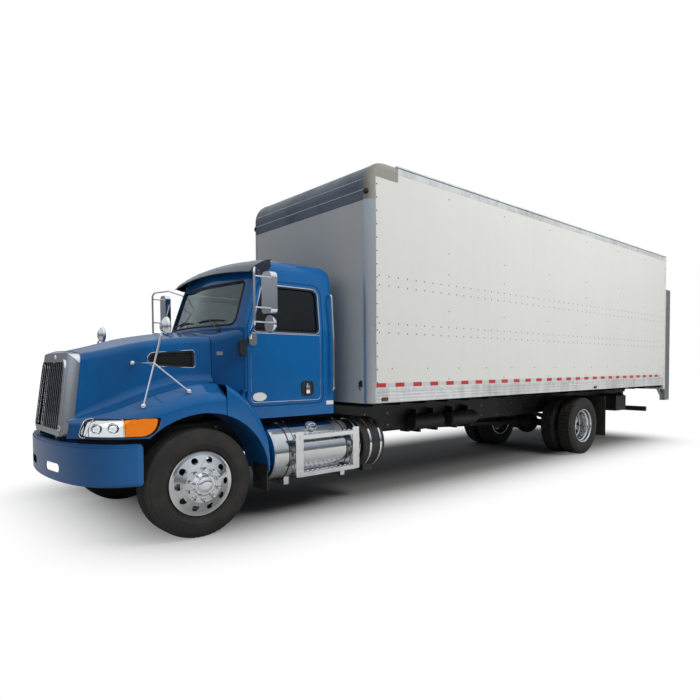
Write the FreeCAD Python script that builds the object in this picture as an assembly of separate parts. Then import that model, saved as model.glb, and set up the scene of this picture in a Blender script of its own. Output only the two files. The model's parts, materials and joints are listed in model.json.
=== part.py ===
import FreeCAD, Part
import math
import os
from functools import lru_cache
from FreeCAD import Vector as V

# Bonneted box truck: a cab and tilting hood on a ladder frame, a long van body and a rail lift gate.
# The frame is +X forward, +Y to the truck's left and +Z up, in millimetres. The origin is on the
# ground at the middle of the whole truck.

# Overall lengths, measured along the truck
FRONT_OVERHANG = 1040.0        # front axle to the bumper's front
WHEELBASE = 7110.0
CAB_SETBACK = 1750.0           # front axle back to the cab's rear wall
CAB_GAP = 205.0                # cab's rear wall to the van body
BOX_LENGTH = 8560.0            # van body, front skin to rear frame
GATE_MOUNT = 80.0              # rear frame back to the lift gate's columns
GATE_COLUMN_D = 250.0

# Van body
BOX_WIDTH = 2590.0
BOX_BOTTOM_Z = 1155.0          # underside of the bottom rail
BOX_TOP_Z = 3965.0
BOX_WALL = 50.0
BOX_FLOOR_Z = 1240.0           # top of the load floor
FLOOR_BOARD = 30.0
FLOOR_JOIST = 100.0
JOIST_WIDTH = 60.0
JOIST_T = 6.0
JOIST_COUNT = 20
BOTTOM_RAIL_H = 180.0
NOSE_R = 465.0                 # quarter-round between the front wall and the roof
POST_R = 97.0                  # quarter-round of the front corner posts
REAR_FRAME_T = 70.0
REAR_POST_W = 110.0
REAR_HEADER_H = 250.0
DOOR_PANEL_T = 32.0
DOOR_PANEL_COUNT = 8

# Ladder frame
FRAME_WIDTH = 864.0
RAIL_H = 270.0
RAIL_FLANGE = 90.0
RAIL_T = 8.0
RAIL_TOP_Z = 990.0
FRAME_FRONT = 700.0            # front axle to the rails' front ends
FRAME_REAR_GAP = 150.0         # rails' rear ends to the rear frame

# Tyres and disc wheels
TYRE_R = 508.0
TYRE_W = 286.0
TREAD_HALF = 114.0
BEAD_R = 286.0
FLANGE_R = 298.5
RIM_HALF = 118.0
DISC_OUTSET = 170.0            # rim centre to the disc's mounting face
DISC_T = 22.0
HAND_HOLES = 10
HAND_HOLE_R = 31.0
HAND_HOLE_PITCH_R = 224.0
FRONT_TYRE_Y = 1060.0
REAR_PAIR_Y = 905.0            # mounting face between the twin wheels
DRUM_R = 206.0
SHAFT_PLAY = 0.1               # radial running clearance of pins and shafts
SEAT_GAP = 0.3                 # clearance left at curved seats

# Front axle and steering
KINGPIN_Y = 880.0
KINGPIN_R = 22.0
EYE_R = 48.0
EYE_H = 120.0
YOKE_T = 36.0
YOKE_GAP = 1.0
SPINDLE_R = 32.0
TIE_ARM = 205.0                # kingpin back to the tie rod's ball
TIE_ROD_Z = 395.0
TIE_ROD_R = 19.0
BALL_R = 17.0

# Hood and fenders
HOOD_SEAM = 316.0              # front axle back to the hood's rear edge
FENDER_SEAM = 250.0            # the same out on the fenders
FENDER_INNER = 792.0           # half width of the hood's part behind the fenders' seams
HOOD_GAP = 8.0
HOOD_SKIN = 8.0
HOOD_LIP_Z = 948.0
GRILLE_LOW_FWD = 955.0         # front axle forward to the hood's front edge at the lip
GRILLE_TOP_FWD = 862.0         # the same at the top of the grille
GRILLE_TOP_Z = 1720.0
ARCH_R = 650.0
ARCH_SETBACK = 50.0            # front axle back to the arch's centre
LINER_T = 6.0
HOOD_PIVOT_FWD = 965.0         # front axle forward to the hood's pivot
HOOD_PIVOT_Z = 945.0
FENDER_HALF = 1200.0

# Bumper
BUMPER_TOP_Z = 925.0
BUMPER_LOW_Z = 560.0
BUMPER_SKIN = 6.0

# Cab
CAB_HALF = 950.0
CAB_LOW_Z = 1045.0
CAB_EAVE_Z = 2590.0
CAB_TOP_Z = 2755.0
CAB_WALL = 55.0
CAB_TUMBLE = 65.0              # how far the side leans in from belt to eave
DOOR_GAP = 8.0
GLASS_T = 6.0

# Fuel tank
TANK_R = 300.0
TANK_Y = 865.0
TANK_Z = 665.0
TANK_FRONT = 790.0             # front axle back to the tank's front head
TANK_LENGTH = 1115.0

# Lift gate
GATE_COLUMN_Y = 1262.0         # outer face of each column
GATE_COLUMN_W = 105.0
GATE_COLUMN_T = 8.0
GATE_LOW_Z = 820.0
GATE_TOP_Z = 3250.0
GATE_PLATFORM = 1500.0
GATE_PLATE_T = 44.0
GATE_PIN_R = 14.0
GATE_RUNNER_TOP = 2360.0

GATE_DEPTH = GATE_MOUNT + GATE_COLUMN_D
OVERALL = FRONT_OVERHANG + CAB_SETBACK + CAB_GAP + BOX_LENGTH + GATE_DEPTH
FRONT_AXLE_X = OVERALL / 2 - FRONT_OVERHANG
REAR_AXLE_X = FRONT_AXLE_X - WHEELBASE
CAB_BACK_X = FRONT_AXLE_X - CAB_SETBACK
BOX_FRONT_X = CAB_BACK_X - CAB_GAP
BOX_REAR_X = BOX_FRONT_X - BOX_LENGTH
BOX_HALF = BOX_WIDTH / 2
RAIL_OUT = FRAME_WIDTH / 2
RAIL_IN = RAIL_OUT - RAIL_FLANGE
RAIL_LOW_Z = RAIL_TOP_Z - RAIL_H
AXLE_Z = TYRE_R
SEAM_X = FRONT_AXLE_X - HOOD_SEAM
FENDER_SEAM_X = FRONT_AXLE_X - FENDER_SEAM
TWIN_OFFSET = DISC_OUTSET


# Helpers

def box(x0, x1, y0, y1, z0, z1):
    """A block between two corners, given as pairs of limits."""
    xs, ys, zs = sorted((x0, x1)), sorted((y0, y1)), sorted((z0, z1))
    return Part.makeBox(xs[1] - xs[0], ys[1] - ys[0], zs[1] - zs[0], V(xs[0], ys[0], zs[0]))


def rod(start, end, radius):
    """A round bar from one point to another."""
    a, b = V(*start), V(*end)
    return Part.makeCylinder(radius, (b - a).Length, a, b - a)


def ring(start, end, outer, inner):
    """A round tube from one point to another."""
    return rod(start, end, outer).cut(rod(start, end, inner))


def place(plane, a, b, level):
    """The point (a, b) of a drawing plane that lies at the given level."""
    return {"xz": V(a, level, b), "yz": V(level, a, b), "xy": V(a, b, level)}[plane]


def outline(plane, level, corners):
    """A closed wire through corners (a, b) or (a, b, radius), rounded where a radius is given."""
    pts = [place(plane, c[0], c[1], level) for c in corners]
    radii = [c[2] if len(c) > 2 else 0.0 for c in corners]
    count = len(pts)
    entry, leave, mids = [], [], []
    for i, p in enumerate(pts):
        u = (pts[i - 1] - p).normalize()
        w = (pts[(i + 1) % count] - p).normalize()
        if radii[i] <= 0:
            entry.append(p)
            leave.append(p)
            mids.append(None)
            continue
        half = u.getAngle(w) / 2
        reach = radii[i] / math.tan(half)
        entry.append(p + u * reach)
        leave.append(p + w * reach)
        bisector = (u + w).normalize()
        mids.append(p + bisector * (radii[i] / math.sin(half) - radii[i]))
    edges = []
    for i in range(count):
        if mids[i] is not None:
            edges.append(Part.Arc(entry[i], mids[i], leave[i]).toShape())
        nxt = (i + 1) % count
        if (entry[nxt] - leave[i]).Length > 1e-6:
            edges.append(Part.LineSegment(leave[i], entry[nxt]).toShape())
    return Part.Wire(edges)


def prism(plane, start, end, corners):
    """An outline in a drawing plane, extruded between two levels."""
    face = Part.Face(outline(plane, start, corners))
    return face.extrude(place(plane, 0, 0, end) - place(plane, 0, 0, start))


def turned(corners, centre, side=1):
    """A profile of (offset outboard, radius) points, or arcs of three such points, turned about Y."""
    def at(point):
        return V(centre[0], centre[1] + side * point[0], centre[2] + point[1])
    edges = []
    for piece in corners:
        if len(piece) == 3:
            edges.append(Part.Arc(*[at(q) for q in piece]).toShape())
        elif (at(piece[0]) - at(piece[1])).Length > 1e-6:
            edges.append(Part.LineSegment(at(piece[0]), at(piece[1])).toShape())
    face = Part.Face(Part.Wire(edges))
    solid = face.revolve(V(*centre), V(0, 1, 0), 360)
    return solid if solid.Volume > 0 else solid.reversed()


def chain(points):
    """Joins profile points into straight pieces that close the profile."""
    return [(points[i], points[(i + 1) % len(points)]) for i in range(len(points))]


def tube(points, radius, bend):
    """A bent round tube along points, with every corner rounded to the bend radius."""
    pts = [V(*p) for p in points]
    edges, last = [], pts[0]
    for i in range(1, len(pts) - 1):
        u = (pts[i - 1] - pts[i]).normalize()
        w = (pts[i + 1] - pts[i]).normalize()
        half = u.getAngle(w) / 2
        reach = bend / math.tan(half)
        a, b = pts[i] + u * reach, pts[i] + w * reach
        middle = pts[i] + (u + w).normalize() * (bend / math.sin(half) - bend)
        edges.append(Part.LineSegment(last, a).toShape())
        edges.append(Part.Arc(a, middle, b).toShape())
        last = b
    edges.append(Part.LineSegment(last, pts[-1]).toShape())
    path = Part.Wire(edges)
    section = Part.Wire(Part.makeCircle(radius, pts[0], pts[1] - pts[0]))
    return path.makePipeShell([section], True, False)


def fuse(shapes):
    """One solid out of several that touch or overlap."""
    shapes = list(shapes)
    return shapes[0].multiFuse(shapes[1:]).removeSplitter() if len(shapes) > 1 else shapes[0]


def mirrored(shape):
    """The same shape on the truck's other side."""
    return shape.mirror(V(0, 0, 0), V(0, 1, 0))


def pair(shape):
    """A shape and its mirror image, as two separate solids."""
    return Part.makeCompound([shape, mirrored(shape)])


# Ladder frame

def crossmember(x):
    """A channel between the rails, closed side forward."""
    half = RAIL_OUT - RAIL_T
    z0, z1 = RAIL_LOW_Z + RAIL_T, RAIL_TOP_Z - RAIL_T
    web = box(x - RAIL_T, x, -half, half, z0, z1)
    flanges = [box(x - 70, x, -half, half, z, z + RAIL_T) for z in (z0, z1 - RAIL_T)]
    return fuse([web] + flanges)


FRONT_MEMBER = 640.0           # front axle to the first crossmember's web
BEARING_MEMBER_X = CAB_BACK_X - 2000
CROSSMEMBERS = (FRONT_AXLE_X + FRONT_MEMBER, CAB_BACK_X - 450, BEARING_MEMBER_X, CAB_BACK_X - 3600,
                REAR_AXLE_X + 760, REAR_AXLE_X - 800, BOX_REAR_X + FRAME_REAR_GAP + 90)
CAB_MOUNTS = (FRONT_AXLE_X - 620, CAB_BACK_X + 120)


def frame():
    """Two channel rails joined by crossmembers, with the cab's pads and the hood's pivot brackets."""
    x0, x1 = BOX_REAR_X + FRAME_REAR_GAP, FRONT_AXLE_X + FRAME_FRONT
    rail = box(x0, x1, RAIL_IN, RAIL_OUT, RAIL_LOW_Z, RAIL_TOP_Z)
    rail = rail.cut(box(x0 - 1, x1 + 1, RAIL_IN - 1, RAIL_OUT - RAIL_T,
                        RAIL_LOW_Z + RAIL_T, RAIL_TOP_Z - RAIL_T))
    pads = [box(x - 60, x + 60, RAIL_IN + 5, RAIL_OUT - 5, RAIL_TOP_Z, CAB_LOW_Z) for x in CAB_MOUNTS]
    left = fuse([rail, hood_hinge()] + pads)
    return Part.makeCompound([left, mirrored(left)] + [crossmember(x) for x in CROSSMEMBERS])


# Engine and gearbox

ENGINE_HALF = 270.0
ENGINE_FRONT_X = FRONT_AXLE_X + 470
ENGINE_BACK_X = FRONT_AXLE_X - 420
ENGINE_LOW_Z = 600.0
ENGINE_TOP_Z = 1450.0
SHAFT_Z = 670.0
SHAFT_R = 44.0
YOKE_R = 56.0
GEARBOX_LENGTH = 1000.0
NOSE_REACH = 340.0             # rear axle forward to its nose's flange


def engine():
    """The engine as one plain block on four feet, with the gearbox tapering behind it."""
    block = box(ENGINE_BACK_X, ENGINE_FRONT_X, -ENGINE_HALF, ENGINE_HALF, ENGINE_LOW_Z, ENGINE_TOP_Z)
    foot_z = RAIL_LOW_Z + RAIL_T
    feet = [box(x - 50, x + 50, -RAIL_IN - 40, RAIL_IN + 40, foot_z, foot_z + 50)
            for x in (ENGINE_FRONT_X - 160, ENGINE_BACK_X + 160)]
    bell = Part.makeCone(250, 160, 300, V(ENGINE_BACK_X, 0, SHAFT_Z + 90), V(-1, 0, 0))
    bell = bell.common(box(ENGINE_BACK_X - 400, ENGINE_BACK_X, -250, 250, ENGINE_LOW_Z, ENGINE_TOP_Z))
    case_back = ENGINE_BACK_X - GEARBOX_LENGTH + 100
    case = box(case_back, ENGINE_BACK_X - 200, -150, 150, SHAFT_Z - 80, SHAFT_Z + 200)
    tail = rod((case_back, 0, SHAFT_Z), (ENGINE_BACK_X - GEARBOX_LENGTH, 0, SHAFT_Z), 70)
    return fuse([block] + feet + [bell, case, tail])


def radiator():
    """The cooling pack behind the grille, standing on the front crossmember."""
    x = FRONT_AXLE_X + FRONT_MEMBER
    core = box(x - 90, x, -360, 360, RAIL_TOP_Z + 30, 1640)
    tanks = [box(x - 100, x + 10, -370, 370, z, z + 60) for z in (RAIL_TOP_Z, 1600)]
    return fuse([core] + tanks)


# Axles and springs

FRONT_SPRING_Y = RAIL_OUT - RAIL_FLANGE / 2
REAR_SPRING_Y = RAIL_OUT + 55
SPRING_HALF = 38.0
FRONT_SEAT_Z = 470.0
REAR_TUBE_R = 66.0
REAR_SEAT_Z = AXLE_Z + REAR_TUBE_R + 20
LEAF_T = 13.0


def leaf_spring(x, y, seat_z, half_length, camber, leaves):
    """A pack of leaves, shorter towards the seat, with rolled eyes at the ends of the top leaf."""
    def height(dx):
        return camber * (dx / half_length) ** 2
    top = seat_z + leaves * LEAF_T

    def leaf(number):
        reach = half_length * (1 - number / (leaves + 0.5))
        low, high = top - (number + 1) * LEAF_T, top - number * LEAF_T
        wire = Part.Wire([
            Part.Arc(V(x - reach, y, low + height(reach)), V(x, y, low), V(x + reach, y, low + height(reach))).toShape(),
            Part.LineSegment(V(x + reach, y, low + height(reach)), V(x + reach, y, high + height(reach))).toShape(),
            Part.Arc(V(x + reach, y, high + height(reach)), V(x, y, high), V(x - reach, y, high + height(reach))).toShape(),
            Part.LineSegment(V(x - reach, y, high + height(reach)), V(x - reach, y, low + height(reach))).toShape()])
        return Part.Face(wire).extrude(V(0, 2 * SPRING_HALF, 0)).translated(V(0, -SPRING_HALF, 0))
    eye_z = top + camber - LEAF_T / 2
    eyes = [rod((x + s * half_length, y - SPRING_HALF, eye_z), (x + s * half_length, y + SPRING_HALF, eye_z), 24)
            for s in (-1, 1)]
    return fuse([leaf(i) for i in range(leaves)] + eyes), eye_z


def front_axle():
    """A dropped I-beam with an eye for each kingpin and a pad under each spring."""
    half_d, top, low = 46, 52, -52
    line = [(0, 396), (FRONT_SPRING_Y + 80, 416), (KINGPIN_Y - 190, 440), (KINGPIN_Y - 60, AXLE_Z), (KINGPIN_Y, AXLE_Z)]
    upper = [(y, z + top) for y, z in line]
    lower = [(y, z + low) for y, z in line]
    full = [(-y, z) for y, z in reversed(upper[1:])] + upper + list(reversed(lower)) + [(-y, z) for y, z in lower[1:]]
    beam = prism("yz", FRONT_AXLE_X - half_d, FRONT_AXLE_X + half_d, full)
    inner = [(y, z) for y, z in full if abs(y) < KINGPIN_Y - 10]
    groove = []
    for y, z in inner:
        mid = 0.5 * (z + min(inner, key=lambda q: (abs(q[0] - y), -abs(q[1] - z)))[1])
        groove.append((y, z + (16 if z < mid else -16)))
    cut_left = prism("yz", FRONT_AXLE_X + 12, FRONT_AXLE_X + half_d + 1, groove)
    cut_right = prism("yz", FRONT_AXLE_X - half_d - 1, FRONT_AXLE_X - 12, groove)
    beam = beam.cut(cut_left).cut(cut_right)
    pieces = [beam]
    for s in (-1, 1):
        pieces.append(rod((FRONT_AXLE_X, s * KINGPIN_Y, AXLE_Z - EYE_H / 2),
                          (FRONT_AXLE_X, s * KINGPIN_Y, AXLE_Z + EYE_H / 2), EYE_R))
        y = s * FRONT_SPRING_Y
        pieces.append(box(FRONT_AXLE_X - 75, FRONT_AXLE_X + 75, y - 45, y + 45, 430, FRONT_SEAT_Z))
    axle = fuse(pieces)
    for s in (-1, 1):
        axle = axle.cut(rod((FRONT_AXLE_X, s * KINGPIN_Y, AXLE_Z - 200), (FRONT_AXLE_X, s * KINGPIN_Y, AXLE_Z + 200),
                            KINGPIN_R + SHAFT_PLAY))
    return axle


def rear_axle():
    """The drive axle's banjo housing with its tubes, spindles, nose and spring pads."""
    c = (REAR_AXLE_X, 0, AXLE_Z)
    bowl = Part.makeSphere(215, V(*c)).common(box(c[0] - 175, c[0] + 215, -215, 215, 280, 740))
    tubes = rod((c[0], -REAR_PAIR_Y + 215, c[2]), (c[0], REAR_PAIR_Y - 215, c[2]), REAR_TUBE_R)
    spindles = rod((c[0], -REAR_PAIR_Y - 60, c[2]), (c[0], REAR_PAIR_Y + 60, c[2]), 46)
    nose = Part.makeCone(150, 75, NOSE_REACH - 150, V(c[0] + 150, 0, c[2] + 10), V(1, 0, 0))
    pieces = [bowl, tubes, spindles, nose]
    for s in (-1, 1):
        y = s * REAR_SPRING_Y
        pieces.append(box(c[0] - 80, c[0] + 80, y - 50, y + 50, c[2], REAR_SEAT_Z))
        flange_y = s * (REAR_PAIR_Y - 235)
        pieces.append(rod((c[0], flange_y, c[2]), (c[0], flange_y + s * 14, c[2]), 195))
    return fuse(pieces)


def hangers(x, y, eye_z, half_length, outboard):
    """Brackets from the frame rail to both eyes of a spring, on both sides of each eye."""
    pieces = []
    for s in (-1, 1):
        ex = x + s * half_length
        if outboard:
            plate = prism("xz", RAIL_OUT, y - SPRING_HALF - 1, [(ex - 60, RAIL_TOP_Z - 60, 12), (ex + 60, RAIL_TOP_Z - 60, 12),
                                                                (ex + 40, eye_z - 34, 20), (ex - 40, eye_z - 34, 20)])
            pin = rod((ex, RAIL_OUT, eye_z), (ex, y + SPRING_HALF + 12, eye_z), 10)
            pieces.append(fuse([plate, pin]))
        else:
            block = box(ex - 55, ex + 55, y - SPRING_HALF - 14, y + SPRING_HALF + 14, eye_z - 30, RAIL_LOW_Z)
            slot = box(ex - 56, ex + 56, y - SPRING_HALF - 1, y + SPRING_HALF + 1, eye_z - 31, RAIL_LOW_Z - 12)
            pin = rod((ex, y - SPRING_HALF - 6, eye_z), (ex, y + SPRING_HALF + 6, eye_z), 10)
            pieces.append(fuse([block.cut(slot), pin]))
    return pieces


def leaf_springs():
    """Front and rear springs with their hangers, on both sides."""
    out = []
    for x, y, seat, half, camber, leaves, outboard in (
            (FRONT_AXLE_X, FRONT_SPRING_Y, FRONT_SEAT_Z, 640, 110, 5, False),
            (REAR_AXLE_X, REAR_SPRING_Y, REAR_SEAT_Z, 720, 95, 8, True)):
        spring, eye_z = leaf_spring(x, y, seat, half, camber, leaves)
        whole = fuse([spring] + hangers(x, y, eye_z, half, outboard)
                     + [box(x - 60, x + 60, y - 44, y + 44, seat + leaves * LEAF_T, seat + leaves * LEAF_T + 22)])
        out += [whole, mirrored(whole)]
    return Part.makeCompound(out)


def driveshaft():
    """Two propeller shaft tubes with yokes, and the centre bearing hung from its crossmember."""
    start = (ENGINE_BACK_X - GEARBOX_LENGTH, 0, SHAFT_Z)
    middle = (BEARING_MEMBER_X - 130, 0, SHAFT_Z - 10)
    end = (REAR_AXLE_X + NOSE_REACH, 0, AXLE_Z + 10)
    inside = V(40, 0, 0)
    tubes = [rod(V(*start) - inside, V(*middle) + inside, SHAFT_R), rod(V(*middle) - inside, V(*end) + inside, SHAFT_R)]
    yokes = [rod((x0, 0, z), (x1, 0, z), YOKE_R) for x0, x1, z in (
        (start[0] - 90, start[0], start[2]), (middle[0] - 40, middle[0] + 50, middle[2]),
        (end[0], end[0] + 90, end[2]))]
    bearing = box(BEARING_MEMBER_X - 60, BEARING_MEMBER_X - 12, -85, 85, middle[2] - 75, RAIL_LOW_Z + RAIL_T)
    return fuse(tubes + yokes + [bearing])


# Wheels

def tyre(centre_y, x):
    """A radial truck tyre: bead, bulged sidewall, rounded shoulder and slightly crowned tread."""
    half, tread, r = TYRE_W / 2, TREAD_HALF, TYRE_R
    bead = RIM_HALF - 16
    profile = [
        ((-bead, BEAD_R + SEAT_GAP), (bead, BEAD_R + SEAT_GAP)),
        ((bead, BEAD_R + SEAT_GAP), (bead + 1, FLANGE_R + 8)),
        ((bead + 1, FLANGE_R + 8), (half, (FLANGE_R + r) / 2 - 10), (tread + 14, r - 42)),
        ((tread + 14, r - 42), (tread + 10, r - 18), (tread - 6, r - 6)),
        ((tread - 6, r - 6), (0, r), (-tread + 6, r - 6)),
        ((-tread + 6, r - 6), (-tread - 10, r - 18), (-tread - 14, r - 42)),
        ((-tread - 14, r - 42), (-half, (FLANGE_R + r) / 2 - 10), (-bead - 1, FLANGE_R + 8)),
        ((-bead - 1, FLANGE_R + 8), (-bead, BEAD_R + SEAT_GAP))]
    return turned(profile, (x, centre_y, AXLE_Z))


def disc_wheel(centre_y, x, side):
    """A forged disc wheel. The disc stands outset from the rim on the given side."""
    f, b, w = FLANGE_R, BEAD_R, RIM_HALF
    o, t = DISC_OUTSET, DISC_T
    profile = chain([
        (-w, f), (-w + 11, f), (-w + 13, b), (-w + 50, b - 3), (-w + 66, b - 24), (w - 82, b - 24),
        (w - 60, b - 3), (w - 13, b), (w - 11, f), (w, f), (w + 1, f - 12), (w + 6, b - 22),
        (o - 16, HAND_HOLE_PITCH_R - 24), (o, HAND_HOLE_PITCH_R - 54), (o, 110.5),
        (o - t, 110.5), (o - t, HAND_HOLE_PITCH_R - 60), (o - t - 14, HAND_HOLE_PITCH_R - 34),
        (w - 16, b - 22), (w - 26, b - 15), (w - 62, b - 14), (w - 84, b - 34), (-w + 68, b - 34),
        (-w + 52, b - 13), (-w + 16, b - 10), (-w, f - 11)])
    wheel = turned(profile, (x, centre_y, AXLE_Z), side)
    for i in range(HAND_HOLES):
        a = 2 * math.pi * i / HAND_HOLES
        hx, hz = x + HAND_HOLE_PITCH_R * math.cos(a), AXLE_Z + HAND_HOLE_PITCH_R * math.sin(a)
        wheel = wheel.cut(rod((hx, centre_y + side * (RIM_HALF - 40), hz), (hx, centre_y + side * (DISC_OUTSET + 40), hz),
                              HAND_HOLE_R))
    return wheel


def front_wheel():
    """The left front disc wheel with its hub, hub cap and brake drum."""
    y = FRONT_TYRE_Y
    face = y + DISC_OUTSET
    spin = turned(chain([
        (-150, DRUM_R), (-150, DRUM_R - 12), (face - y - DISC_T - 16, DRUM_R - 12), (face - y - DISC_T - 16, 70),
        (-60, 70), (-60, SPINDLE_R + SHAFT_PLAY), (110, SPINDLE_R + SHAFT_PLAY), (110, 0), (DISC_OUTSET + 44, 0),
        (DISC_OUTSET + 40, 74), (DISC_OUTSET + 12, 92), (DISC_OUTSET, 110), (DISC_OUTSET - DISC_T, 110),
        (DISC_OUTSET - DISC_T, 165), (DISC_OUTSET - DISC_T - 6, DRUM_R)]), (FRONT_AXLE_X, y, AXLE_Z))
    return fuse([disc_wheel(y, FRONT_AXLE_X, 1), spin])


def rear_wheels():
    """The left pair of disc wheels, back to back on one hub, with the brake drum."""
    y = REAR_PAIR_Y
    outer = disc_wheel(y + TWIN_OFFSET, REAR_AXLE_X, -1)
    inner = disc_wheel(y - TWIN_OFFSET, REAR_AXLE_X, 1)
    bore = 46 + SHAFT_PLAY
    spin = turned(chain([
        (-215, DRUM_R), (-215, DRUM_R - 12), (-45, DRUM_R - 12), (-45, 90), (-150, 90), (-150, bore), (62, bore), (62, 0),
        (110, 0), (110, 62), (84, 72), (84, 98), (60, 98), (40, 110), (-22, 110), (-22, 165), (-32, DRUM_R)]),
        (REAR_AXLE_X, y, AXLE_Z))
    return fuse([outer, inner, spin])


# Steering

def knuckle():
    """The left knuckle: a yoke round the axle's eye, its kingpin, the spindle and the tie rod arm."""
    x, y, z = FRONT_AXLE_X, KINGPIN_Y, AXLE_Z
    inner = EYE_H / 2 + YOKE_GAP
    ears = [rod((x, y, z + s * inner), (x, y, z + s * (inner + YOKE_T)), EYE_R) for s in (-1, 1)]
    bridge_y = y + EYE_R + 4
    links = [box(x - 40, x + 40, y, bridge_y + 30, z + inner, z + inner + YOKE_T),
             box(x - 40, x + 40, y, bridge_y + 30, z - inner - YOKE_T, z - inner)]
    back = box(x - 48, x + 48, bridge_y, bridge_y + 32, z - inner - YOKE_T, z + inner + YOKE_T)
    pin = rod((x, y, z - inner - YOKE_T), (x, y, z + inner + YOKE_T), KINGPIN_R)
    spindle = rod((x, bridge_y, z), (x, FRONT_TYRE_Y + 104, z), SPINDLE_R)
    boss = rod((x, bridge_y + 20, z), (x, FRONT_TYRE_Y - 66, z), 62)
    arm_z = z - inner - YOKE_T + 4
    arm = prism("xy", arm_z, arm_z + 26, [(x + 20, y + 30), (x - 60, y + 26, 20), (x - TIE_ARM - 26, y + 22, 20),
                                           (x - TIE_ARM - 26, y - 24, 20), (x - 60, y - 24, 20), (x + 20, y - 30)])
    post = rod((x, y, arm_z), (x, y, z - inner), EYE_R - 8)
    ball = Part.makeSphere(BALL_R, V(x - TIE_ARM, y, TIE_ROD_Z))
    stud = rod((x - TIE_ARM, y, TIE_ROD_Z), (x - TIE_ARM, y, arm_z + 10), 9)
    return fuse(ears + links + [back, pin, spindle, boss, arm, post, ball, stud])


def tie_rod():
    """The tube between the knuckle arms, with a socket round each ball."""
    x, z = FRONT_AXLE_X - TIE_ARM, TIE_ROD_Z
    bar = rod((x, -KINGPIN_Y + 20, z), (x, KINGPIN_Y - 20, z), TIE_ROD_R)
    pieces = [bar]
    for s in (-1, 1):
        pieces.append(rod((x, s * KINGPIN_Y, z - 26), (x, s * KINGPIN_Y, z + 14), 30))
    whole = fuse(pieces)
    for s in (-1, 1):
        whole = whole.cut(Part.makeSphere(BALL_R + SEAT_GAP, V(x, s * KINGPIN_Y, z)))
        whole = whole.cut(rod((x, s * KINGPIN_Y, z), (x, s * KINGPIN_Y, z + 60), BALL_R - 3))
    return whole


# Lofted panels

def inset(corners, d):
    """The same outline with every side moved inward by d."""
    count = len(corners)
    area = sum(corners[i - 1][0] * corners[i][1] - corners[i][0] * corners[i - 1][1] for i in range(count))
    turn = 1 if area > 0 else -1
    out = []
    for i in range(count):
        here, before, after = corners[i], corners[i - 1], corners[(i + 1) % count]
        u = V(here[0] - before[0], here[1] - before[1], 0).normalize()
        w = V(after[0] - here[0], after[1] - here[1], 0).normalize()
        n1, n2 = V(-u.y, u.x, 0) * turn, V(-w.y, w.x, 0) * turn
        step = (n1 + n2) * (d / (1 + n1.dot(n2)))
        moved = [here[0] + step.x, here[1] + step.y]
        if len(here) > 2:
            bulges = (u.x * w.y - u.y * w.x) * turn > 0
            moved.append(max(here[2] - d, 2.0) if bulges else here[2] + d)
        out.append(tuple(moved))
    return out


def loft(plane, sections, thickness=0.0, ruled=False, overrun=0.0):
    """A solid through outlines at given levels, each moved inward by a thickness."""
    levels = [level for level, corners in sections]
    step = 1 if levels[-1] > levels[0] else -1
    levels[0] -= overrun * step
    levels[-1] += overrun * step
    wires = [outline(plane, level, inset(corners, thickness) if thickness else corners)
             for level, (unused, corners) in zip(levels, sections)]
    return Part.makeLoft(wires, True, ruled)


# Hood stations: front axle forward to the section, top height, shoulder half width, shoulder drop,
# valley half width, fender top height and fender half width.
HOOD_STATIONS = (
    (975, 1712, 478, 34, 492, 1098, 560),
    (870, 1735, 496, 38, 520, 1130, 704),
    (750, 1765, 525, 44, 556, 1164, 880),
    (620, 1800, 560, 50, 596, 1212, 1003),
    (380, 1872, 622, 60, 650, 1308, 1108),
    (120, 1925, 678, 68, 700, 1392, 1172),
    (-60, 1952, 705, 74, 726, 1424, 1192),
    (-222, 1968, 722, 80, 742, 1424, FENDER_HALF),
    (-HOOD_SEAM, 1976, 732, 83, 751, 1424, FENDER_HALF))


def hood_section(top, shoulder, drop, valley, crown, outer):
    """The hood's whole cross-section: fender, valley, side, shoulder and crowned top."""
    w = outer - valley
    half = [(outer, HOOD_LIP_Z), (outer, crown - 0.24 * w, 0.26 * w), (outer - 0.45 * w, crown, 0.22 * w),
            (valley, crown + 0.02 * w, 0.2 * w), (shoulder, top - drop, 75), (0, top, 1500)]
    right = [(-c[0],) + tuple(c[1:]) for c in half[:-1]]
    return right + [half[-1]] + list(reversed(half[:-1]))


@lru_cache(maxsize=None)
def hood_volume(thickness=0.0, overrun=0.0):
    """The hood's full outer form from grille to seam, moved inward by a thickness."""
    sections = [(FRONT_AXLE_X + row[0], hood_section(*row[1:])) for row in HOOD_STATIONS]
    return loft("yz", sections, thickness, False, overrun)


def grille_x(z, ahead=0.0):
    """The raked plane of the hood's front edge at a height."""
    rake = (GRILLE_LOW_FWD - GRILLE_TOP_FWD) / (GRILLE_TOP_Z - HOOD_LIP_Z)
    return FRONT_AXLE_X + GRILLE_LOW_FWD + ahead - rake * (z - HOOD_LIP_Z)


def raked_slab(z0, z1, rear, front, half=700):
    """A slab parallel to the grille's plane, between two offsets from it."""
    return prism("xz", -half, half, [(grille_x(z0, rear), z0), (grille_x(z0, front), z0),
                                     (grille_x(z1, front), z1), (grille_x(z1, rear), z1)])


def arch(radius, inner=560, outer=1300, margin=0.0):
    """The round space over the left front wheel."""
    c = (FRONT_AXLE_X - ARCH_SETBACK, AXLE_Z)
    return rod((c[0], inner - margin, c[1]), (c[0], outer + margin, c[1]), radius)


LAMP_OUTLINE = ((884, 967, 26), (850, 1132, 90), (330, 1138, 20), (362, 967, 140))
LAMP_DEPTH = 46.0
LAMP_INNER_Y = 600.0
INTAKE_OUTLINE = ((-150, 1578, 30), (-150, 1752, 30), (268, 1720, 60), (268, 1600, 60))


def side_window(outline_fwd, y0, y1, grow=0.0):
    """A prism through the left side from an outline given forward of the front axle."""
    corners = [(FRONT_AXLE_X + c[0],) + tuple(c[1:]) for c in outline_fwd]
    return prism("xz", y0, y1, inset(corners, -grow) if grow else corners)


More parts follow.
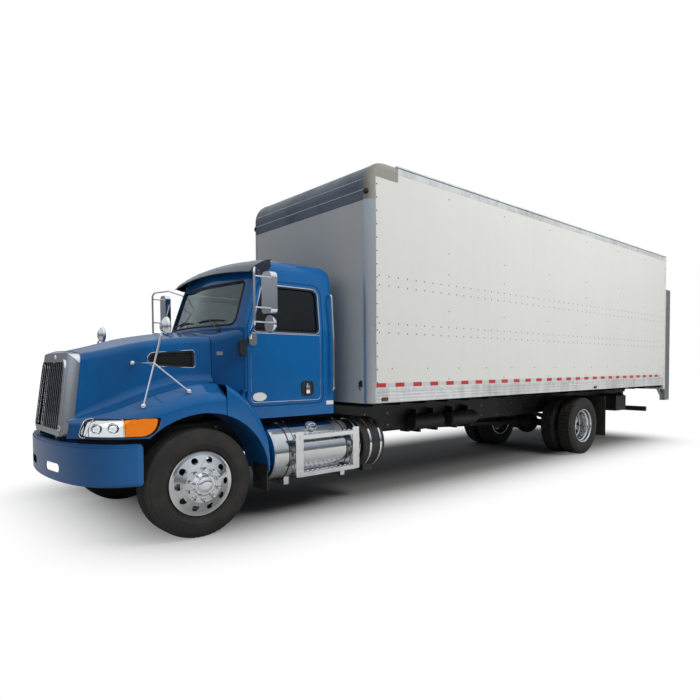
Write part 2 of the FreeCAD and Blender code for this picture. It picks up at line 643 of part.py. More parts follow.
def hood_shell():
    """The tilting hood in one moulded skin with its fenders, wheel arches, lamp and intake openings."""
    skin = hood_volume().cut(hood_volume(HOOD_SKIN, 2))
    floor_cut = box(SEAM_X - 10, FRONT_AXLE_X + 1000, -FENDER_HALF - 10, FENDER_HALF + 10,
                    HOOD_LIP_Z - 5, HOOD_LIP_Z + HOOD_SKIN + 1)
    rims = prism("xz", -1300, 1300, [(SEAM_X - 10, HOOD_LIP_Z - 20), (grille_x(HOOD_LIP_Z - 20), HOOD_LIP_Z - 20),
                                     (grille_x(2100), 2100), (SEAM_X - 10, 2100)])
    skin = skin.common(rims)
    skin = skin.cut(floor_cut).cut(surround_form(SEAT_GAP)).cut(surround_clearance())
    volume = hood_volume(0.5)
    for s in (1, -1):
        wheel_space, lamp, intake = arch(ARCH_R), lamp_prism(0.8), side_window(INTAKE_OUTLINE, 560, 790)
        liner = arch(ARCH_R + LINER_T, 610).cut(arch(ARCH_R, 600))
        liner = liner.common(box(FENDER_SEAM_X + 1, FRONT_AXLE_X + 700, 0, 1300, HOOD_LIP_Z + 2, 1300))
        if s < 0:
            wheel_space, lamp, intake, liner = [mirrored(q) for q in (wheel_space, lamp, intake, liner)]
        skin = skin.cut(wheel_space).cut(lamp).cut(intake)
        skin = skin.cut(box(SEAM_X - 5, FENDER_SEAM_X, s * FENDER_INNER, s * (FENDER_HALF + 5), HOOD_LIP_Z - 5, 1600))
        skin = skin.fuse(liner.common(volume))
    return skin.removeSplitter()


def lamp_prism(grow=0.0):
    """The left headlamp's outline carried through the fender's skin."""
    return side_window(LAMP_OUTLINE, LAMP_INNER_Y - grow, FENDER_HALF + 50, grow)


def headlamps():
    """Both swept headlamp units, each following the fender's surface."""
    whole = hood_volume(1).common(lamp_prism())
    left = whole.cut(hood_volume(1).translated(V(-LAMP_DEPTH, -LAMP_DEPTH, 0)))
    return pair(max(left.Solids, key=lambda q: q.Volume))


def intake_panels():
    """Louvred air intakes set flush in the hood's sides."""
    front, back = HOOD_STATIONS[4], HOOD_STATIONS[7]
    span = front[0] - back[0]
    swing = math.degrees(math.atan2(back[2] - front[2], span))
    tilt = math.degrees(math.atan2(back[4] - back[2], back[1] - back[3] - back[5]))
    share = (INTAKE_OUTLINE[0][0] - back[0]) / span
    skin_y = back[2] + (front[2] - back[2]) * share + 9
    low = INTAKE_OUTLINE[0][1]
    pivot = V(FRONT_AXLE_X + INTAKE_OUTLINE[0][0], skin_y, low)

    def panel(y0, y1, grow):
        return side_window(INTAKE_OUTLINE, skin_y + y0, skin_y + y1, grow)
    rim = panel(-34, -3, -0.5).cut(panel(-35, 0, -15))
    plate = panel(-34, -28, -0.5)
    flange = panel(-34, 20, 12).cut(panel(-35, 21, -15))
    field = panel(-30, -6, -2)
    slats = [field.common(box(FRONT_AXLE_X - 400, FRONT_AXLE_X + 400, skin_y - 40, skin_y, z, z + 7))
             for z in range(1612, 1740, 22)]
    left = fuse([rim, plate] + slats)
    for piece in (left, flange):
        piece.rotate(pivot, V(1, 0, 0), tilt)
        piece.rotate(pivot, V(0, 0, 1), -swing)
    return pair(fuse([left, flange.common(hood_volume(HOOD_SKIN, 2))]))


SURROUND_WRAP = 58.0            # how far the surround reaches back round the hood's nose
SURROUND_FRONT = 34.0
SURROUND_CORNER_R = 88.0
SURROUND_FACE = ((-532, 966, 75), (532, 966, 75), (506, 1704, 90), (0, 1749, 1500), (-506, 1704, 90))
OPENING_FACE = ((-432, 1022, 36), (432, 1022, 36), (394, 1634, 60), (-394, 1634, 60))
GRILLE_BARS = 11


def grille_face(corners, grow, x0=FRONT_AXLE_X + 700, x1=FRONT_AXLE_X + 1100):
    """An outline seen from the front, moved outward by a distance and carried through the nose."""
    return prism("yz", x0, x1, inset(list(corners), -grow))


@lru_cache(maxsize=None)
def surround_form(grow=0.0):
    """The surround's outer form: rounded front corners in plan, a rounded brow and the face's outline."""
    def plan(z):
        low, high = SURROUND_FACE[1], SURROUND_FACE[2]
        half = low[0] + (high[0] - low[0]) * (z - low[1]) / (high[1] - low[1]) + grow
        back, front = grille_x(z, -SURROUND_WRAP - grow), grille_x(z, SURROUND_FRONT + grow)
        return [(back, -half), (front, -half, SURROUND_CORNER_R), (front, half, SURROUND_CORNER_R), (back, half)]
    body = loft("xy", [(940, plan(940)), (1780, plan(1780))], 0.0, True)
    brow = prism("xz", -600, 600, [(grille_x(930, -90), 930), (grille_x(930, 90), 930),
                                   (grille_x(1752, SURROUND_FRONT + grow), 1752, 58), (grille_x(1752, -90), 1752)])
    return body.common(brow).common(grille_face(SURROUND_FACE, grow))


def surround_clearance():
    """The space over the surround that the hood's skin stops short of."""
    return raked_slab(1150, 1800, -SURROUND_WRAP - SEAT_GAP, 120, 575)


def grille_surround():
    """The broad bright frame of the grille, with the two lugs of the hood's hinge under it."""
    rim = grille_face(OPENING_FACE, 24).common(raked_slab(900, 1800, 0, SURROUND_FRONT + 12, 600))
    tuck = raked_slab(900, 1800, -SURROUND_WRAP - 36, -SURROUND_WRAP + 5, 600)
    back = grille_face(SURROUND_FACE, -24).common(tuck).common(hood_volume(HOOD_SKIN, 2))
    whole = fuse([surround_form(), rim, back]).cut(grille_face(OPENING_FACE, 0))
    px = FRONT_AXLE_X + HOOD_PIVOT_FWD
    lug_top = OPENING_FACE[0][1] - 20
    lugs = []
    for s in (-1, 1):
        y = s * HINGE_Y
        plate = prism("xz", y - 9, y + 9, [(px - LUG_R, HOOD_PIVOT_Z - LUG_R, LUG_R - 0.1),
                                           (px + LUG_R, HOOD_PIVOT_Z - LUG_R, LUG_R - 0.1),
                                           (px + LUG_R, lug_top), (px - 40, lug_top)])
        lugs.append(plate.cut(rod((px, y - 20, HOOD_PIVOT_Z), (px, y + 20, HOOD_PIVOT_Z), HINGE_PIN_R + SHAFT_PLAY)))
    return fuse([whole] + lugs)


HINGE_Y = 330.0
MIRROR_Y = 945.0
HINGE_PIN_R = 10.0
LUG_R = 14.0
FOOT_LENGTH = 56.0             # the hinge bracket's foot along the rail


def grille_bars():
    """Upright bars over a mesh panel, inside the surround."""
    x0, x1 = FRONT_AXLE_X + 700, FRONT_AXLE_X + 1100
    opening = grille_face(OPENING_FACE, 0)
    mesh = opening.common(raked_slab(900, 1800, -36, -28))
    pitch = 2 * OPENING_FACE[1][0] / (GRILLE_BARS + 1)
    bars = []
    for i in range(GRILLE_BARS):
        y = (i - (GRILLE_BARS - 1) / 2) * pitch
        bars.append(prism("xy", 900, 1800, [(x0, y - 7), (x1, y - 7), (x1, y + 7), (x0, y + 7)])
                    .common(opening).common(raked_slab(900, 1800, -30, 12)))
    return fuse([mesh] + bars)


def hood_mirrors():
    """Round mirrors, each on a leaning post with two braces down to the hood."""
    def at(fwd, y, z):
        return (FRONT_AXLE_X + fwd, y, z)
    foot, joint, neck = at(440, 1000, 1238), at(320, MIRROR_Y, 1620), at(254, MIRROR_Y, 1878)
    head = at(222, MIRROR_Y, 1958)
    braces = [at(60, 1085, 1358), at(401, 624, 1623)]
    legs = [rod(foot, joint, 9), rod(joint, neck, 9), rod(neck, head, 9)] + [rod(end, joint, 8) for end in braces]
    pads = [Part.makeSphere(26, V(*end)) for end in [foot] + braces]
    knobs = [Part.makeSphere(13, V(*joint)), Part.makeSphere(13, V(*neck))]
    bowl = turned_x([(-30, 0), (-30, 84), (-20, 92), (0, 84), (30, 40), (38, 0)], head)
    whole = fuse(legs + pads + knobs + [bowl])
    return pair(whole.cut(hood_volume()))


def turned_x(points, centre):
    """A round piece about a fore-and-aft axis, from (offset forward, radius) points."""
    pts = [V(centre[0] + a, centre[1], centre[2] + r) for a, r in points]
    face = Part.Face(Part.makePolygon(pts + [pts[0]]))
    solid = face.revolve(V(*centre), V(1, 0, 0), 360)
    return solid if solid.Volume > 0 else solid.reversed()


def hood_hinge():
    """The left bracket on the frame's front end that holds the hood's pivot pin."""
    px = FRONT_AXLE_X + HOOD_PIVOT_FWD
    end = FRONT_AXLE_X + FRAME_FRONT
    pin = rod((px, HINGE_Y - 34, HOOD_PIVOT_Z), (px, HINGE_Y + 34, HOOD_PIVOT_Z), HINGE_PIN_R)
    cheeks = []
    for near, far in ((-27, -15), (15, 27)):
        cheeks.append(prism("xz", HINGE_Y + near, HINGE_Y + far, [
            (end - 60, HOOD_PIVOT_Z - 60, 10), (px - 10, HOOD_PIVOT_Z - LUG_R, 8),
            (px + LUG_R, HOOD_PIVOT_Z - LUG_R, LUG_R - 1), (px + LUG_R, HOOD_PIVOT_Z + LUG_R, LUG_R - 1),
            (px - 30, HOOD_PIVOT_Z + LUG_R, 12), (end - 60, HOOD_PIVOT_Z + 10, 10)]))
    foot = box(end - FOOT_LENGTH, end, HINGE_Y - 34, RAIL_OUT - RAIL_T, HOOD_PIVOT_Z - 60, HOOD_PIVOT_Z - 48)
    return fuse([pin, foot] + cheeks)


# Bumper

def bumper_line(setback):
    """The bumper's curve in plan, set back by a distance."""
    f = FRONT_AXLE_X
    pts = [(f + 560, 1188), (f + 835, 1010), (f + 985, 620), (f + FRONT_OVERHANG, 0)]
    pts = [(x - setback, y - setback * y / 1300) for x, y in pts]
    pts = pts + [(x, -y) for x, y in reversed(pts[:-1])]
    curve = Part.BSplineCurve()
    curve.interpolate([V(x, y, 0) for x, y in pts])
    return curve.toShape(), V(pts[0][0], pts[0][1], 0), V(pts[-1][0], pts[-1][1], 0)


def bumper_volume(setback, z0, z1, back):
    """The plan curve closed behind and raised between two heights."""
    edge, first, last = bumper_line(setback)
    a, b = V(back, last.y, 0), V(back, first.y, 0)
    wire = Part.Wire([edge, Part.LineSegment(last, a).toShape(), Part.LineSegment(a, b).toShape(),
                      Part.LineSegment(b, first).toShape()])
    return Part.Face(wire).extrude(V(0, 0, z1 - z0)).translated(V(0, 0, z0))


BUMPER_STAY_Y = 362.0
BUMPER_ROLLS = ((0, 26), (9, 9), (24, 0))     # setback and distance in from the edges, towards the lip
BUMPER_LIP = 54.0
STEER_SPACE_R = 600.0          # space that a steered front tyre sweeps about its kingpin


def bumper_shape(rolls, back):
    """The bumper's filled form with edges stepped back in rolls."""
    return fuse([bumper_volume(roll, BUMPER_LOW_Z + inset, BUMPER_TOP_Z - inset, back) for roll, inset in rolls])


def bumper():
    """The curved steel bumper with rolled edges, two tow openings and stays to the frame."""
    f = FRONT_AXLE_X
    skin = bumper_shape(BUMPER_ROLLS, f + 500)
    hollow = [(roll + BUMPER_SKIN, inset + BUMPER_SKIN) for roll, inset in BUMPER_ROLLS[:-1]]
    skin = skin.cut(bumper_shape(hollow + [(BUMPER_LIP, -1)], f + 450))
    for s in (-1, 1):
        skin = skin.cut(rod((f, s * KINGPIN_Y, 0), (f, s * KINGPIN_Y, BUMPER_TOP_Z + 50), STEER_SPACE_R))
    for s in (-1, 1):
        skin = skin.cut(prism("yz", f + 700, f + 1100, [(s * 350 - 160, 650, 36), (s * 350 + 160, 650, 36),
                                                         (s * 350 + 160, 728, 36), (s * 350 - 160, 728, 36)]))
    stays = []
    for s in (-1, 1):
        y = s * BUMPER_STAY_Y
        arm = box(f + FRONT_MEMBER, f + FRONT_OVERHANG, y - 6, y + 6, 745, 855)
        flange = box(f + FRONT_MEMBER, f + FRAME_FRONT, y - s * 6, s * (RAIL_OUT - RAIL_T), 745, 855)
        stays.append(fuse([arm, flange]).common(bumper_volume(BUMPER_SKIN / 2, 700, 900, f + 450)))
    return fuse([skin] + stays)


# Cab

CAB_SCREEN_Z = 1990.0          # height where the windscreen's slope starts
CAB_FRONT_SIDE = 585.0         # front axle back to the cab's front corners, below the windscreen
PILLAR_IN = 95.0               # width of the chamfered pillar beside the windscreen, across the cab
PILLAR_FWD = 38.0              # and along it
CAB_FRONT_MIDDLE = 430.0       # the same on the centre line
SCREEN_RAKE_SIDE = 186.0       # how far the front leans back up to the eave, at the corners
SCREEN_RAKE_MIDDLE = 225.0
ROOF_ROUND = 130.0             # width of the roof's rounded edge
ROOF_STEPS = 5


def cab_plan(z, shrink=0.0):
    """The cab's outline from above at a height: square behind, gently curved in front."""
    f = FRONT_AXLE_X
    lean = max(0.0, (z - CAB_SCREEN_Z) / (CAB_EAVE_Z - CAB_SCREEN_Z))
    half = CAB_HALF - CAB_TUMBLE * lean - shrink
    side = f - CAB_FRONT_SIDE - SCREEN_RAKE_SIDE * lean - shrink
    middle = f - CAB_FRONT_MIDDLE - SCREEN_RAKE_MIDDLE * lean - shrink
    rear = CAB_BACK_X + shrink * 0.8
    front = [(side, half, 30), (side + PILLAR_FWD, half - PILLAR_IN, 110)]
    return ([(rear, -half, 85)] + [(c[0], -c[1], c[2]) for c in front] + [(middle, 0, 2.2 * half)]
            + front[::-1] + [(rear, half, 85)])


@lru_cache(maxsize=None)
def cab_volume(thickness=0.0):
    """The cab's outer form, moved inward by a thickness."""
    levels = [(CAB_LOW_Z + thickness, cab_plan(CAB_LOW_Z)), (CAB_SCREEN_Z, cab_plan(CAB_SCREEN_Z)),
              (CAB_EAVE_Z, cab_plan(CAB_EAVE_Z))]
    rise = CAB_TOP_Z - 18 - CAB_EAVE_Z
    for i in range(1, ROOF_STEPS + 1):
        a = math.radians(90 * i / ROOF_STEPS)
        z = CAB_EAVE_Z + (rise - thickness) * math.sin(a)
        levels.append((z, cab_plan(CAB_EAVE_Z + 0.35 * rise * math.sin(a), ROOF_ROUND * (1 - math.cos(a)))))
    levels.append((CAB_TOP_Z - thickness, cab_plan(CAB_EAVE_Z + 0.35 * rise, 2.8 * ROOF_ROUND)))
    return loft("xy", levels, thickness, True)


DOOR_OUTLINE = ((-1560, 1172, 90), (-1560, 2500, 110), (-782, 2500, 50), (-606, 1990, 160), (-606, 1172, 90))
WINDOW_OUTLINE = ((-1492, 1968, 40), (-1492, 2432, 66), (-826, 2432, 46), (-684, 1968, 30))
DOOR_THICK = 52.0
SCREEN_OUTLINE = ((-792, 2036, 60), (792, 2036, 60), (752, 2484, 60), (-752, 2484, 60))
REAR_GLASS = ((-560, 2010, 50), (560, 2010, 50), (540, 2400, 50), (-540, 2400, 50))


def cab_shell():
    """The hollow cab with its door openings, windscreen and rear window cut through."""
    shell = cab_volume().cut(cab_volume(CAB_WALL))
    door = side_window(DOOR_OUTLINE, 700, 1100)
    f = FRONT_AXLE_X
    shell = shell.cut(door).cut(mirrored(door))
    shell = shell.cut(prism("yz", f - 1000, f - 400, list(SCREEN_OUTLINE)))
    shell = shell.cut(prism("yz", CAB_BACK_X - 20, CAB_BACK_X + 200, list(REAR_GLASS)))
    return shell


def door_skin():
    """The left door: outer form at the cab's surface, inner face a door's thickness inside."""
    leaf = cab_volume().cut(cab_volume(DOOR_THICK)).common(side_window(DOOR_OUTLINE, 700, 1100, -DOOR_GAP))
    return leaf.cut(side_window(WINDOW_OUTLINE, 700, 1100))


DOOR_HINGE_BACK = 600.0
DOOR_HINGE_Y = 968.0
DOOR_HINGE_R = 9.0
DOOR_HINGE_ZS = (1300.0, 1760.0)


def door_panel():
    """The left door with its hinge barrels and the recess of its handle."""
    door = door_skin()
    hx = FRONT_AXLE_X - DOOR_HINGE_BACK
    pull = box(FRONT_AXLE_X - 1410, FRONT_AXLE_X - 1270, CAB_HALF - 22, CAB_HALF + 5, 1318, 1368)
    door = door.cut(pull)
    barrels = []
    for z in DOOR_HINGE_ZS:
        barrels.append(ring((hx, DOOR_HINGE_Y, z - 30), (hx, DOOR_HINGE_Y, z + 30),
                            DOOR_HINGE_R + 6, DOOR_HINGE_R + SHAFT_PLAY))
        barrels.append(box(hx - 60, hx - DOOR_HINGE_R - 4, CAB_HALF - 2, CAB_HALF + 8, z - 28, z + 28))
        barrels.append(box(hx - DOOR_HINGE_R - 14, hx - DOOR_HINGE_R - 2, CAB_HALF + 2, DOOR_HINGE_Y + 2, z - 28, z + 28))
    return fuse([door] + barrels)


def door_hinges():
    """The cab's half of the door hinges: pins between two ears on the cowl's side, on both sides."""
    hx = FRONT_AXLE_X - DOOR_HINGE_BACK
    pieces = []
    for z in DOOR_HINGE_ZS:
        pin = rod((hx, DOOR_HINGE_Y, z - 48), (hx, DOOR_HINGE_Y, z + 48), DOOR_HINGE_R)
        ears = [rod((hx, DOOR_HINGE_Y, z + s * 32), (hx, DOOR_HINGE_Y, z + s * 48), DOOR_HINGE_R + 6) for s in (-1, 1)]
        leaf = [box(hx - 8, hx + 55, CAB_HALF - 60, DOOR_HINGE_Y + 8, z + s * 40 - 8, z + s * 40 + 8) for s in (-1, 1)]
        plate = box(hx + 18, hx + 55, CAB_HALF - 60, CAB_HALF + 8, z - 48, z + 48)
        pieces.append(fuse([pin, plate] + ears + leaf).cut(cab_volume()))
    left = Part.makeCompound(pieces)
    return Part.makeCompound([left, mirrored(left)])


def door_glass():
    """The left side window."""
    layer = cab_volume(20).cut(cab_volume(20 + GLASS_T))
    return layer.common(side_window(WINDOW_OUTLINE, 700, 1100))


def screen_glass():
    """The curved windscreen."""
    layer = cab_volume(14).cut(cab_volume(14 + GLASS_T))
    return layer.common(prism("yz", FRONT_AXLE_X - 1000, FRONT_AXLE_X - 400, list(SCREEN_OUTLINE)))


def rear_glass():
    """The window in the cab's rear wall."""
    layer = cab_volume(20).cut(cab_volume(20 + GLASS_T))
    return layer.common(prism("yz", CAB_BACK_X - 20, CAB_BACK_X + 100, list(REAR_GLASS)))


COWL_BACK = 660.0
COWL_CORNER = 600.0


def cowl_section(side, shoulder, shoulder_z, top, radius):
    """The cowl's cross-section: upright sides, rounded shoulders and a crowned top."""
    half = [(side, CAB_LOW_Z), (shoulder, shoulder_z, radius), (0, top, 1500)]
    return [(-c[0],) + tuple(c[1:]) for c in half[:-1]] + [half[-1]] + list(reversed(half[:-1]))


@lru_cache(maxsize=None)
def cowl_volume(thickness=0.0, overrun=0.0):
    """The cowl's outer form from the cab's front corners to the hood's seam."""
    row = HOOD_STATIONS[-1]
    sections = [(FRONT_AXLE_X - COWL_BACK, cowl_section(CAB_HALF, CAB_HALF, 1985, 2030, 60)),
                (FRONT_AXLE_X - COWL_CORNER, cowl_section(CAB_HALF, CAB_HALF - 4, 1978, 2026, 60)),
                (SEAM_X - HOOD_GAP, cowl_section(row[4], row[2], row[1] - row[3], row[1], 75))]
    return loft("yz", sections, thickness, True, overrun)


@lru_cache(maxsize=None)
def cowl():
    """The fixed bodywork between the hood's seam and the cab, under the windscreen."""
    row = HOOD_STATIONS[-1]
    skin = cowl_volume().cut(cowl_volume(HOOD_SKIN, 2))
    skin = skin.cut(box(FRONT_AXLE_X - COWL_BACK - 5, SEAM_X, -row[4] + 20, row[4] - 20,
                        CAB_LOW_Z - 5, CAB_LOW_Z + HOOD_SKIN + 1))
    skin = skin.cut(cab_volume()).cut(arch(ARCH_R + 30)).cut(mirrored(arch(ARCH_R + 30)))
    return max(skin.Solids, key=lambda q: q.Volume)


TAIL_LOW_Z = 530.0


def tail_profile(skin):
    """The rear fender piece from the side: an arch band that narrows to its foot."""
    c = V(FRONT_AXLE_X - ARCH_SETBACK, 0, AXLE_Z)
    x0 = FENDER_SEAM_X - HOOD_GAP
    top = HOOD_STATIONS[-1][5] - skin
    r = ARCH_R + skin
    low_z = TAIL_LOW_Z + skin
    start = V(x0, 0, c.z + math.sqrt(r * r - (c.x - x0) ** 2))
    foot = V(c.x - math.sqrt(r * r - (low_z - c.z) ** 2), 0, low_z)
    middle = V(c.x - r * math.cos(math.radians(40)), 0, c.z + r * math.sin(math.radians(40)))
    heel = V(FRONT_AXLE_X - 735 + skin, 0, low_z)
    knee = V(FRONT_AXLE_X - 612 + 0.8 * skin, 0, 1085 - 0.6 * skin)
    crown = V(x0, 0, top)
    wire = Part.Wire([Part.Arc(start, middle, foot).toShape(), Part.LineSegment(foot, heel).toShape(),
                      Part.Arc(heel, knee, crown).toShape(), Part.LineSegment(crown, start).toShape()])
    return Part.Face(wire)


def fender_tails():
    """The fixed rear parts of both front fenders, behind the hood's seam."""
    inner_y = HOOD_STATIONS[-1][4] - 12
    outer = tail_profile(0).extrude(V(0, FENDER_HALF - inner_y, 0)).translated(V(0, inner_y, 0))
    hollow = tail_profile(HOOD_SKIN).extrude(V(0, FENDER_HALF - HOOD_SKIN - inner_y + 20, 0)).translated(V(0, inner_y - 20, 0))
    rim = [e for e in outer.Edges if abs(e.BoundBox.YMin - FENDER_HALF) < 1e-3 and e.BoundBox.YMax - e.BoundBox.YMin < 1e-3
           and e.BoundBox.ZMax > HOOD_STATIONS[-1][5] - 1 and e.BoundBox.XLength > 100]
    outer = outer.makeFillet(60, rim)
    hollow_rim = [e for e in hollow.Edges if abs(e.BoundBox.YMin - (FENDER_HALF - HOOD_SKIN)) < 1e-3
                  and e.BoundBox.YMax - e.BoundBox.YMin < 1e-3
                  and e.BoundBox.ZMax > HOOD_STATIONS[-1][5] - HOOD_SKIN - 1 and e.BoundBox.XLength > 100]
    hollow = hollow.makeFillet(60 - HOOD_SKIN, hollow_rim)
    hood_room = box(SEAM_X - HOOD_GAP, FRONT_AXLE_X, 0, FENDER_INNER + HOOD_GAP, 0, 2000)
    tail = outer.cut(hollow).cut(cowl_volume()).cut(cab_volume()).cut(hood_room)
    return pair(max(tail.Solids, key=lambda q: q.Volume))


@lru_cache(maxsize=None)
def visor():
    """The drop visor over the windscreen, with its end plates."""
    f = FRONT_AXLE_X
    def strip(lip, lip_z, back, back_z):
        return [(f - lip, lip_z), (f - back, back_z), (f - back, back_z + 7), (f - lip + 5, lip_z + 10)]
    sections = [(-862, strip(764, 2566, 930, 2640)), (-480, strip(700, 2618, 960, 2732)), (0, strip(676, 2640, 980, 2742)),
                (480, strip(700, 2618, 960, 2732)), (862, strip(764, 2566, 930, 2640))]
    blade = Part.makeLoft([outline("xz", y, c) for y, c in sections], True, False)
    ends = []
    for s in (-1, 1):
        ends.append(prism("xz", s * 856, s * 862, [(f - 760, 2568), (f - 930, 2646), (f - 930, 2560), (f - 880, 2520)]))
    whole = fuse([blade] + ends).cut(cab_volume())
    return max(whole.Solids, key=lambda q: q.Volume)


ROOF_LAMP_YS = (-640.0, -190.0, 0.0, 190.0, 640.0)


def roof_lamps():
    """Five marker lamps in a row along the roof's front edge."""
    out = []
    for y in ROOF_LAMP_YS:
        x = FRONT_AXLE_X - 1030 - 45 * (y / ROOF_LAMP_YS[-1]) ** 2
        base = box(x - 52, x + 46, y - 34, y + 34, 2725, 2764)
        lens = Part.makeCone(30, 21, 26, V(x, y, 2758), V(0, 0, 1))
        out.append(fuse([base, lens]).cut(cab_volume()))
    return Part.makeCompound(out)


def cab_interior():
    """Dashboard with its instrument hood, across the cab behind the windscreen."""
    f = FRONT_AXLE_X
    dash = prism("xz", -880, 880, [(f - 520, 1420, 20), (f - 520, 1940, 60), (f - 900, 1930, 60), (f - 980, 1800, 40),
                                   (f - 930, 1560, 40), (f - 860, 1420, 20)])
    hood = prism("xz", 230, 690, [(f - 820, 1900, 20), (f - 1000, 1960, 30), (f - 1010, 1850, 20), (f - 850, 1780, 10)])
    return fuse([dash, hood]).common(cab_volume(CAB_WALL))


SEAT_YS = (430.0, -430.0)


def seats():
    """A driver's and a passenger's seat, each a cushion and a back on a pedestal."""
    out = []
    x, floor_z = FRONT_AXLE_X - 1330, CAB_LOW_Z + CAB_WALL
    for y in SEAT_YS:
        base = box(x - 170, x + 130, y - 170, y + 170, floor_z, floor_z + 270)
        cushion = prism("yz", x - 210, x + 270, [(y - 250, 1365, 40), (y + 250, 1365, 40), (y + 250, 1500, 45), (y - 250, 1500, 45)])
        back = prism("xz", y - 240, y + 240, [(x - 220, 1440, 30), (x - 120, 1440, 30), (x - 215, 2060, 36), (x - 310, 2060, 36)])
        head = prism("xz", y - 120, y + 120, [(x - 305, 2050, 20), (x - 225, 2050, 20), (x - 245, 2240, 26), (x - 318, 2240, 26)])
        out.append(fuse([base, cushion, back, head]))
    return Part.makeCompound(out)


def steering_wheel():
    """The wheel on its column in front of the driver."""
    f = FRONT_AXLE_X
    c, axis = V(f - 1090, 430, 1800), V(-0.62, 0, 0.78)
    rim = Part.makeTorus(225, 16, c, axis)
    hub = Part.makeCylinder(62, 46, c - axis * 40, axis)
    column = Part.makeCylinder(34, 260, c - axis * 260, axis)
    u, w = V(0, 1, 0), axis.cross(V(0, 1, 0))
    spokes = [Part.makeCylinder(13, 222, c - axis * 12, u * math.cos(a) + w * math.sin(a))
              for a in (math.pi * 0.5, math.pi * 1.2, math.pi * 1.8)]
    wheel = fuse([rim, hub, column] + spokes).cut(cab_interior())
    return max(wheel.Solids, key=lambda q: q.Volume)


def door_mirror():
    """The left door mirror: a bent tube frame, a tall head and a round one below it."""
    f = FRONT_AXLE_X
    def at(back, y, z):
        return (f - back, y, z)
    loop = tube([at(655, 945, 1870), at(560, 1120, 1930), at(500, 1300, 1990), at(500, 1300, 2540), at(640, 1120, 2560),
                 at(830, 905, 2462)], 11, 60)
    foot = prism("xz", CAB_HALF - 1, CAB_HALF + 26, [(f - 706, 1806, 30), (f - 620, 1806, 30), (f - 620, 1930, 30), (f - 706, 1930, 30)])
    head = prism("yz", f - 700, f - 630, [(1211, 2105, 45), (1389, 2105, 45), (1389, 2515, 60), (1211, 2515, 60)])
    stays = [rod(at(500, 1300, z), at(640, 1300, z), 8) for z in (2160, 2460)]
    disc = turned_x([(-30, 0), (-30, 78), (-8, 87), (6, 87), (6, 0)], at(665, 1300, 2005))
    stem = rod(at(500, 1300, 2020), at(665, 1300, 2020), 8)
    return fuse([loop, foot, head, disc, stem] + stays).cut(cab_volume())


def grab_handle():
    """Upright grab handles behind the doors, on both sides."""
    f = FRONT_AXLE_X
    bar = tube([(f - 1668, CAB_HALF - 8, 1320), (f - 1668, CAB_HALF + 52, 1320), (f - 1668, CAB_HALF + 52, 1900),
                (f - 1668, CAB_HALF + 20, 2400), (f - 1668, CAB_HALF - 60, 2410)], 12, 28)
    return pair(bar.cut(cab_volume()))


# Tanks, steps and boxes along the frame

def tank_bracket(x, y, z, radius, width=60):
    """A cradle from the frame rail out and under a round tank."""
    reach = y + radius * 0.55
    low = z - radius
    plate = box(x - width / 2, x + width / 2, RAIL_OUT, y, low - 30, RAIL_TOP_Z - 20)
    shelf = box(x - width / 2, x + width / 2, RAIL_OUT, reach, low - 30, low + 60)
    return fuse([plate, shelf]).cut(rod((x - width, y, z), (x + width, y, z), radius + SEAT_GAP))


def dished(x_front, length, y, z, radius):
    """A closed tank with shallow dished ends."""
    x_back = x_front - length
    shell = rod((x_back + 30, y, z), (x_front - 30, y, z), radius)
    return shell.fuse(fuse([turned_x([(0, 0), (30, 0), (30, radius * 0.82), (22, radius * 0.95), (0, radius)],
                                     (x_front - 30, y, z)),
                            turned_x([(0, 0), (-30, 0), (-30, radius * 0.82), (-22, radius * 0.95), (0, radius)],
                                     (x_back + 30, y, z))])).removeSplitter()


STRAP_W = 62.0
STRAP_T = 5.0
TANK_STRAPS = (213.0, 970.0)   # front head back to each strap's middle
FILLER_BACK = 531.0            # front head back to the filler neck


def fuel_tank():
    """The round fuel tank under the driver's door, with its filler neck and cap."""
    x0 = FRONT_AXLE_X - TANK_FRONT
    tank = dished(x0, TANK_LENGTH, TANK_Y, TANK_Z, TANK_R)
    fx = x0 - FILLER_BACK
    lean = V(0, 0.55, 0.83)
    base = V(fx, TANK_Y, TANK_Z)
    neck = Part.makeCylinder(52, TANK_R + 14, base, lean)
    cap = Part.makeCylinder(60, 28, base + lean.normalize() * (TANK_R + 12), lean)
    return fuse([tank, neck, cap])


def strapped(x, y, z, radius, width):
    """A strap right round a tank, with a rubber liner under it, ending at the bracket's bolts."""
    band = ring((x - width / 2, y, z), (x + width / 2, y, z), radius + STRAP_T, radius + SEAT_GAP)
    lug = box(x - width / 2, x + width / 2, y - 12, y + 24, z - radius - 34, z - radius - 4)
    return fuse([band, lug])


def tank_straps():
    """Brackets and straps of the fuel tank."""
    x0 = FRONT_AXLE_X - TANK_FRONT
    out = []
    for back in TANK_STRAPS:
        x = x0 - back
        bracket = tank_bracket(x, TANK_Y, TANK_Z, TANK_R + STRAP_T)
        band = strapped(x, TANK_Y, TANK_Z, TANK_R, STRAP_W)
        out.append(fuse([bracket, band]))
    return Part.makeCompound(out)


STEP_FRONT = 1055.0
STEP_LENGTH = 765.0
STEP_OUT_Y = 1225.0
STEP_ZS = (465.0, 862.0)
STEP_HOLES = 12


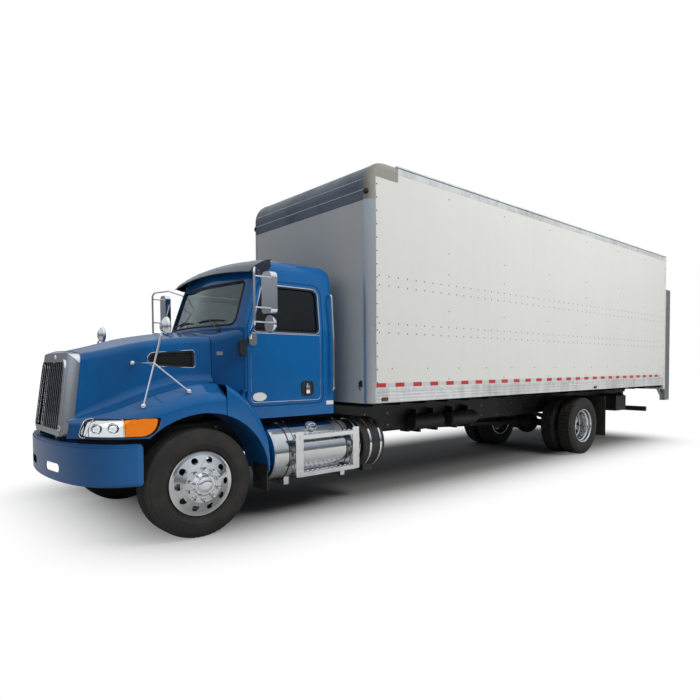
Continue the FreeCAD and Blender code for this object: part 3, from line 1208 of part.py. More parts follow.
def step_unit(front, length, tank_y, tank_z, radius):
    """Two perforated treads between end plates that stand off the tank's side."""
    x0, x1 = FRONT_AXLE_X - front, FRONT_AXLE_X - front - length
    pieces = []
    inner = tank_y + radius * 0.4
    for x in (x0, x1 + 6):
        pieces.append(prism("xz", STEP_OUT_Y - 12, STEP_OUT_Y - 4, [(x - 46, STEP_ZS[0] - 40, 12), (x + 46, STEP_ZS[0] - 40, 12),
                                                                   (x + 46, STEP_ZS[1] + 40, 12), (x - 46, STEP_ZS[1] + 40, 12)]))
        for z in STEP_ZS:
            pieces.append(box(x - 8, x, inner, STEP_OUT_Y - 6, z - 34, z))
    for z in STEP_ZS:
        tread = box(x1, x0, inner, STEP_OUT_Y, z - 8, z)
        lip = box(x1, x0, STEP_OUT_Y - 6, STEP_OUT_Y, z - 42, z)
        for i in range(STEP_HOLES):
            for j in range(2):
                hx = x1 + (i + 0.5) * length / STEP_HOLES
                tread = tread.cut(rod((hx, STEP_OUT_Y - 42 - 56 * j, z - 20), (hx, STEP_OUT_Y - 42 - 56 * j, z + 5), 13))
        pieces += [tread, lip]
    return fuse(pieces)


def tank_steps():
    """The boarding steps mounted on the fuel tank's side."""
    unit = step_unit(STEP_FRONT, STEP_LENGTH, TANK_Y, TANK_Z, TANK_R)
    space = rod((FRONT_AXLE_X - 3000, TANK_Y, TANK_Z), (FRONT_AXLE_X, TANK_Y, TANK_Z), TANK_R + SEAT_GAP)
    strap_x = FRONT_AXLE_X - TANK_FRONT - TANK_STRAPS[1]
    reach = STRAP_W / 2 + 2
    strap = rod((strap_x - reach, TANK_Y, TANK_Z), (strap_x + reach, TANK_Y, TANK_Z), TANK_R + STRAP_T + 2)
    return unit.cut(space).cut(strap)


CAN_FRONT = 1978.0
CAN_LENGTH = 345.0
CAN_STRAPS = (105.0, 262.0)


def side_can():
    """The short black tank behind the fuel tank, with its straps and bracket."""
    x0 = FRONT_AXLE_X - CAN_FRONT
    tank = dished(x0, CAN_LENGTH, TANK_Y, TANK_Z, TANK_R)
    base, lean = V(x0 - 222, TANK_Y, TANK_Z), V(0, 0.5, 0.87)
    cap = Part.makeCylinder(34, TANK_R + 34, base, lean)
    pieces = [tank, cap]
    for x in (x0 - CAN_STRAPS[0], x0 - CAN_STRAPS[1]):
        pieces.append(rod((x - 14, TANK_Y, TANK_Z), (x + 14, TANK_Y, TANK_Z), TANK_R + STRAP_T))
    pieces.append(tank_bracket(x0 - CAN_LENGTH / 2, TANK_Y, TANK_Z, TANK_R - 1, 150))
    return fuse(pieces)


BATTERY_FRONT = 860.0
BATTERY_LENGTH = 900.0


def battery_box():
    """The battery box under the right door, with its lid, two steps and brackets to the frame."""
    x0, x1 = FRONT_AXLE_X - BATTERY_FRONT, FRONT_AXLE_X - BATTERY_FRONT - BATTERY_LENGTH
    y0, y1 = -600.0, -1120.0
    case = box(x1, x0, y1, y0, 470, 900)
    lid = box(x1 - 10, x0 + 10, y1 - 10, y0 + 10, 870, 912)
    treads = [box(x1 + 40, x0 - 40, STEP_OUT_Y * -1, y1, z - 30, z) for z in (500, 895)]
    arms = [box(x - 30, x + 30, y0, -RAIL_OUT, 760, 860) for x in (x0 - 150, x1 + 150)]
    return fuse([case, lid] + treads + arms)


MUFFLER_FRONT = 1980.0
MUFFLER_LENGTH = 900.0


def exhaust():
    """The silencer slung along the right rail, with its pipe down from the engine and its tail pipe."""
    f = FRONT_AXLE_X
    y, z, r = -700.0, 640.0, 160.0
    can = dished(f - MUFFLER_FRONT, MUFFLER_LENGTH, y, z, r)
    hangers_x = (f - MUFFLER_FRONT - 180, f - MUFFLER_FRONT - MUFFLER_LENGTH + 180)
    hang = [mirrored(tank_bracket(x, -y, z, r - 1, 50)) for x in hangers_x]
    down = tube([(f - 250, -ENGINE_HALF, 650), (f - 250, -370, 650), (f - 420, -520, 690), (f - 700, -520, 690),
                 (f - 1800, -540, 660), (f - MUFFLER_FRONT - 5, y + 60, z)], 50, 80)
    tail = tube([(f - MUFFLER_FRONT - MUFFLER_LENGTH + 10, y, z), (f - 3300, y, z), (f - 3500, y - 160, z - 20),
                 (f - 3500, -1180, z - 40)], 52, 100)
    return fuse([can, down, tail] + hang)


AIR_TANKS = ((3350.0, 560.0, 790.0), (4150.0, 560.0, 790.0))


def air_tanks():
    """Two brake air reservoirs lengthways outside the left rail."""
    out = []
    for back, y, z in AIR_TANKS:
        x0 = FRONT_AXLE_X - back
        tank = dished(x0, 620, y, z, 110)
        straps = [fuse([tank_bracket(x, y, z, 109, 40)]) for x in (x0 - 130, x0 - 490)]
        out.append(fuse([tank] + straps))
    return Part.makeCompound(out)


FLAP_T = 10.0
FLAP_HOLD = 60.0               # how far a front flap is held up inside the fender's foot


def mud_flaps():
    """Rubber flaps behind the front and the rear wheels, with the rear ones' hanger bars."""
    rear_x = REAR_AXLE_X - 760
    held_z = TAIL_LOW_Z + FLAP_HOLD
    foot_x = FRONT_AXLE_X - ARCH_SETBACK - math.sqrt(ARCH_R ** 2 - (held_z - AXLE_Z) ** 2) + SEAT_GAP
    rear = fuse([box(rear_x - FLAP_T, rear_x, 560, 1230, 262, RAIL_TOP_Z + 20),
                 box(rear_x, rear_x + 36, RAIL_OUT, 1215, RAIL_TOP_Z - 30, RAIL_TOP_Z + 10)])
    front = box(foot_x, foot_x + FLAP_T, 900, FENDER_HALF - 15, 330, held_z)
    return apart(rear, mirrored(rear), front, mirrored(front))


def underride_guard():
    """The rear guard: a cross bar under two posts from the frame, with braces."""
    x = BOX_REAR_X + 380
    bar_top = 690
    out = [box(x - 50, x + 30, -1040, 1040, 590, bar_top)]
    for s in (-1, 1):
        post = box(x - 45, x + 25, s * RAIL_OUT, s * (RAIL_OUT + 80), bar_top, RAIL_TOP_Z - 10)
        brace = prism("xz", s * RAIL_OUT, s * (RAIL_OUT + 12),
                      [(x, bar_top), (x + 420, RAIL_LOW_Z + 40), (x + 420, RAIL_LOW_Z + 140), (x, bar_top + 90)])
        out.append(fuse([post, brace]))
    return Part.makeCompound(out)


def gate_pump():
    """The lift gate's pump box under the floor, hung from the rail."""
    x = BOX_REAR_X + 900
    case = box(x, x + 460, RAIL_OUT + 10, RAIL_OUT + 400, 640, 950)
    return fuse([case] + [box(x + d, x + d + 40, RAIL_OUT, RAIL_OUT + 380, 950, RAIL_TOP_Z - 10) for d in (60, 360)]
                + [box(x + d, x + d + 40, RAIL_OUT, RAIL_OUT + 12, 800, RAIL_TOP_Z - 10) for d in (60, 360)])


# Van body

def subframe():
    """Long sills on the frame rails, joists across them, and the side channels that close their ends."""
    z0, z1 = RAIL_TOP_Z, BOX_FLOOR_Z - FLOOR_BOARD
    joist_z = z1 - FLOOR_JOIST
    x_front, x_back = BOX_FRONT_X - BOX_WALL, BOX_REAR_X + REAR_FRAME_T
    pieces = []
    for s in (-1, 1):
        pieces.append(box(x_back, x_front, s * RAIL_IN, s * RAIL_OUT, z0, joist_z))
    half = BOX_HALF - BOX_WALL
    pitch = (x_front - x_back - JOIST_WIDTH) / (JOIST_COUNT - 1)
    for i in range(JOIST_COUNT):
        x = x_back + i * pitch
        web = box(x, x + JOIST_T, -half, half, joist_z, z1)
        flanges = [box(x, x + JOIST_WIDTH, -half, half, z, z + JOIST_T) for z in (joist_z, z1 - JOIST_T)]
        pieces.append(fuse([web] + flanges))
    return Part.makeCompound(pieces)


def load_floor():
    """The hardwood floor of the van body."""
    half = BOX_HALF - BOX_WALL
    return box(BOX_REAR_X + REAR_FRAME_T, BOX_FRONT_X - BOX_WALL, -half, half, BOX_FLOOR_Z - FLOOR_BOARD, BOX_FLOOR_Z)


CORNER_W = 108.0
NOSE_CORNER_R = 292.0
CAP_LOW_Z = BOX_TOP_Z - CORNER_W - 90


def side_wall():
    """The left side: a panel with shallow seam battens, between its rails and corner caps."""
    x0, x1 = BOX_REAR_X + REAR_FRAME_T, BOX_FRONT_X - CORNER_W
    z0, z1 = BOX_BOTTOM_Z + BOTTOM_RAIL_H, BOX_TOP_Z - CORNER_W
    panel = box(x0, x1, BOX_HALF - BOX_WALL, BOX_HALF - 4, z0, z1)
    return panel.cut(box(BOX_FRONT_X - NOSE_R, x1 + 1, 0, BOX_HALF, CAP_LOW_Z, z1 + 1))


def bottom_rails():
    """The extruded rails along both sides' lower edges, ribbed lengthways."""
    x0, x1 = BOX_REAR_X + REAR_FRAME_T, BOX_FRONT_X - POST_R
    z0, z1 = BOX_BOTTOM_Z, BOX_BOTTOM_Z + BOTTOM_RAIL_H
    y = BOX_HALF
    profile = [(y - BOX_WALL, z0), (y - 3, z0), (y, z0 + 3)]
    ribs = 3
    for i in range(ribs):
        zi = z0 + 24 + i * 40
        profile += [(y, zi), (y - 4, zi + 4), (y - 4, zi + 22), (y, zi + 26)]
    profile += [(y, z1 - 14), (y - 4, z1), (y - BOX_WALL, z1)]
    return pair(prism("yz", x0, x1, profile))


def top_rails():
    """The rails along the roof's side edges, that turn down round the front corners."""
    x0 = BOX_REAR_X + REAR_FRAME_T
    x1 = BOX_FRONT_X - NOSE_R
    y, z = BOX_HALF, BOX_TOP_Z
    profile = [(y - BOX_WALL, z - CORNER_W), (y - 4, z - CORNER_W), (y, z - CORNER_W + 6), (y, z - 40), (y - 5, z - 34),
               (y - 5, z - 22), (y, z - 18), (y - 14, z), (y - BOX_WALL, z - 2)]
    return pair(prism("yz", x0, x1, profile))


def nose_section(setback):
    """The van body's front edge from the side: upright, then a quarter-round into the roof."""
    return [(BOX_FRONT_X - NOSE_R - 60, NOSE_LOW_Z), (BOX_FRONT_X - setback, NOSE_LOW_Z),
            (BOX_FRONT_X - setback, BOX_TOP_Z - setback, NOSE_CORNER_R - setback * 0.6),
            (BOX_FRONT_X - NOSE_R - 60, BOX_TOP_Z - setback)]


NOSE_LOW_Z = BOX_TOP_Z - NOSE_R


def front_nose():
    """The rounded sheet between the front wall and the roof, from corner cap to corner cap."""
    half = BOX_HALF - POST_R
    outer = prism("xz", -half, half, nose_section(4))
    inner = prism("xz", -half - 1, half + 1, [(c[0] - 1,) + (c[1] - 1,) + tuple(c[2:]) if c[1] == NOSE_LOW_Z else c
                                              for c in nose_section(34)])
    sheet = outer.cut(inner)
    return sheet.common(box(BOX_FRONT_X - NOSE_R, BOX_FRONT_X + 5, -half, half, NOSE_LOW_Z, BOX_TOP_Z + 5))


def nose_caps():
    """Cast caps at both upper front corners, rounded both ways."""
    def solid(t):
        r = max(POST_R - t, 4)
        body = prism("xz", BOX_HALF - POST_R, BOX_HALF - t,
                     [(BOX_FRONT_X - NOSE_R - (0 if t == 0 else 1), NOSE_LOW_Z - (0 if t == 0 else 1)),
                      (BOX_FRONT_X - t, NOSE_LOW_Z - (0 if t == 0 else 1)),
                      (BOX_FRONT_X - t, BOX_TOP_Z - t, NOSE_CORNER_R - t), (BOX_FRONT_X - NOSE_R - (0 if t == 0 else 1), BOX_TOP_Z - t)])
        rim = [e for e in body.Edges if abs(e.BoundBox.YMin - (BOX_HALF - t)) < 1e-3 and e.BoundBox.YLength < 1e-3
               and (e.BoundBox.XMax > BOX_FRONT_X - t - 1 and e.BoundBox.ZLength > 30
                    or e.BoundBox.ZMin > BOX_TOP_Z - t - 1 and e.BoundBox.XLength > 30)]
        return body.makeFillet(r - 4, rim)
    cap = solid(0).cut(solid(30))
    cap = cap.cut(box(BOX_FRONT_X - NOSE_R - 5, BOX_FRONT_X - CORNER_W, BOX_HALF - BOX_WALL, BOX_HALF + 1,
                      NOSE_LOW_Z - 5, CAP_LOW_Z))
    return pair(cap)


def corner_posts():
    """Quarter-round posts up both front corners to the cast caps."""
    y = BOX_HALF
    outer = prism("xy", BOX_BOTTOM_Z, NOSE_LOW_Z, [(BOX_FRONT_X - CORNER_W, y - BOX_WALL), (BOX_FRONT_X - CORNER_W, y),
                                                    (BOX_FRONT_X, y, POST_R - 6), (BOX_FRONT_X, y - POST_R),
                                                    (BOX_FRONT_X - BOX_WALL, y - POST_R), (BOX_FRONT_X - BOX_WALL, y - BOX_WALL)])
    rail_end = box(BOX_FRONT_X - CORNER_W - 5, BOX_FRONT_X - POST_R, y - BOX_WALL - 1, y + 1, BOX_BOTTOM_Z, BOX_BOTTOM_Z + BOTTOM_RAIL_H)
    return pair(outer.cut(rail_end))


def front_wall():
    """The flat front wall with its lower rail, between the corner posts."""
    half = BOX_HALF - POST_R
    x = BOX_FRONT_X
    panel = box(x - BOX_WALL, x - 6, -half, half, BOX_BOTTOM_Z + 175, NOSE_LOW_Z)
    rail = prism("xz", -half, half, [(x - BOX_WALL, BOX_BOTTOM_Z), (x, BOX_BOTTOM_Z), (x, BOX_BOTTOM_Z + 168), (x - 6, BOX_BOTTOM_Z + 175),
                                     (x - BOX_WALL, BOX_BOTTOM_Z + 175)])
    return fuse([panel, rail])


ROOF_T = 22.0
ROOF_BOW_PITCH = 610.0


def roof():
    """The roof sheet with the bows under it."""
    half = BOX_HALF - BOX_WALL
    x0, x1 = BOX_REAR_X + REAR_FRAME_T, BOX_FRONT_X - NOSE_R
    top = BOX_TOP_Z - 8
    pieces = [box(x0, x1, -half, half, top - ROOF_T, top)]
    count = int((x1 - x0) / ROOF_BOW_PITCH)
    for i in range(1, count + 1):
        x = x0 + i * (x1 - x0) / (count + 1)
        pieces.append(box(x - 20, x + 20, -half, half, top - ROOF_T - 34, top - ROOF_T))
    return fuse(pieces)


REAR_SILL_H = 175.0


def rear_frame():
    """The steel frame round the rear opening: two posts, a header and a sill."""
    x0, x1 = BOX_REAR_X, BOX_REAR_X + REAR_FRAME_T
    y, w = BOX_HALF, REAR_POST_W
    posts = [box(x0, x1, s * (y - w), s * y, BOX_BOTTOM_Z, BOX_TOP_Z) for s in (-1, 1)]
    header = box(x0, x1, -y, y, BOX_TOP_Z - REAR_HEADER_H, BOX_TOP_Z)
    sill = box(x0, x1, -y, y, BOX_FLOOR_Z - REAR_SILL_H, BOX_FLOOR_Z)
    return fuse(posts + [header, sill])


def roll_door():
    """The roll-up rear door, closed: hinged horizontal panels with a handle on the lowest."""
    half = BOX_HALF - REAR_POST_W
    z0, z1 = BOX_FLOOR_Z, BOX_TOP_Z - REAR_HEADER_H
    pitch = (z1 - z0) / DOOR_PANEL_COUNT
    x = BOX_REAR_X + 22
    pieces = [box(x, x + DOOR_PANEL_T - 6, -half, half, z0, z1)]
    for i in range(DOOR_PANEL_COUNT):
        pieces.append(box(x - 6, x, -half, half, z0 + i * pitch + 4, z0 + (i + 1) * pitch - 4))
    handle = box(x - 20, x, -90, 90, z0 + 120, z0 + 190)
    return fuse(pieces + [handle])


MARKER_SPOTS = ((BOX_FRONT_X - 240, 1), (BOX_FRONT_X - 5380, 1), (BOX_FRONT_X - 240, -1), (BOX_FRONT_X - 5380, -1))


def side_lamps():
    """Small marker lamps on the bottom rails, and the rear lamps in the sill and header."""
    out = []
    z = BOX_BOTTOM_Z + 44
    for x, s in MARKER_SPOTS:
        out.append(rod((x, s * BOX_HALF, z), (x, s * (BOX_HALF + 16), z), 26))
    x = BOX_REAR_X
    for s in (-1, 1):
        for y in (700, 860):
            out.append(rod((x - 14, s * y, BOX_FLOOR_Z - 85), (x, s * y, BOX_FLOOR_Z - 85), 52))
    for y in (-160, 0, 160):
        out.append(rod((x - 12, y, BOX_TOP_Z - 90), (x, y, BOX_TOP_Z - 90), 30))
    return Part.makeCompound(out)


# Lift gate

GATE_PIVOT_Z = 1200.0
GATE_DROP = 1140.0
GATE_CLEAR = 5.5
GATE_X0 = BOX_REAR_X - GATE_MOUNT
GATE_X1 = GATE_X0 - GATE_COLUMN_D
GATE_MID_X = (GATE_X0 + GATE_X1) / 2


def gate_column():
    """The left column: a channel open inward, with mounts to the rear post and a foot brace."""
    y1, y0 = GATE_COLUMN_Y, GATE_COLUMN_Y - GATE_COLUMN_W
    t = GATE_COLUMN_T
    body = box(GATE_X1, GATE_X0, y0, y1, GATE_LOW_Z, GATE_TOP_Z)
    body = body.cut(box(GATE_X1 + t, GATE_X0 - t, y0 - 1, y1 - t, GATE_LOW_Z - 1, GATE_TOP_Z - t))
    mounts = [box(GATE_X0, BOX_REAR_X, y0 + 10, y1 - 10, z, z + h) for z, h in ((1215, 620), (2250, 160), (3080, 160))]
    spine = box(GATE_X0, GATE_X0 + 28, y0 + 6, y1 - 6, 1215, GATE_TOP_Z)
    joist_low = BOX_FLOOR_Z - FLOOR_BOARD - FLOOR_JOIST
    brace = prism("xz", y0 + 40, y0 + 52, [(GATE_X0, GATE_LOW_Z), (BOX_REAR_X + 250, joist_low),
                                           (BOX_REAR_X + 130, joist_low), (GATE_X0, GATE_LOW_Z + 115)])
    return fuse([body, spine, brace] + mounts)


def gate_frame():
    """Both columns of the lift gate."""
    return pair(gate_column())


RUNNER_D = 150.0
RUNNER_W = 70.0


def gate_runners():
    """The sliding runners in the columns, joined by a beam, with the platform's pins."""
    y1 = GATE_COLUMN_Y - GATE_COLUMN_T - GATE_CLEAR
    y0 = y1 - GATE_COLUMN_W + GATE_COLUMN_T + GATE_CLEAR - 26
    left = []
    left.append(box(GATE_MID_X - RUNNER_D / 2, GATE_MID_X + RUNNER_D / 2, y1 - RUNNER_W, y1, GATE_PIVOT_Z - 45, GATE_RUNNER_TOP))
    left.append(box(GATE_MID_X - 30, GATE_MID_X + 30, y0, y1 - RUNNER_W, GATE_PIVOT_Z - 45, GATE_PIVOT_Z + 60))
    for z in (GATE_RUNNER_TOP - 30, GATE_RUNNER_TOP - 300):
        left.append(box(GATE_MID_X - 40, GATE_MID_X + 40, y1, y1 + GATE_CLEAR - SEAT_GAP, z - 90, z))
    pin = rod((GATE_MID_X, GATE_PLATFORM_HALF - 70, GATE_PIVOT_Z), (GATE_MID_X, y1 - 20, GATE_PIVOT_Z), GATE_PIN_R)
    side = fuse(left + [pin])
    return [side, mirrored(side)]


GATE_PLATFORM_HALF = 1108.0


def gate_beam():
    """The torsion beam that joins the runners in front of the platform."""
    y = GATE_COLUMN_Y - GATE_COLUMN_T - GATE_CLEAR - RUNNER_W
    x = GATE_MID_X + GATE_PLATE_T / 2 + GATE_CLEAR
    return box(x, x + 40, -y - 4, y + 4, GATE_PIVOT_Z + 70, GATE_PIVOT_Z + 150)


def gate_slide():
    """The whole sliding part of the lift gate."""
    return fuse(gate_runners() + [gate_beam()])


def gate_platform():
    """The folded platform: a framed deck with ribs, hinge ears and a tapered outer edge."""
    x, half, t = GATE_MID_X, GATE_PLATFORM_HALF, GATE_PLATE_T
    z0, z1 = GATE_PIVOT_Z, GATE_PIVOT_Z + GATE_PLATFORM
    deck = prism("xz", -half, half, [(x - t / 2, z0 + 26), (x - t / 2 + 6, z0 + 26), (x - t / 2 + 6, z1 - 2), (x - t / 2, z1)])
    edge = prism("xz", -half, half, [(x - t / 2, z1 - 260), (x + t / 2, z1 - 260), (x - t / 2 + 6, z1)])
    ribs = [box(x - t / 2, x + t / 2, y - 20, y + 20, z0 + 30, z1 - 240) for y in
            [-half + 20 + i * (2 * half - 40) / 6 for i in range(7)]]
    cross = [box(x - t / 2, x + t / 2, -half, half, z, z + 50) for z in (z0 + 30, z0 + 620)]
    ears = []
    for s in (-1, 1):
        a = s * (half - 40)
        ears.append(rod((x, a - 40 * s, z0), (x, a + 40 * s, z0), 22))
        ears.append(box(x - 22, x + 22, a - 40, a + 40, z0, z0 + 60))
    plate = fuse([deck, edge] + ribs + cross + ears)
    return plate.cut(rod((x, -half - 10, z0), (x, half + 10, z0), GATE_PIN_R + SHAFT_PLAY))


def export(name, shape):
    """One STEP file per sub-part."""
    shape.exportStep("parts/%s.step" % name)


def wheel_sets():
    """The four wheel positions: name, shape maker and tyres."""
    front = front_wheel()
    rear = rear_wheels()
    rear_tyres = Part.makeCompound([tyre(REAR_PAIR_Y + s * TWIN_OFFSET, REAR_AXLE_X) for s in (1, -1)])
    front_tyre = tyre(FRONT_TYRE_Y, FRONT_AXLE_X)
    return {"wheel_front_left": front, "wheel_front_right": mirrored(front),
            "wheels_rear_left": rear, "wheels_rear_right": mirrored(rear),
            "tyre_front_left": front_tyre, "tyre_front_right": mirrored(front_tyre),
            "tyres_rear_left": rear_tyres, "tyres_rear_right": mirrored(rear_tyres)}


def apart(*shapes):
    """Solids that stay apart in one sub-part."""
    return Part.makeCompound([solid for shape in shapes for solid in shape.Solids])


def truck():
    """Every sub-part by name."""
    shapes = {
        "frame": frame(), "engine_block": engine(), "radiator": radiator(),
        "driveshaft": driveshaft(), "front_axle": front_axle(), "rear_axle": rear_axle(),
        "leaf_springs": leaf_springs(), "knuckle_left": knuckle(), "knuckle_right": mirrored(knuckle()),
        "tie_rod": tie_rod(), "bumper": bumper(), "hood_shell": hood_shell(),
        "grille_surround": grille_surround(), "grille_bars": grille_bars(), "headlamps": headlamps(),
        "intake_panels": intake_panels(), "hood_mirrors": hood_mirrors(),
        "cab_shell": cab_shell(), "cowl": fuse([cowl()] + fender_tails().Solids + door_hinges().Solids),
        "sun_visor": visor(), "cab_glass": apart(screen_glass(), rear_glass()),
        "dashboard": fuse([cab_interior()] + steering_wheel().Solids), "seats": seats(),
        "grab_handles": grab_handle(), "door_left": door_panel(), "door_right": mirrored(door_panel()),
        "door_glass_left": door_glass(), "door_glass_right": mirrored(door_glass()),
        "mirror_left": door_mirror(), "mirror_right": mirrored(door_mirror()),
        "fuel_tank": fuel_tank(), "tank_mounts": apart(tank_straps(), tank_steps()),
        "battery_box": battery_box(), "exhaust": exhaust(), "air_tanks": apart(air_tanks(), side_can()),
        "mud_flaps": mud_flaps(), "underride_guard": underride_guard(), "gate_pump": gate_pump(),
        "subframe": subframe(), "load_floor": load_floor(), "body_walls": apart(pair(side_wall()), front_wall()),
        "body_rails": apart(bottom_rails(), top_rails()), "nose_sheet": front_nose(),
        "corner_posts": pair(fuse([corner_posts().Solids[0], nose_caps().Solids[0]])), "roof": roof(),
        "rear_frame": rear_frame(), "roll_door": roll_door(), "marker_lamps": apart(side_lamps(), roof_lamps()),
        "gate_columns": gate_frame(), "gate_slide": gate_slide(), "gate_platform": gate_platform()}
    shapes.update(wheel_sets())
    return shapes


if __name__ == "__main__":
    os.makedirs("parts", exist_ok=True)
    for name, shape in truck().items():
        export(name, shape)
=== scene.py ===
import json
import math

import bmesh
import bpy
from bpy.props import FloatProperty, FloatVectorProperty, IntProperty, PointerProperty
from mathutils import Matrix, Vector
from mathutils.bvhtree import BVHTree


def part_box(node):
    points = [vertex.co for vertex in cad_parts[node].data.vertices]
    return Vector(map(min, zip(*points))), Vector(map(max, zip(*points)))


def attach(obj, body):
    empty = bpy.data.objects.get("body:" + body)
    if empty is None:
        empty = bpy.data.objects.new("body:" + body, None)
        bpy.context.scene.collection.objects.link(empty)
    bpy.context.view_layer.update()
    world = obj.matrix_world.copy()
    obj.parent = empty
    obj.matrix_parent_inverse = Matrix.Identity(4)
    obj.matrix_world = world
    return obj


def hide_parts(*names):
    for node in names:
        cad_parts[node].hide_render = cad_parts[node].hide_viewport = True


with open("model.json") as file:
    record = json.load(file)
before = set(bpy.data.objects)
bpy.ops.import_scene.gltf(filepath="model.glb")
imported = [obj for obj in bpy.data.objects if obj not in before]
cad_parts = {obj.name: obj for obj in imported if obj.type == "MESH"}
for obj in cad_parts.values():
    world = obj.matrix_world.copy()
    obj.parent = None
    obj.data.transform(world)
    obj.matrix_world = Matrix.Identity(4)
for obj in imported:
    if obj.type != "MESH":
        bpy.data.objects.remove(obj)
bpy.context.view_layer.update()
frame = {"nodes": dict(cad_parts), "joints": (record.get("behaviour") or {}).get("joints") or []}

bl_info = {
    "name": "Box Truck Finish",
    "version": (1, 0, 0),
    "blender": (4, 5, 0),
    "location": "View3D > Sidebar > Box Truck",
    "description": "Finishes, small hardware and studio for a bonneted box truck",
    "category": "Object",
}

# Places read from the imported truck, in metres
NODES = frame["nodes"]
JOINTS = {joint["name"]: joint for joint in frame["joints"]}
FRONT_AXLE = Vector(JOINTS["front_left_roll"]["pos_m"])
REAR_AXLE = Vector(JOINTS["rear_left_roll"]["pos_m"])
FX = FRONT_AXLE.x
AXLE_Z = FRONT_AXLE.z
RAIL_LOW, RAIL_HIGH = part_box("body_rails")
REAR_LOW, REAR_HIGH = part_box("rear_frame")
NOSE_LOW, NOSE_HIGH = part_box("nose_sheet")
BOX_HALF = RAIL_HIGH.y
BOX_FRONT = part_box("corner_posts")[1].x
BOX_REAR = REAR_LOW.x
BOX_TOP = RAIL_HIGH.z
FRONT_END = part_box("bumper")[1].x
SIDES = (1, -1)
SIDE_NAME = {1: "left", -1: "right"}

# Cab side: upright to the belt, then leaning in
CAB_HALF = 0.950
CAB_BELT = 1.990
CAB_EAVE = 2.590
CAB_TUMBLE = 0.065
CAB_BACK = 1.750               # front axle back to the cab's rear wall


# Settings that a user would change

class TruckSizes(bpy.types.PropertyGroup):
    """Sizes of the small hardware."""
    tread_depth: FloatProperty(name="Tread depth", description="Depth of the tyre grooves", default=0.013,
                               unit="LENGTH")
    rivet_radius: FloatProperty(name="Rivet radius", description="Radius of a wall rivet's head",
                                default=0.0095, unit="LENGTH")
    rivet_pitch: FloatProperty(name="Rivet pitch", description="Distance between rivets in a track row",
                               default=0.1524, unit="LENGTH")
    tape_period: FloatProperty(name="Tape period", description="Length of one red or white block of tape",
                               default=0.1524, unit="LENGTH")
    tape_width: FloatProperty(name="Tape width", description="Width of the reflective tape", default=0.050,
                              unit="LENGTH")
    nut_count: IntProperty(name="Wheel nuts", description="Nuts round each hub", default=10)
    nut_circle: FloatProperty(name="Nut circle", description="Radius of the wheel nuts' circle",
                              default=0.1429, unit="LENGTH")
    trim_radius: FloatProperty(name="Trim radius", description="Radius of the bright trim line",
                               default=0.0035, unit="LENGTH")


class TruckColours(bpy.types.PropertyGroup):
    """Colours of the finishes, as linear values."""
    blue: FloatVectorProperty(name="Cab blue", description="Enamel of cab, hood and bumper", subtype="COLOR",
                              default=(0.0, 0.112, 0.345))
    white: FloatVectorProperty(name="Wall white", description="Paint of the van body's walls",
                               subtype="COLOR", default=(0.68, 0.68, 0.655))
    amber: FloatVectorProperty(name="Amber", description="Turn and marker lenses", subtype="COLOR",
                               default=(0.82, 0.20, 0.008))
    red: FloatVectorProperty(name="Red", description="Tail lenses and tape", subtype="COLOR",
                             default=(0.42, 0.012, 0.012))
    dust: FloatVectorProperty(name="Road dust", description="Dust low on the bodywork", subtype="COLOR",
                              default=(0.20, 0.17, 0.13))


def sizes():
    return bpy.context.scene.truck_sizes


def colours():
    return bpy.context.scene.truck_colours


# Node trees

OUTPUT_KINDS = {"Mask": "NodeSocketFloat", "Normal": "NodeSocketVector"}
EVEN = (1.0, 1.0, 1.0)


def node(tree, kind, values=None, **settings):
    """A shader node with its settings and its unlinked inputs' values."""
    made = tree.nodes.new(kind)
    for key, value in settings.items():
        setattr(made, key, value)
    for key, value in (values or {}).items():
        made.inputs[key].default_value = value
    return made


def link(tree, source, target):
    tree.links.new(source, target)


def put(tree, value, socket):
    """Fills a socket from another one, or with a plain value."""
    if hasattr(value, "is_output"):
        link(tree, value, socket)
    else:
        socket.default_value = value


def maths(tree, operation, first, second, clamp=False):
    """One operation on two numbers or sockets."""
    made = node(tree, "ShaderNodeMath", operation=operation, use_clamp=clamp)
    put(tree, first, made.inputs[0])
    put(tree, second, made.inputs[1])
    return made.outputs[0]


def ranged(tree, value, low, high):
    """A value stretched so that low comes to nought and high to one."""
    made = node(tree, "ShaderNodeMapRange")
    link(tree, value, made.inputs["Value"])
    put(tree, low, made.inputs["From Min"])
    put(tree, high, made.inputs["From Max"])
    return made.outputs[0]


def span(tree, mask, low, high):
    """A mask turned into a range of values."""
    made = node(tree, "ShaderNodeMapRange", {"To Min": low, "To Max": high})
    link(tree, mask, made.inputs["Value"])
    return made.outputs[0]


def bumped(tree, height, distance, strength=1.0):
    """The normal of a surface that is raised by a height."""
    made = node(tree, "ShaderNodeBump", {"Strength": strength})
    put(tree, distance, made.inputs["Distance"])
    link(tree, height, made.inputs["Height"])
    return made.outputs["Normal"]


def textured(tree, kind, values=None, **settings):
    """A texture laid in the piece's own coordinates."""
    made = node(tree, kind, values, **settings)
    link(tree, node(tree, "ShaderNodeTexCoord").outputs["Object"], made.inputs["Vector"])
    return made


def axes(tree, space="Object"):
    """The X, Y and Z of a point, each as a socket."""
    split = node(tree, "ShaderNodeSeparateXYZ")
    link(tree, node(tree, "ShaderNodeTexCoord").outputs[space], split.inputs[0])
    return split.outputs


def stretched_noise(tree, scale, stretch, detail, roughness):
    """Noise in the piece's own coordinates, stretched along its axes."""
    mapping = textured(tree, "ShaderNodeMapping", {"Scale": stretch})
    noise = node(tree, "ShaderNodeTexNoise", {"Detail": detail, "Roughness": roughness})
    put(tree, scale, noise.inputs["Scale"])
    link(tree, mapping.outputs["Vector"], noise.inputs["Vector"])
    return noise.outputs["Fac"]


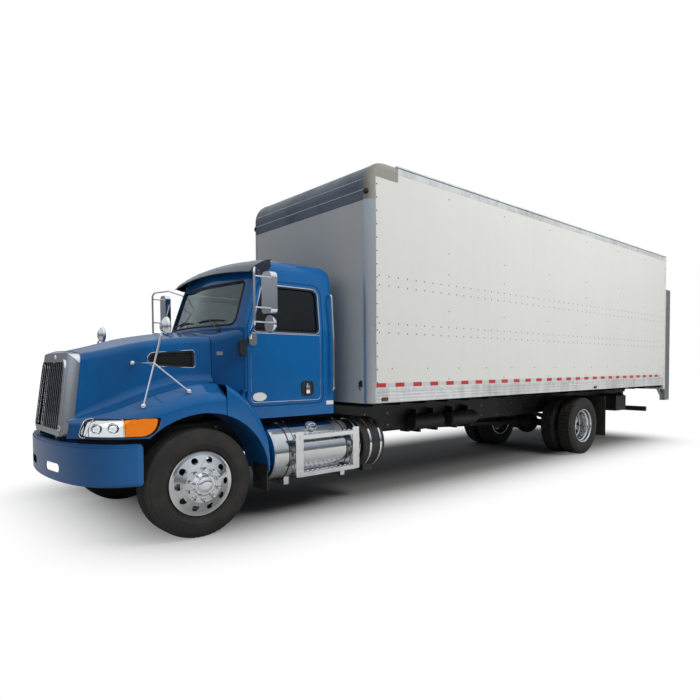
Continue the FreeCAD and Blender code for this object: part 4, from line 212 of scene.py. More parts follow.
def new_group(name, inputs, outputs):
    """An empty shader group with named float inputs and typed outputs."""
    group = bpy.data.node_groups.new(name, "ShaderNodeTree")
    for label, value in inputs.items():
        socket = group.interface.new_socket(name=label, in_out="INPUT", socket_type="NodeSocketFloat")
        socket.default_value = value
    for label in outputs:
        group.interface.new_socket(name=label, in_out="OUTPUT", socket_type=OUTPUT_KINDS[label])
    return group, node(group, "NodeGroupInput").outputs, node(group, "NodeGroupOutput").inputs


def road_dust_group():
    """Dust and spray that thin out with height, broken up by noise."""
    group, given, out = new_group("Road Dust", {"Top": 1.2, "Amount": 0.5}, ["Mask"])
    height = maths(group, "DIVIDE", axes(group)["Z"], given["Top"])
    low = maths(group, "SUBTRACT", 1.0, height, clamp=True)
    noise = stretched_noise(group, 7.0, (1.0, 1.0, 1.6), 7.0, 0.62)
    broken = maths(group, "MULTIPLY", low, ranged(group, noise, 0.32, 0.68))
    link(group, maths(group, "MULTIPLY", broken, given["Amount"], clamp=True), out["Mask"])
    return group


def streak_group():
    """Faint runs of dirt down an upright wall."""
    group, given, out = new_group("Rain Streaks", {"Amount": 0.3}, ["Mask"])
    fine = stretched_noise(group, 9.0, (1.0, 1.0, 0.07), 5.0, 0.6)
    broad = stretched_noise(group, 0.9, (1.0, 1.0, 0.6), 3.0, 0.5)
    runs = ranged(group, maths(group, "MULTIPLY", fine, broad), 0.20, 0.44)
    link(group, maths(group, "MULTIPLY", runs, given["Amount"], clamp=True), out["Mask"])
    return group


def ripple_group():
    """The slight unevenness of sheet metal or paint, as a normal."""
    group, given, out = new_group("Panel Ripple", {"Scale": 2.0, "Depth": 0.002}, ["Normal"])
    noise = stretched_noise(group, given["Scale"], EVEN, 2.0, 0.5)
    link(group, bumped(group, noise, given["Depth"]), out["Normal"])
    return group


def grain_group():
    """Fine cast or moulded grain: a mask for tone and a normal."""
    group, given, out = new_group("Fine Grain", {"Scale": 400.0, "Depth": 0.0003}, ["Mask", "Normal"])
    cells = textured(group, "ShaderNodeTexVoronoi", feature="SMOOTH_F1")
    noise = textured(group, "ShaderNodeTexNoise", {"Detail": 5.0, "Roughness": 0.6})
    for texture in (cells, noise):
        link(group, given["Scale"], texture.inputs["Scale"])
    height = maths(group, "MULTIPLY", cells.outputs["Distance"], noise.outputs["Fac"])
    link(group, noise.outputs["Fac"], out["Mask"])
    link(group, bumped(group, height, given["Depth"]), out["Normal"])
    return group


def wear_group():
    """Blotches of wear, oxide or stain, sharper than dust."""
    group, given, out = new_group("Blotches", {"Scale": 3.0, "Cover": 0.5}, ["Mask"])
    noise = stretched_noise(group, given["Scale"], EVEN, 9.0, 0.7)
    low = maths(group, "SUBTRACT", 0.72, maths(group, "MULTIPLY", given["Cover"], 0.44))
    link(group, ranged(group, noise, low, maths(group, "ADD", low, 0.16)), out["Mask"])
    return group


def brushed_group():
    """Fine brushing along one way round, as a normal."""
    group, given, out = new_group("Brushed Grain", {"Depth": 0.00005}, ["Normal"])
    noise = stretched_noise(group, 60.0, (0.04, 1.0, 1.0), 5.0, 0.7)
    link(group, bumped(group, noise, given["Depth"]), out["Normal"])
    return group


GROUP_MAKERS = {"dust": road_dust_group, "streaks": streak_group, "ripple": ripple_group,
                "grain": grain_group, "blotches": wear_group, "brushed": brushed_group}
GROUP_VALUES = {"dust": ("Top", "Amount"), "streaks": ("Amount",), "ripple": ("Scale", "Depth"),
                "grain": ("Scale", "Depth"), "blotches": ("Scale", "Cover"), "brushed": ("Depth",)}
GROUPS = {}
MATERIALS = {}


def placed(tree, name, *values):
    """The outputs of a shared effect that is placed in a material with its own values."""
    if name not in GROUPS:
        GROUPS[name] = GROUP_MAKERS[name]()
    named = dict(zip(GROUP_VALUES[name], values))
    return node(tree, "ShaderNodeGroup", named, node_tree=GROUPS[name]).outputs


def mix_colour(tree, mask, low, high):
    """Blends two colours, or colour sockets, by a mask socket."""
    mix = node(tree, "ShaderNodeMix", data_type="RGBA")
    link(tree, mask, mix.inputs["Factor"])
    for value, socket in ((low, mix.inputs[6]), (high, mix.inputs[7])):
        put(tree, value if hasattr(value, "is_output") else tuple(value)[:3] + (1.0,), socket)
    return mix.outputs[2]


def darker(colour, share):
    """A colour with its values lowered to a share."""
    return [value * share for value in colour]


def finish_of(name, colour, **values):
    """A new material with its shader, colour and plain values set."""
    made = bpy.data.materials.new(name)
    made.use_nodes = True
    tree = made.node_tree
    tree.nodes.clear()
    plain = {key.replace("_", " "): value for key, value in values.items()}
    shader = node(tree, "ShaderNodeBsdfPrincipled", plain)
    shader.inputs["Base Color"].default_value = tuple(colour) + (1.0,)
    out = node(tree, "ShaderNodeOutputMaterial")
    link(tree, shader.outputs[0], out.inputs["Surface"])
    made.diffuse_color = tuple(colour) + (1.0,)
    return made, tree, shader.inputs


def layered(name, plain, under, layers, rough=None, normal=None, **values):
    """A finish of a colour under layers, each one an effect, its values and the colour that it lays on.

    Plain is the colour for views without shading. Rough gives a layer's number and the roughness without
    and with it. Normal is an effect and its values.
    """
    made, tree, inputs = finish_of(name, plain, **values)
    masks = []
    for effect, settings, over in layers:
        masks.append(placed(tree, effect, *settings)["Mask"])
        under = mix_colour(tree, masks[-1], under, over)
    link(tree, under, inputs["Base Color"])
    if rough:
        link(tree, span(tree, masks[rough[0]], *rough[1:]), inputs["Roughness"])
    if normal:
        link(tree, placed(tree, *normal)["Normal"], inputs["Normal"])
    return made


def blue_enamel():
    """Glossy enamel with faint orange peel and dust low down."""
    paint = colours().blue
    made, tree, inputs = finish_of("blue_enamel", paint, Coat_Weight=0.7, Coat_Roughness=0.03, Roughness=0.35,
                                   Specular_IOR_Level=0.15)
    dust = placed(tree, "dust", 1.1, 0.07)["Mask"]
    shade = mix_colour(tree, placed(tree, "blotches", 0.8, 0.6)["Mask"], paint, darker(paint, 0.86))
    link(tree, mix_colour(tree, dust, shade, colours().dust), inputs["Base Color"])
    link(tree, span(tree, dust, 0.34, 0.8), inputs["Roughness"])
    link(tree, span(tree, dust, 0.7, 0.15), inputs["Coat Weight"])
    link(tree, placed(tree, "ripple", 90.0, 0.00008)["Normal"], inputs["Normal"])
    return made


def white_wall():
    """Painted wall skin with streaks of dirt and a slight oil-canned ripple."""
    paint = colours().white
    return layered("white_wall", paint, paint,
                   [("streaks", (0.22,), darker(paint, 0.86)), ("dust", (1.9, 0.12), (0.55, 0.52, 0.46))],
                   (0, 0.36, 0.6), ("ripple", 1.7, 0.010), Roughness=0.4, Specular_IOR_Level=0.35)


def mill_aluminium():
    """Extruded aluminium, dulled and stained by weather."""
    return layered("mill_aluminium", (0.78, 0.80, 0.80), (0.78, 0.80, 0.80),
                   [("blotches", (5.0, 0.55), (0.62, 0.64, 0.65)), ("streaks", (0.6,), (0.40, 0.40, 0.38))],
                   (0, 0.30, 0.52), ("ripple", 6.0, 0.0015), Metallic=0.35)


def corner_casting():
    """Extruded post below, and a dull bronze-grey casting above it, by height."""
    made, tree, inputs = finish_of("corner_casting", (0.6, 0.6, 0.58))
    upper = maths(tree, "GREATER_THAN", axes(tree)["Z"], NOSE_LOW.z - 0.002)
    chips = placed(tree, "blotches", 9.0, 0.3)["Mask"]
    casting = mix_colour(tree, chips, (0.29, 0.28, 0.245), (0.21, 0.20, 0.175))
    post = mix_colour(tree, chips, (0.60, 0.63, 0.66), (0.44, 0.46, 0.48))
    link(tree, mix_colour(tree, upper, post, casting), inputs["Base Color"])
    link(tree, span(tree, upper, 0.85, 0.0), inputs["Metallic"])
    link(tree, span(tree, chips, 0.34, 0.55), inputs["Roughness"])
    link(tree, placed(tree, "grain", 140.0, 0.0004)["Normal"], inputs["Normal"])
    return made


def aluminium_painted_shade():
    """Formed aluminium nose, smoother than the rails, coloured a dark blue-grey as painted shade."""
    return layered("aluminium_painted_shade", (0.13, 0.15, 0.18), (0.135, 0.155, 0.185),
                   [("blotches", (2.2, 0.5), (0.105, 0.12, 0.14)), ("streaks", (0.35,), (0.09, 0.10, 0.105))],
                   (0, 0.30, 0.45), ("ripple", 2.0, 0.004), Metallic=0.75)


def visor_metal_painted_shade():
    """Bright metal of the sun visor, coloured dark as painted shade."""
    return layered("visor_metal_painted_shade", (0.11, 0.12, 0.135), (0.11, 0.12, 0.135),
                   [("blotches", (9.0, 0.35), (0.09, 0.09, 0.10))], (0, 0.14, 0.26), Metallic=1.0)


def polished_aluminium():
    """Mirror-polished aluminium with brushing and a little haze."""
    return layered("polished_aluminium", (0.74, 0.75, 0.76), (0.74, 0.75, 0.76),
                   [("dust", (1.1, 0.55), (0.42, 0.40, 0.37))], (0, 0.09, 0.5), ("brushed", 0.00004),
                   Metallic=1.0)


def chrome():
    """Bright plating with faint water spots."""
    return layered("chrome", (0.88, 0.89, 0.91), (0.89, 0.90, 0.92),
                   [("blotches", (30.0, 0.35), (0.78, 0.78, 0.78))], (0, 0.035, 0.16), Metallic=1.0)


def black_steel():
    """Satin chassis black under road dust."""
    return layered("black_steel", (0.018, 0.018, 0.019), (0.016, 0.016, 0.017),
                   [("blotches", (14.0, 0.25), (0.035, 0.033, 0.031)),
                    ("dust", (1.6, 0.5), (0.085, 0.072, 0.058))],
                   (1, 0.42, 0.85), ("grain", 180.0, 0.0003), Roughness=0.5)


def cast_steel():
    """Rough cast or forged steel, greasy and dusty."""
    return layered("cast_steel", (0.05, 0.05, 0.05), (0.055, 0.052, 0.050),
                   [("blotches", (8.0, 0.4), (0.10, 0.055, 0.030))], (0, 0.5, 0.85), ("grain", 90.0, 0.0010),
                   Metallic=0.4)


def galvanised():
    """Grey galvanised steel with spangle and scuffs."""
    made, tree, inputs = finish_of("galvanised", (0.32, 0.33, 0.34), Metallic=0.7)
    cells = textured(tree, "ShaderNodeTexVoronoi", {"Scale": 45.0})
    spangle = mix_colour(tree, cells.outputs["Color"], (0.30, 0.31, 0.32), (0.40, 0.41, 0.42))
    scuff = placed(tree, "blotches", 7.0, 0.4)["Mask"]
    link(tree, mix_colour(tree, scuff, spangle, (0.17, 0.16, 0.15)), inputs["Base Color"])
    link(tree, span(tree, scuff, 0.38, 0.65), inputs["Roughness"])
    link(tree, placed(tree, "grain", 120.0, 0.0003)["Normal"], inputs["Normal"])
    return made


def tyre_rubber():
    """Weathered tyre rubber, scrubbed to a brownish grey in blotches."""
    return layered("tyre_rubber", (0.03, 0.028, 0.026), (0.018, 0.017, 0.016),
                   [("blotches", (6.0, 0.55), (0.042, 0.038, 0.033))], (0, 0.62, 0.9),
                   ("grain", 260.0, 0.0004), Roughness=0.75)


def black_rubber():
    """Soft black rubber of flaps, gaskets and liners."""
    return layered("black_rubber", (0.02, 0.02, 0.02), (0.016, 0.016, 0.017),
                   [("dust", (1.4, 0.6), (0.10, 0.088, 0.072))], None, ("grain", 320.0, 0.0003),
                   Roughness=0.6)


def moulded_plastic():
    """Dark grained interior plastic."""
    made, tree, inputs = finish_of("moulded_plastic", (0.05, 0.05, 0.055), Roughness=0.55)
    grain = placed(tree, "grain", 420.0, 0.0004)
    shade = mix_colour(tree, grain["Mask"], (0.040, 0.040, 0.044), (0.062, 0.062, 0.066))
    link(tree, shade, inputs["Base Color"])
    link(tree, grain["Normal"], inputs["Normal"])
    return made


def woven(name, dark, light, scale):
    """Cloth of crossed threads from two wave textures, with their bump."""
    made, tree, inputs = finish_of(name, dark, Roughness=0.9, Sheen_Weight=0.3)
    threads = [textured(tree, "ShaderNodeTexWave", {"Scale": scale, "Distortion": 0.6}, bands_direction=way)
               for way in ("Y", "Z")]
    crossed = maths(tree, "MULTIPLY", threads[0].outputs["Fac"], threads[1].outputs["Fac"])
    link(tree, mix_colour(tree, crossed, dark, light), inputs["Base Color"])
    link(tree, bumped(tree, crossed, 0.0006, 0.6), inputs["Normal"])
    return made


def glass(name, tint):
    """Green-tinted safety glass."""
    made, tree, inputs = finish_of(name, tint, Transmission_Weight=1.0, IOR=1.45)
    link(tree, span(tree, placed(tree, "blotches", 4.0, 0.3)["Mask"], 0.0, 0.05), inputs["Roughness"])
    return made


def lens(name, colour, clear=0.85):
    """A moulded lens with fine fluting."""
    made, tree, inputs = finish_of(name, colour, Transmission_Weight=clear, IOR=1.49, Roughness=0.12)
    flutes = textured(tree, "ShaderNodeTexWave", {"Scale": 26.0, "Distortion": 0.0},
                      bands_direction="DIAGONAL").outputs["Fac"]
    link(tree, bumped(tree, flutes, 0.0010, 0.5), inputs["Normal"])
    link(tree, mix_colour(tree, flutes, colour, darker(colour, 0.8)), inputs["Base Color"])
    return made


LAMP_SPLIT = 0.612             # front axle forward to the joint of the headlamp's clear and amber parts


def headlamp_lens():
    """Clear in front and amber behind, in one moulding."""
    clear = (0.76, 0.80, 0.81)
    made, tree, inputs = finish_of("headlamp_lens", clear, Transmission_Weight=1.0, IOR=1.3, Roughness=0.02)
    ahead = maths(tree, "GREATER_THAN", axes(tree)["X"], FX + LAMP_SPLIT)
    link(tree, mix_colour(tree, ahead, colours().amber, clear), inputs["Base Color"])
    return made


def reflective_tape(name, colour, lit):
    """Retroreflective tape: small sealed cells in a grid, under a clear film."""
    made, tree, inputs = finish_of(name, colour, Coat_Weight=0.6, Coat_Roughness=0.08, Roughness=0.35)
    cells = textured(tree, "ShaderNodeTexVoronoi", {"Scale": 170.0}, feature="DISTANCE_TO_EDGE")
    inside = ranged(tree, cells.outputs["Distance"], 0.02, 0.09)
    link(tree, mix_colour(tree, inside, lit, colour), inputs["Base Color"])
    link(tree, bumped(tree, inside, 0.0003, 0.4), inputs["Normal"])
    return made


GRILLE_RAKE = (0.955 - 0.862) / (1.720 - 0.948)     # set back of the grille's top over its height
BAR_DEPTH = 0.036              # depth of the bright bars behind the grille's front


def punched(tree, scale, low, high):
    """An even grid of holes: nought in a hole and one on the metal between."""
    holes = textured(tree, "ShaderNodeTexVoronoi", {"Scale": scale, "Randomness": 0.0})
    return ranged(tree, holes.outputs["Distance"], low, high)


def grille_metal():
    """Chrome bars in front of a dark punched mesh, told apart by depth behind the raked front."""
    made, tree, inputs = finish_of("grille_metal", (0.5, 0.5, 0.5))
    low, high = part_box("grille_bars")
    place = axes(tree)
    depth = maths(tree, "ADD", place["X"], maths(tree, "MULTIPLY", place["Z"], GRILLE_RAKE))
    bars = maths(tree, "GREATER_THAN", depth, high.x + GRILLE_RAKE * low.z - BAR_DEPTH)
    # The mesh's holes are coloured near black as painted shade of the dark behind them
    mesh = mix_colour(tree, punched(tree, 95.0, 0.30, 0.42), (0.004, 0.004, 0.004), (0.06, 0.06, 0.062))
    link(tree, mix_colour(tree, bars, mesh, (0.86, 0.87, 0.89)), inputs["Base Color"])
    link(tree, span(tree, bars, 0.0, 1.0), inputs["Metallic"])
    link(tree, span(tree, bars, 0.6, 0.06), inputs["Roughness"])
    return made


def punched_black():
    """Flat black punched intake panel."""
    made, tree, inputs = finish_of("punched_black", (0.012, 0.012, 0.013), Roughness=0.5)
    metal = punched(tree, 120.0, 0.25, 0.4)
    # The holes are coloured near black as painted shade of the dark behind them
    link(tree, mix_colour(tree, metal, (0.003, 0.003, 0.003), (0.025, 0.025, 0.026)), inputs["Base Color"])
    link(tree, bumped(tree, metal, 0.001, 0.8), inputs["Normal"])
    return made


def planks():
    """Oiled hardwood floor boards, with their joints."""
    made, tree, inputs = finish_of("planks", (0.3, 0.18, 0.09), Roughness=0.5)
    grain = stretched_noise(tree, 30.0, (0.05, 1.0, 1.0), 6.0, 0.6)
    boards = textured(tree, "ShaderNodeTexWave", {"Scale": 1.1, "Distortion": 0.0}, bands_direction="Y",
                      wave_profile="SAW")
    wood = mix_colour(tree, grain, (0.20, 0.115, 0.055), (0.42, 0.27, 0.14))
    edge = maths(tree, "GREATER_THAN", boards.outputs["Fac"], 0.97)
    link(tree, mix_colour(tree, edge, wood, (0.03, 0.02, 0.012)), inputs["Base Color"])
    return made


def tread_plate():
    """Aluminium deck with a raised lozenge pattern, scuffed on top."""
    made, tree, inputs = finish_of("tread_plate", (0.4, 0.41, 0.42), Metallic=0.8)
    mapping = textured(tree, "ShaderNodeMapping", {"Rotation": (math.radians(45), 0, 0)})
    lozenge = node(tree, "ShaderNodeTexVoronoi", {"Scale": 34.0, "Randomness": 0.0})
    link(tree, mapping.outputs["Vector"], lozenge.inputs["Vector"])
    raised = ranged(tree, lozenge.outputs["Distance"], 0.38, 0.28)
    scuff = placed(tree, "blotches", 6.0, 0.5)["Mask"]
    base = mix_colour(tree, scuff, (0.36, 0.37, 0.38), (0.22, 0.21, 0.20))
    link(tree, mix_colour(tree, raised, base, (0.55, 0.56, 0.57)), inputs["Base Color"])
    link(tree, span(tree, scuff, 0.35, 0.6), inputs["Roughness"])
    link(tree, bumped(tree, raised, 0.0018, 0.9), inputs["Normal"])
    return made


def small_part(name, colour, **values):
    """A small part's finish, with a little tone and bump so that it isn't flat."""
    return layered(name, colour, colour, [("blotches", (12.0, 0.45), darker(colour, 0.8))], None,
                   ("grain", 240.0, 0.0002), **values)


def mirror_face():
    """Silvered mirror glass with a faint haze."""
    made, tree, inputs = finish_of("mirror_face", (0.93, 0.94, 0.95), Metallic=1.0)
    link(tree, span(tree, placed(tree, "blotches", 10.0, 0.3)["Mask"], 0.015, 0.07), inputs["Roughness"])
    return made


MAKERS = {maker.__name__: maker for maker in (
    blue_enamel, white_wall, mill_aluminium, corner_casting, polished_aluminium, chrome, black_steel,
    cast_steel, galvanised, tyre_rubber, black_rubber, moulded_plastic, headlamp_lens, grille_metal,
    punched_black, planks, tread_plate, mirror_face, aluminium_painted_shade, visor_metal_painted_shade)}
MAKERS.update({
    "lining_cloth": lambda: woven("lining_cloth", (0.16, 0.16, 0.165), (0.24, 0.24, 0.245), 520.0 / 6.0),
    "seat_cloth": lambda: woven("seat_cloth", (0.05, 0.052, 0.06), (0.11, 0.112, 0.12), 80.0),
    "window_glass": lambda: glass("window_glass", (0.36, 0.47, 0.46)),
    "door_glass": lambda: glass("door_glass", (0.045, 0.060, 0.060)),
    "amber_lens": lambda: lens("amber_lens", colours().amber),
    "red_lens": lambda: lens("red_lens", colours().red),
    "clear_lens": lambda: lens("clear_lens", (0.95, 0.96, 0.96), 1.0),
    "red_tape": lambda: reflective_tape("red_tape", colours().red, (0.62, 0.10, 0.09)),
    "white_tape": lambda: reflective_tape("white_tape", (0.50, 0.51, 0.52), (0.74, 0.75, 0.76)),
    "wall_rivet": lambda: small_part("wall_rivet", (0.085, 0.085, 0.085), Metallic=0.2, Roughness=0.5),
    "satin_black": lambda: small_part("satin_black", (0.015, 0.015, 0.016), Roughness=0.35),
    "zinc_bolt": lambda: small_part("zinc_bolt", (0.42, 0.43, 0.44), Metallic=0.9, Roughness=0.35),
    "blank_label": lambda: small_part("blank_label", (0.72, 0.72, 0.70), Roughness=0.45),
    "dial_face": lambda: small_part("dial_face", (0.012, 0.012, 0.013), Roughness=0.25),
    "dial_mark": lambda: small_part("dial_mark", (0.70, 0.70, 0.68), Roughness=0.4),
})


def material(name):
    """A finish by name, made once."""
    if name not in MATERIALS:
        MATERIALS[name] = MAKERS[name]()
    return MATERIALS[name]


# Mesh tools

def block(bm, low, high, bevel=0.0, segments=2):
    """A block between two corners with rounded edges."""
    low, high = Vector(low), Vector(high)
    middle = (low + high) / 2
    size = Vector([abs(c) for c in (high - low)])
    place = Matrix.Translation(middle) @ Matrix.Diagonal((*size, 1.0))
    made = bmesh.ops.create_cube(bm, size=1.0, matrix=place)
    if bevel > 0:
        edges = list({edge for vert in made["verts"] for edge in vert.link_edges})
        bmesh.ops.bevel(bm, geom=edges, offset=min(bevel, 0.45 * min(size)), segments=segments,
                        affect="EDGES", profile=0.5)


def frame_of(axis):
    """Two directions square to an axis and to each other."""
    axis = Vector(axis).normalized()
    guide = Vector((0, 0, 1)) if abs(axis.z) < 0.9 else Vector((1, 0, 0))
    across = axis.cross(guide).normalized()
    return axis, across, axis.cross(across).normalized()


def turned(bm, profile, centre, axis, steps=32):
    """A surface of revolution from (along, radius) points. A radius of nought closes it in a point."""
    axis, u, w = frame_of(axis)
    centre = Vector(centre)
    rings = []
    for along, radius in profile:
        if radius < 1e-6:
            rings.append([bm.verts.new(centre + axis * along)])
        else:
            rings.append([bm.verts.new(centre + axis * along + (u * math.cos(a) + w * math.sin(a)) * radius)
                          for a in [2 * math.pi * i / steps for i in range(steps)]])
    for first, second in zip(rings, rings[1:]):
        for i in range(steps):
            j = (i + 1) % steps
            if len(first) == 1 and len(second) > 1:
                bm.faces.new((first[0], second[i], second[j]))
            elif len(second) == 1 and len(first) > 1:
                bm.faces.new((first[j], first[i], second[0]))
            elif len(first) > 1:
                bm.faces.new((first[i], first[j], second[j], second[i]))


def closed(profile):
    """A profile with its two ends brought to the axis."""
    return [(profile[0][0], 0.0)] + list(profile) + [(profile[-1][0], 0.0)]


def stud(bm, foot, axis, radius, height, steps=8):
    """A low domed head, as of a rivet or a bolt."""
    turned(bm, [(0.0, radius), (height * 0.62, radius * 0.80), (height, 0.0)], foot, axis, steps)


def hex_head(bm, foot, axis, radius, height):
    """A bolt's head on its washer."""
    base, rim = height * 0.2, radius * 1.35
    turned(bm, [(0.0, rim), (base, rim), (base, radius)], foot, axis, 12)
    turned(bm, [(base, radius), (height * 0.85, radius), (height, radius * 0.8), (height, 0.0)], foot, axis,
           6)


def pipe(bm, points, radius, sides=10, loop=False):
    """A round bead that follows a line of points."""
    points = [Vector(p) for p in points]
    count = len(points)
    rings = []
    side = None
    for i, point in enumerate(points):
        before = points[i - 1] if i or loop else point
        after = points[(i + 1) % count] if i < count - 1 or loop else point
        along = (after - before).normalized()
        if side is None:
            side = frame_of(along)[1]
        side = (side - along * side.dot(along)).normalized()
        other = along.cross(side)
        rings.append([bm.verts.new(point + (side * math.cos(a) + other * math.sin(a)) * radius)
                      for a in [2 * math.pi * k / sides for k in range(sides)]])
    pairs = list(zip(rings, rings[1:]))
    if loop:
        pairs.append((rings[-1], rings[0]))
    for first, second in pairs:
        for k in range(sides):
            j = (k + 1) % sides
            bm.faces.new((first[k], first[j], second[j], second[k]))
    if not loop:
        bm.faces.new(list(reversed(rings[0])))
        bm.faces.new(rings[-1])


def patch(bm, corners, out, thickness):
    """A thin plate on four or more corners, raised along a direction."""
    out = Vector(out).normalized() * thickness
    low = [bm.verts.new(Vector(c)) for c in corners]
    high = [bm.verts.new(Vector(c) + out) for c in corners]
    count = len(corners)
    bm.faces.new(list(reversed(low)))
    bm.faces.new(high)
    for i in range(count):
        j = (i + 1) % count
        bm.faces.new((low[i], low[j], high[j], high[i]))


def closed_rings(bm, rings):
    """Faces between rings of points, closed at both ends."""
    for first, second in zip(rings, rings[1:]):
        for k in range(len(first)):
            j = (k + 1) % len(first)
            bm.faces.new((first[k], first[j], second[j], second[k]))
    bm.faces.new(rings[-1])
    bm.faces.new(list(reversed(rings[0])))
    bmesh.ops.recalc_face_normals(bm, faces=bm.faces[:])


def rounded(corners, steps=6):
    """Corner points (a, b, radius) turned into a closed line with round corners."""
    line = []
    count = len(corners)
    for i, corner in enumerate(corners):
        here = Vector(corner[:2])
        radius = corner[2] if len(corner) > 2 else 0.0
        u = (Vector(corners[i - 1][:2]) - here).normalized()
        w = (Vector(corners[(i + 1) % count][:2]) - here).normalized()
        if radius <= 0:
            line.append(here)
            continue
        half = u.angle(w) / 2
        reach = radius / math.tan(half)
        middle = here + (u + w).normalized() * (radius / math.sin(half))
        a, b = here + u * reach - middle, here + w * reach - middle
        turn = a.angle(b)
        for k in range(steps + 1):
            t = k / steps
            line.append(middle + (a * math.sin((1 - t) * turn) + b * math.sin(t * turn)) / math.sin(turn))
    return line


def piece(name, bm, finish, body, angle=35.0, replaces=()):
    """Turns a mesh into a named piece that rides on a body."""
    bmesh.ops.recalc_face_normals(bm, faces=bm.faces)
    mesh = bpy.data.meshes.new(name)
    bm.to_mesh(mesh)
    bm.free()
    made = bpy.data.objects.new(name, mesh)
    bpy.context.scene.collection.objects.link(made)
    mesh.materials.append(material(finish))
    mesh.polygons.foreach_set("use_smooth", [True] * len(mesh.polygons))
    mesh.set_sharp_from_angle(angle=math.radians(angle))
    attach(made, body)
    if replaces:
        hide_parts(*replaces)
    return made


SURFACES = {}


def surface(name):
    """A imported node's surface for finding points on it."""
    if name not in SURFACES:
        mesh = NODES[name].data
        faces = [polygon.vertices[:] for polygon in mesh.polygons]
        SURFACES[name] = BVHTree.FromPolygons([vertex.co for vertex in mesh.vertices], faces)
    return SURFACES[name]


def meet(name, start, direction):
    """Where a ray from a point meets a node, and the way out of it there."""
    found = surface(name).ray_cast(Vector(start), Vector(direction).normalized())
    if found[0] is None:
        return None
    normal = found[1] if found[1].dot(Vector(direction)) < 0 else -found[1]
    return found[0], normal


def meet_side(name, ahead, side, up, reach=1.6):
    """Where a ray from one side meets a node, at a place ahead of the front axle and up."""
    return meet(name, (FX + ahead, side * reach, up), (0, -side, 0))


def spaced(line, low, high=math.inf):
    """A line's points without those that are too near the last one kept, or too far from it."""
    kept = [line[0]]
    for point in line[1:]:
        if low < (point - kept[-1]).length < high:
            kept.append(point)
    return kept


def walked(points, step):
    """A closed outline with further points about a step apart along its sides."""
    line = []
    for here, after in zip(points, points[1:] + points[:1]):
        pieces = max(1, int((after - here).length / step))
        line += [here.lerp(after, k / pieces) for k in range(pieces)]
    return line


def oblong(half_wide, half_high, radius):
    """The outline of a rectangle with round corners about a middle."""
    return rounded([(-half_wide, -half_high, radius), (half_wide, -half_high, radius),
                    (half_wide, half_high, radius), (-half_wide, half_high, radius)])


def side_y(z):
    """The cab side's half width at a height."""
    lean = max(0.0, (z - CAB_BELT) / (CAB_EAVE - CAB_BELT))
    return CAB_HALF - CAB_TUMBLE * lean


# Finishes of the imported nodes

NODE_FINISHES = {
    "black_steel": ("frame", "radiator", "front_axle", "rear_axle", "leaf_springs", "tie_rod", "air_tanks",
                    "underride_guard", "gate_pump", "subframe"),
    "cast_steel": ("engine_block", "driveshaft", "knuckle_left", "knuckle_right", "exhaust"),
    "blue_enamel": ("bumper", "hood_shell", "cab_shell", "cowl", "door_left", "door_right"),
    "chrome": ("grille_surround", "hood_mirrors", "grab_handles", "mirror_left", "mirror_right"),
    "grille_metal": ("grille_bars",),
    "headlamp_lens": ("headlamps",),
    "punched_black": ("intake_panels",),
    # Sun visor: bright metal coloured dark as painted shade
    "visor_metal_painted_shade": ("sun_visor",),
    "window_glass": ("cab_glass",),
    "moulded_plastic": ("dashboard",),
    "seat_cloth": ("seats",),
    "door_glass": ("door_glass_left", "door_glass_right"),
    "polished_aluminium": ("fuel_tank", "tank_mounts", "battery_box", "wheel_front_left",
                           "wheel_front_right", "wheels_rear_left", "wheels_rear_right"),
    "black_rubber": ("mud_flaps",),
    "planks": ("load_floor",),
    "white_wall": ("body_walls", "rear_frame", "roll_door"),
    "mill_aluminium": ("body_rails",),
    # Nose sheet and roof: aluminium coloured dark blue-grey as painted shade
    "aluminium_painted_shade": ("nose_sheet", "roof"),
    "corner_casting": ("corner_posts",),
    "amber_lens": ("marker_lamps",),
    "galvanised": ("gate_columns", "gate_slide"),
    "tread_plate": ("gate_platform",),
    "tyre_rubber": ("tyre_front_left", "tyre_front_right", "tyres_rear_left", "tyres_rear_right"),
}


class TRUCK_OT_finishes(bpy.types.Operator):
    """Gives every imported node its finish"""
    bl_idname = "truck.finishes"
    bl_label = "Node finishes"

    def execute(self, context):
        for finish, names in NODE_FINISHES.items():
            for name in names:
                mesh = NODES[name].data
                mesh.materials.clear()
                mesh.materials.append(material(finish))
        return {"FINISHED"}


# Tyres

GROOVES = (0.030, 0.076)       # middle of each tread groove, out from the tyre's centre
GROOVE_HALF = 0.0055
TYRE_STEPS = 240
# The section from the tread to the bead: out from the tyre's middle, and in from its full radius
TYRE_SHOULDER = ((0.094, 0.002), (0.105, 0.005), (0.114, 0.014))
TYRE_WALL = ((0.119, 0.030), (0.124, 0.042), (0.1295, 0.046), (0.1305, 0.050), (0.1320, 0.056),
             (0.1365, 0.075), (0.1395, 0.092), (0.1410, 0.108), (0.1415, 0.118), (0.1390, 0.136),
             (0.1405, 0.139), (0.1405, 0.142), (0.1370, 0.146), (0.1300, 0.164), (0.1200, 0.180),
             (0.1215, 0.183), (0.1205, 0.187), (0.1120, 0.193), (0.1050, 0.199), (0.1030, 0.212),
             (0.1010, 0.2205))
DRIVE_TREAD = 1.3              # depth of the rear tyres' tread over that of the front ones


def tyre_profile(radius, depth):
    """One side of a tyre from the middle of the tread to the bead: (offset, radius, kind of row)."""
    rows = [(0.0, radius, "rib")]
    for groove in GROOVES:
        rows += [(groove - GROOVE_HALF - 0.001, radius - 0.0005, "rib"),
                 (groove - GROOVE_HALF + 0.001, radius - depth, "floor"),
                 (groove + GROOVE_HALF - 0.001, radius - depth, "floor"),
                 (groove + GROOVE_HALF + 0.001, radius - 0.001, "rib")]
    for kind, section in (("shoulder", TYRE_SHOULDER), ("side", TYRE_WALL)):
        rows += [(out, radius - inward, kind) for out, inward in section]
    return rows


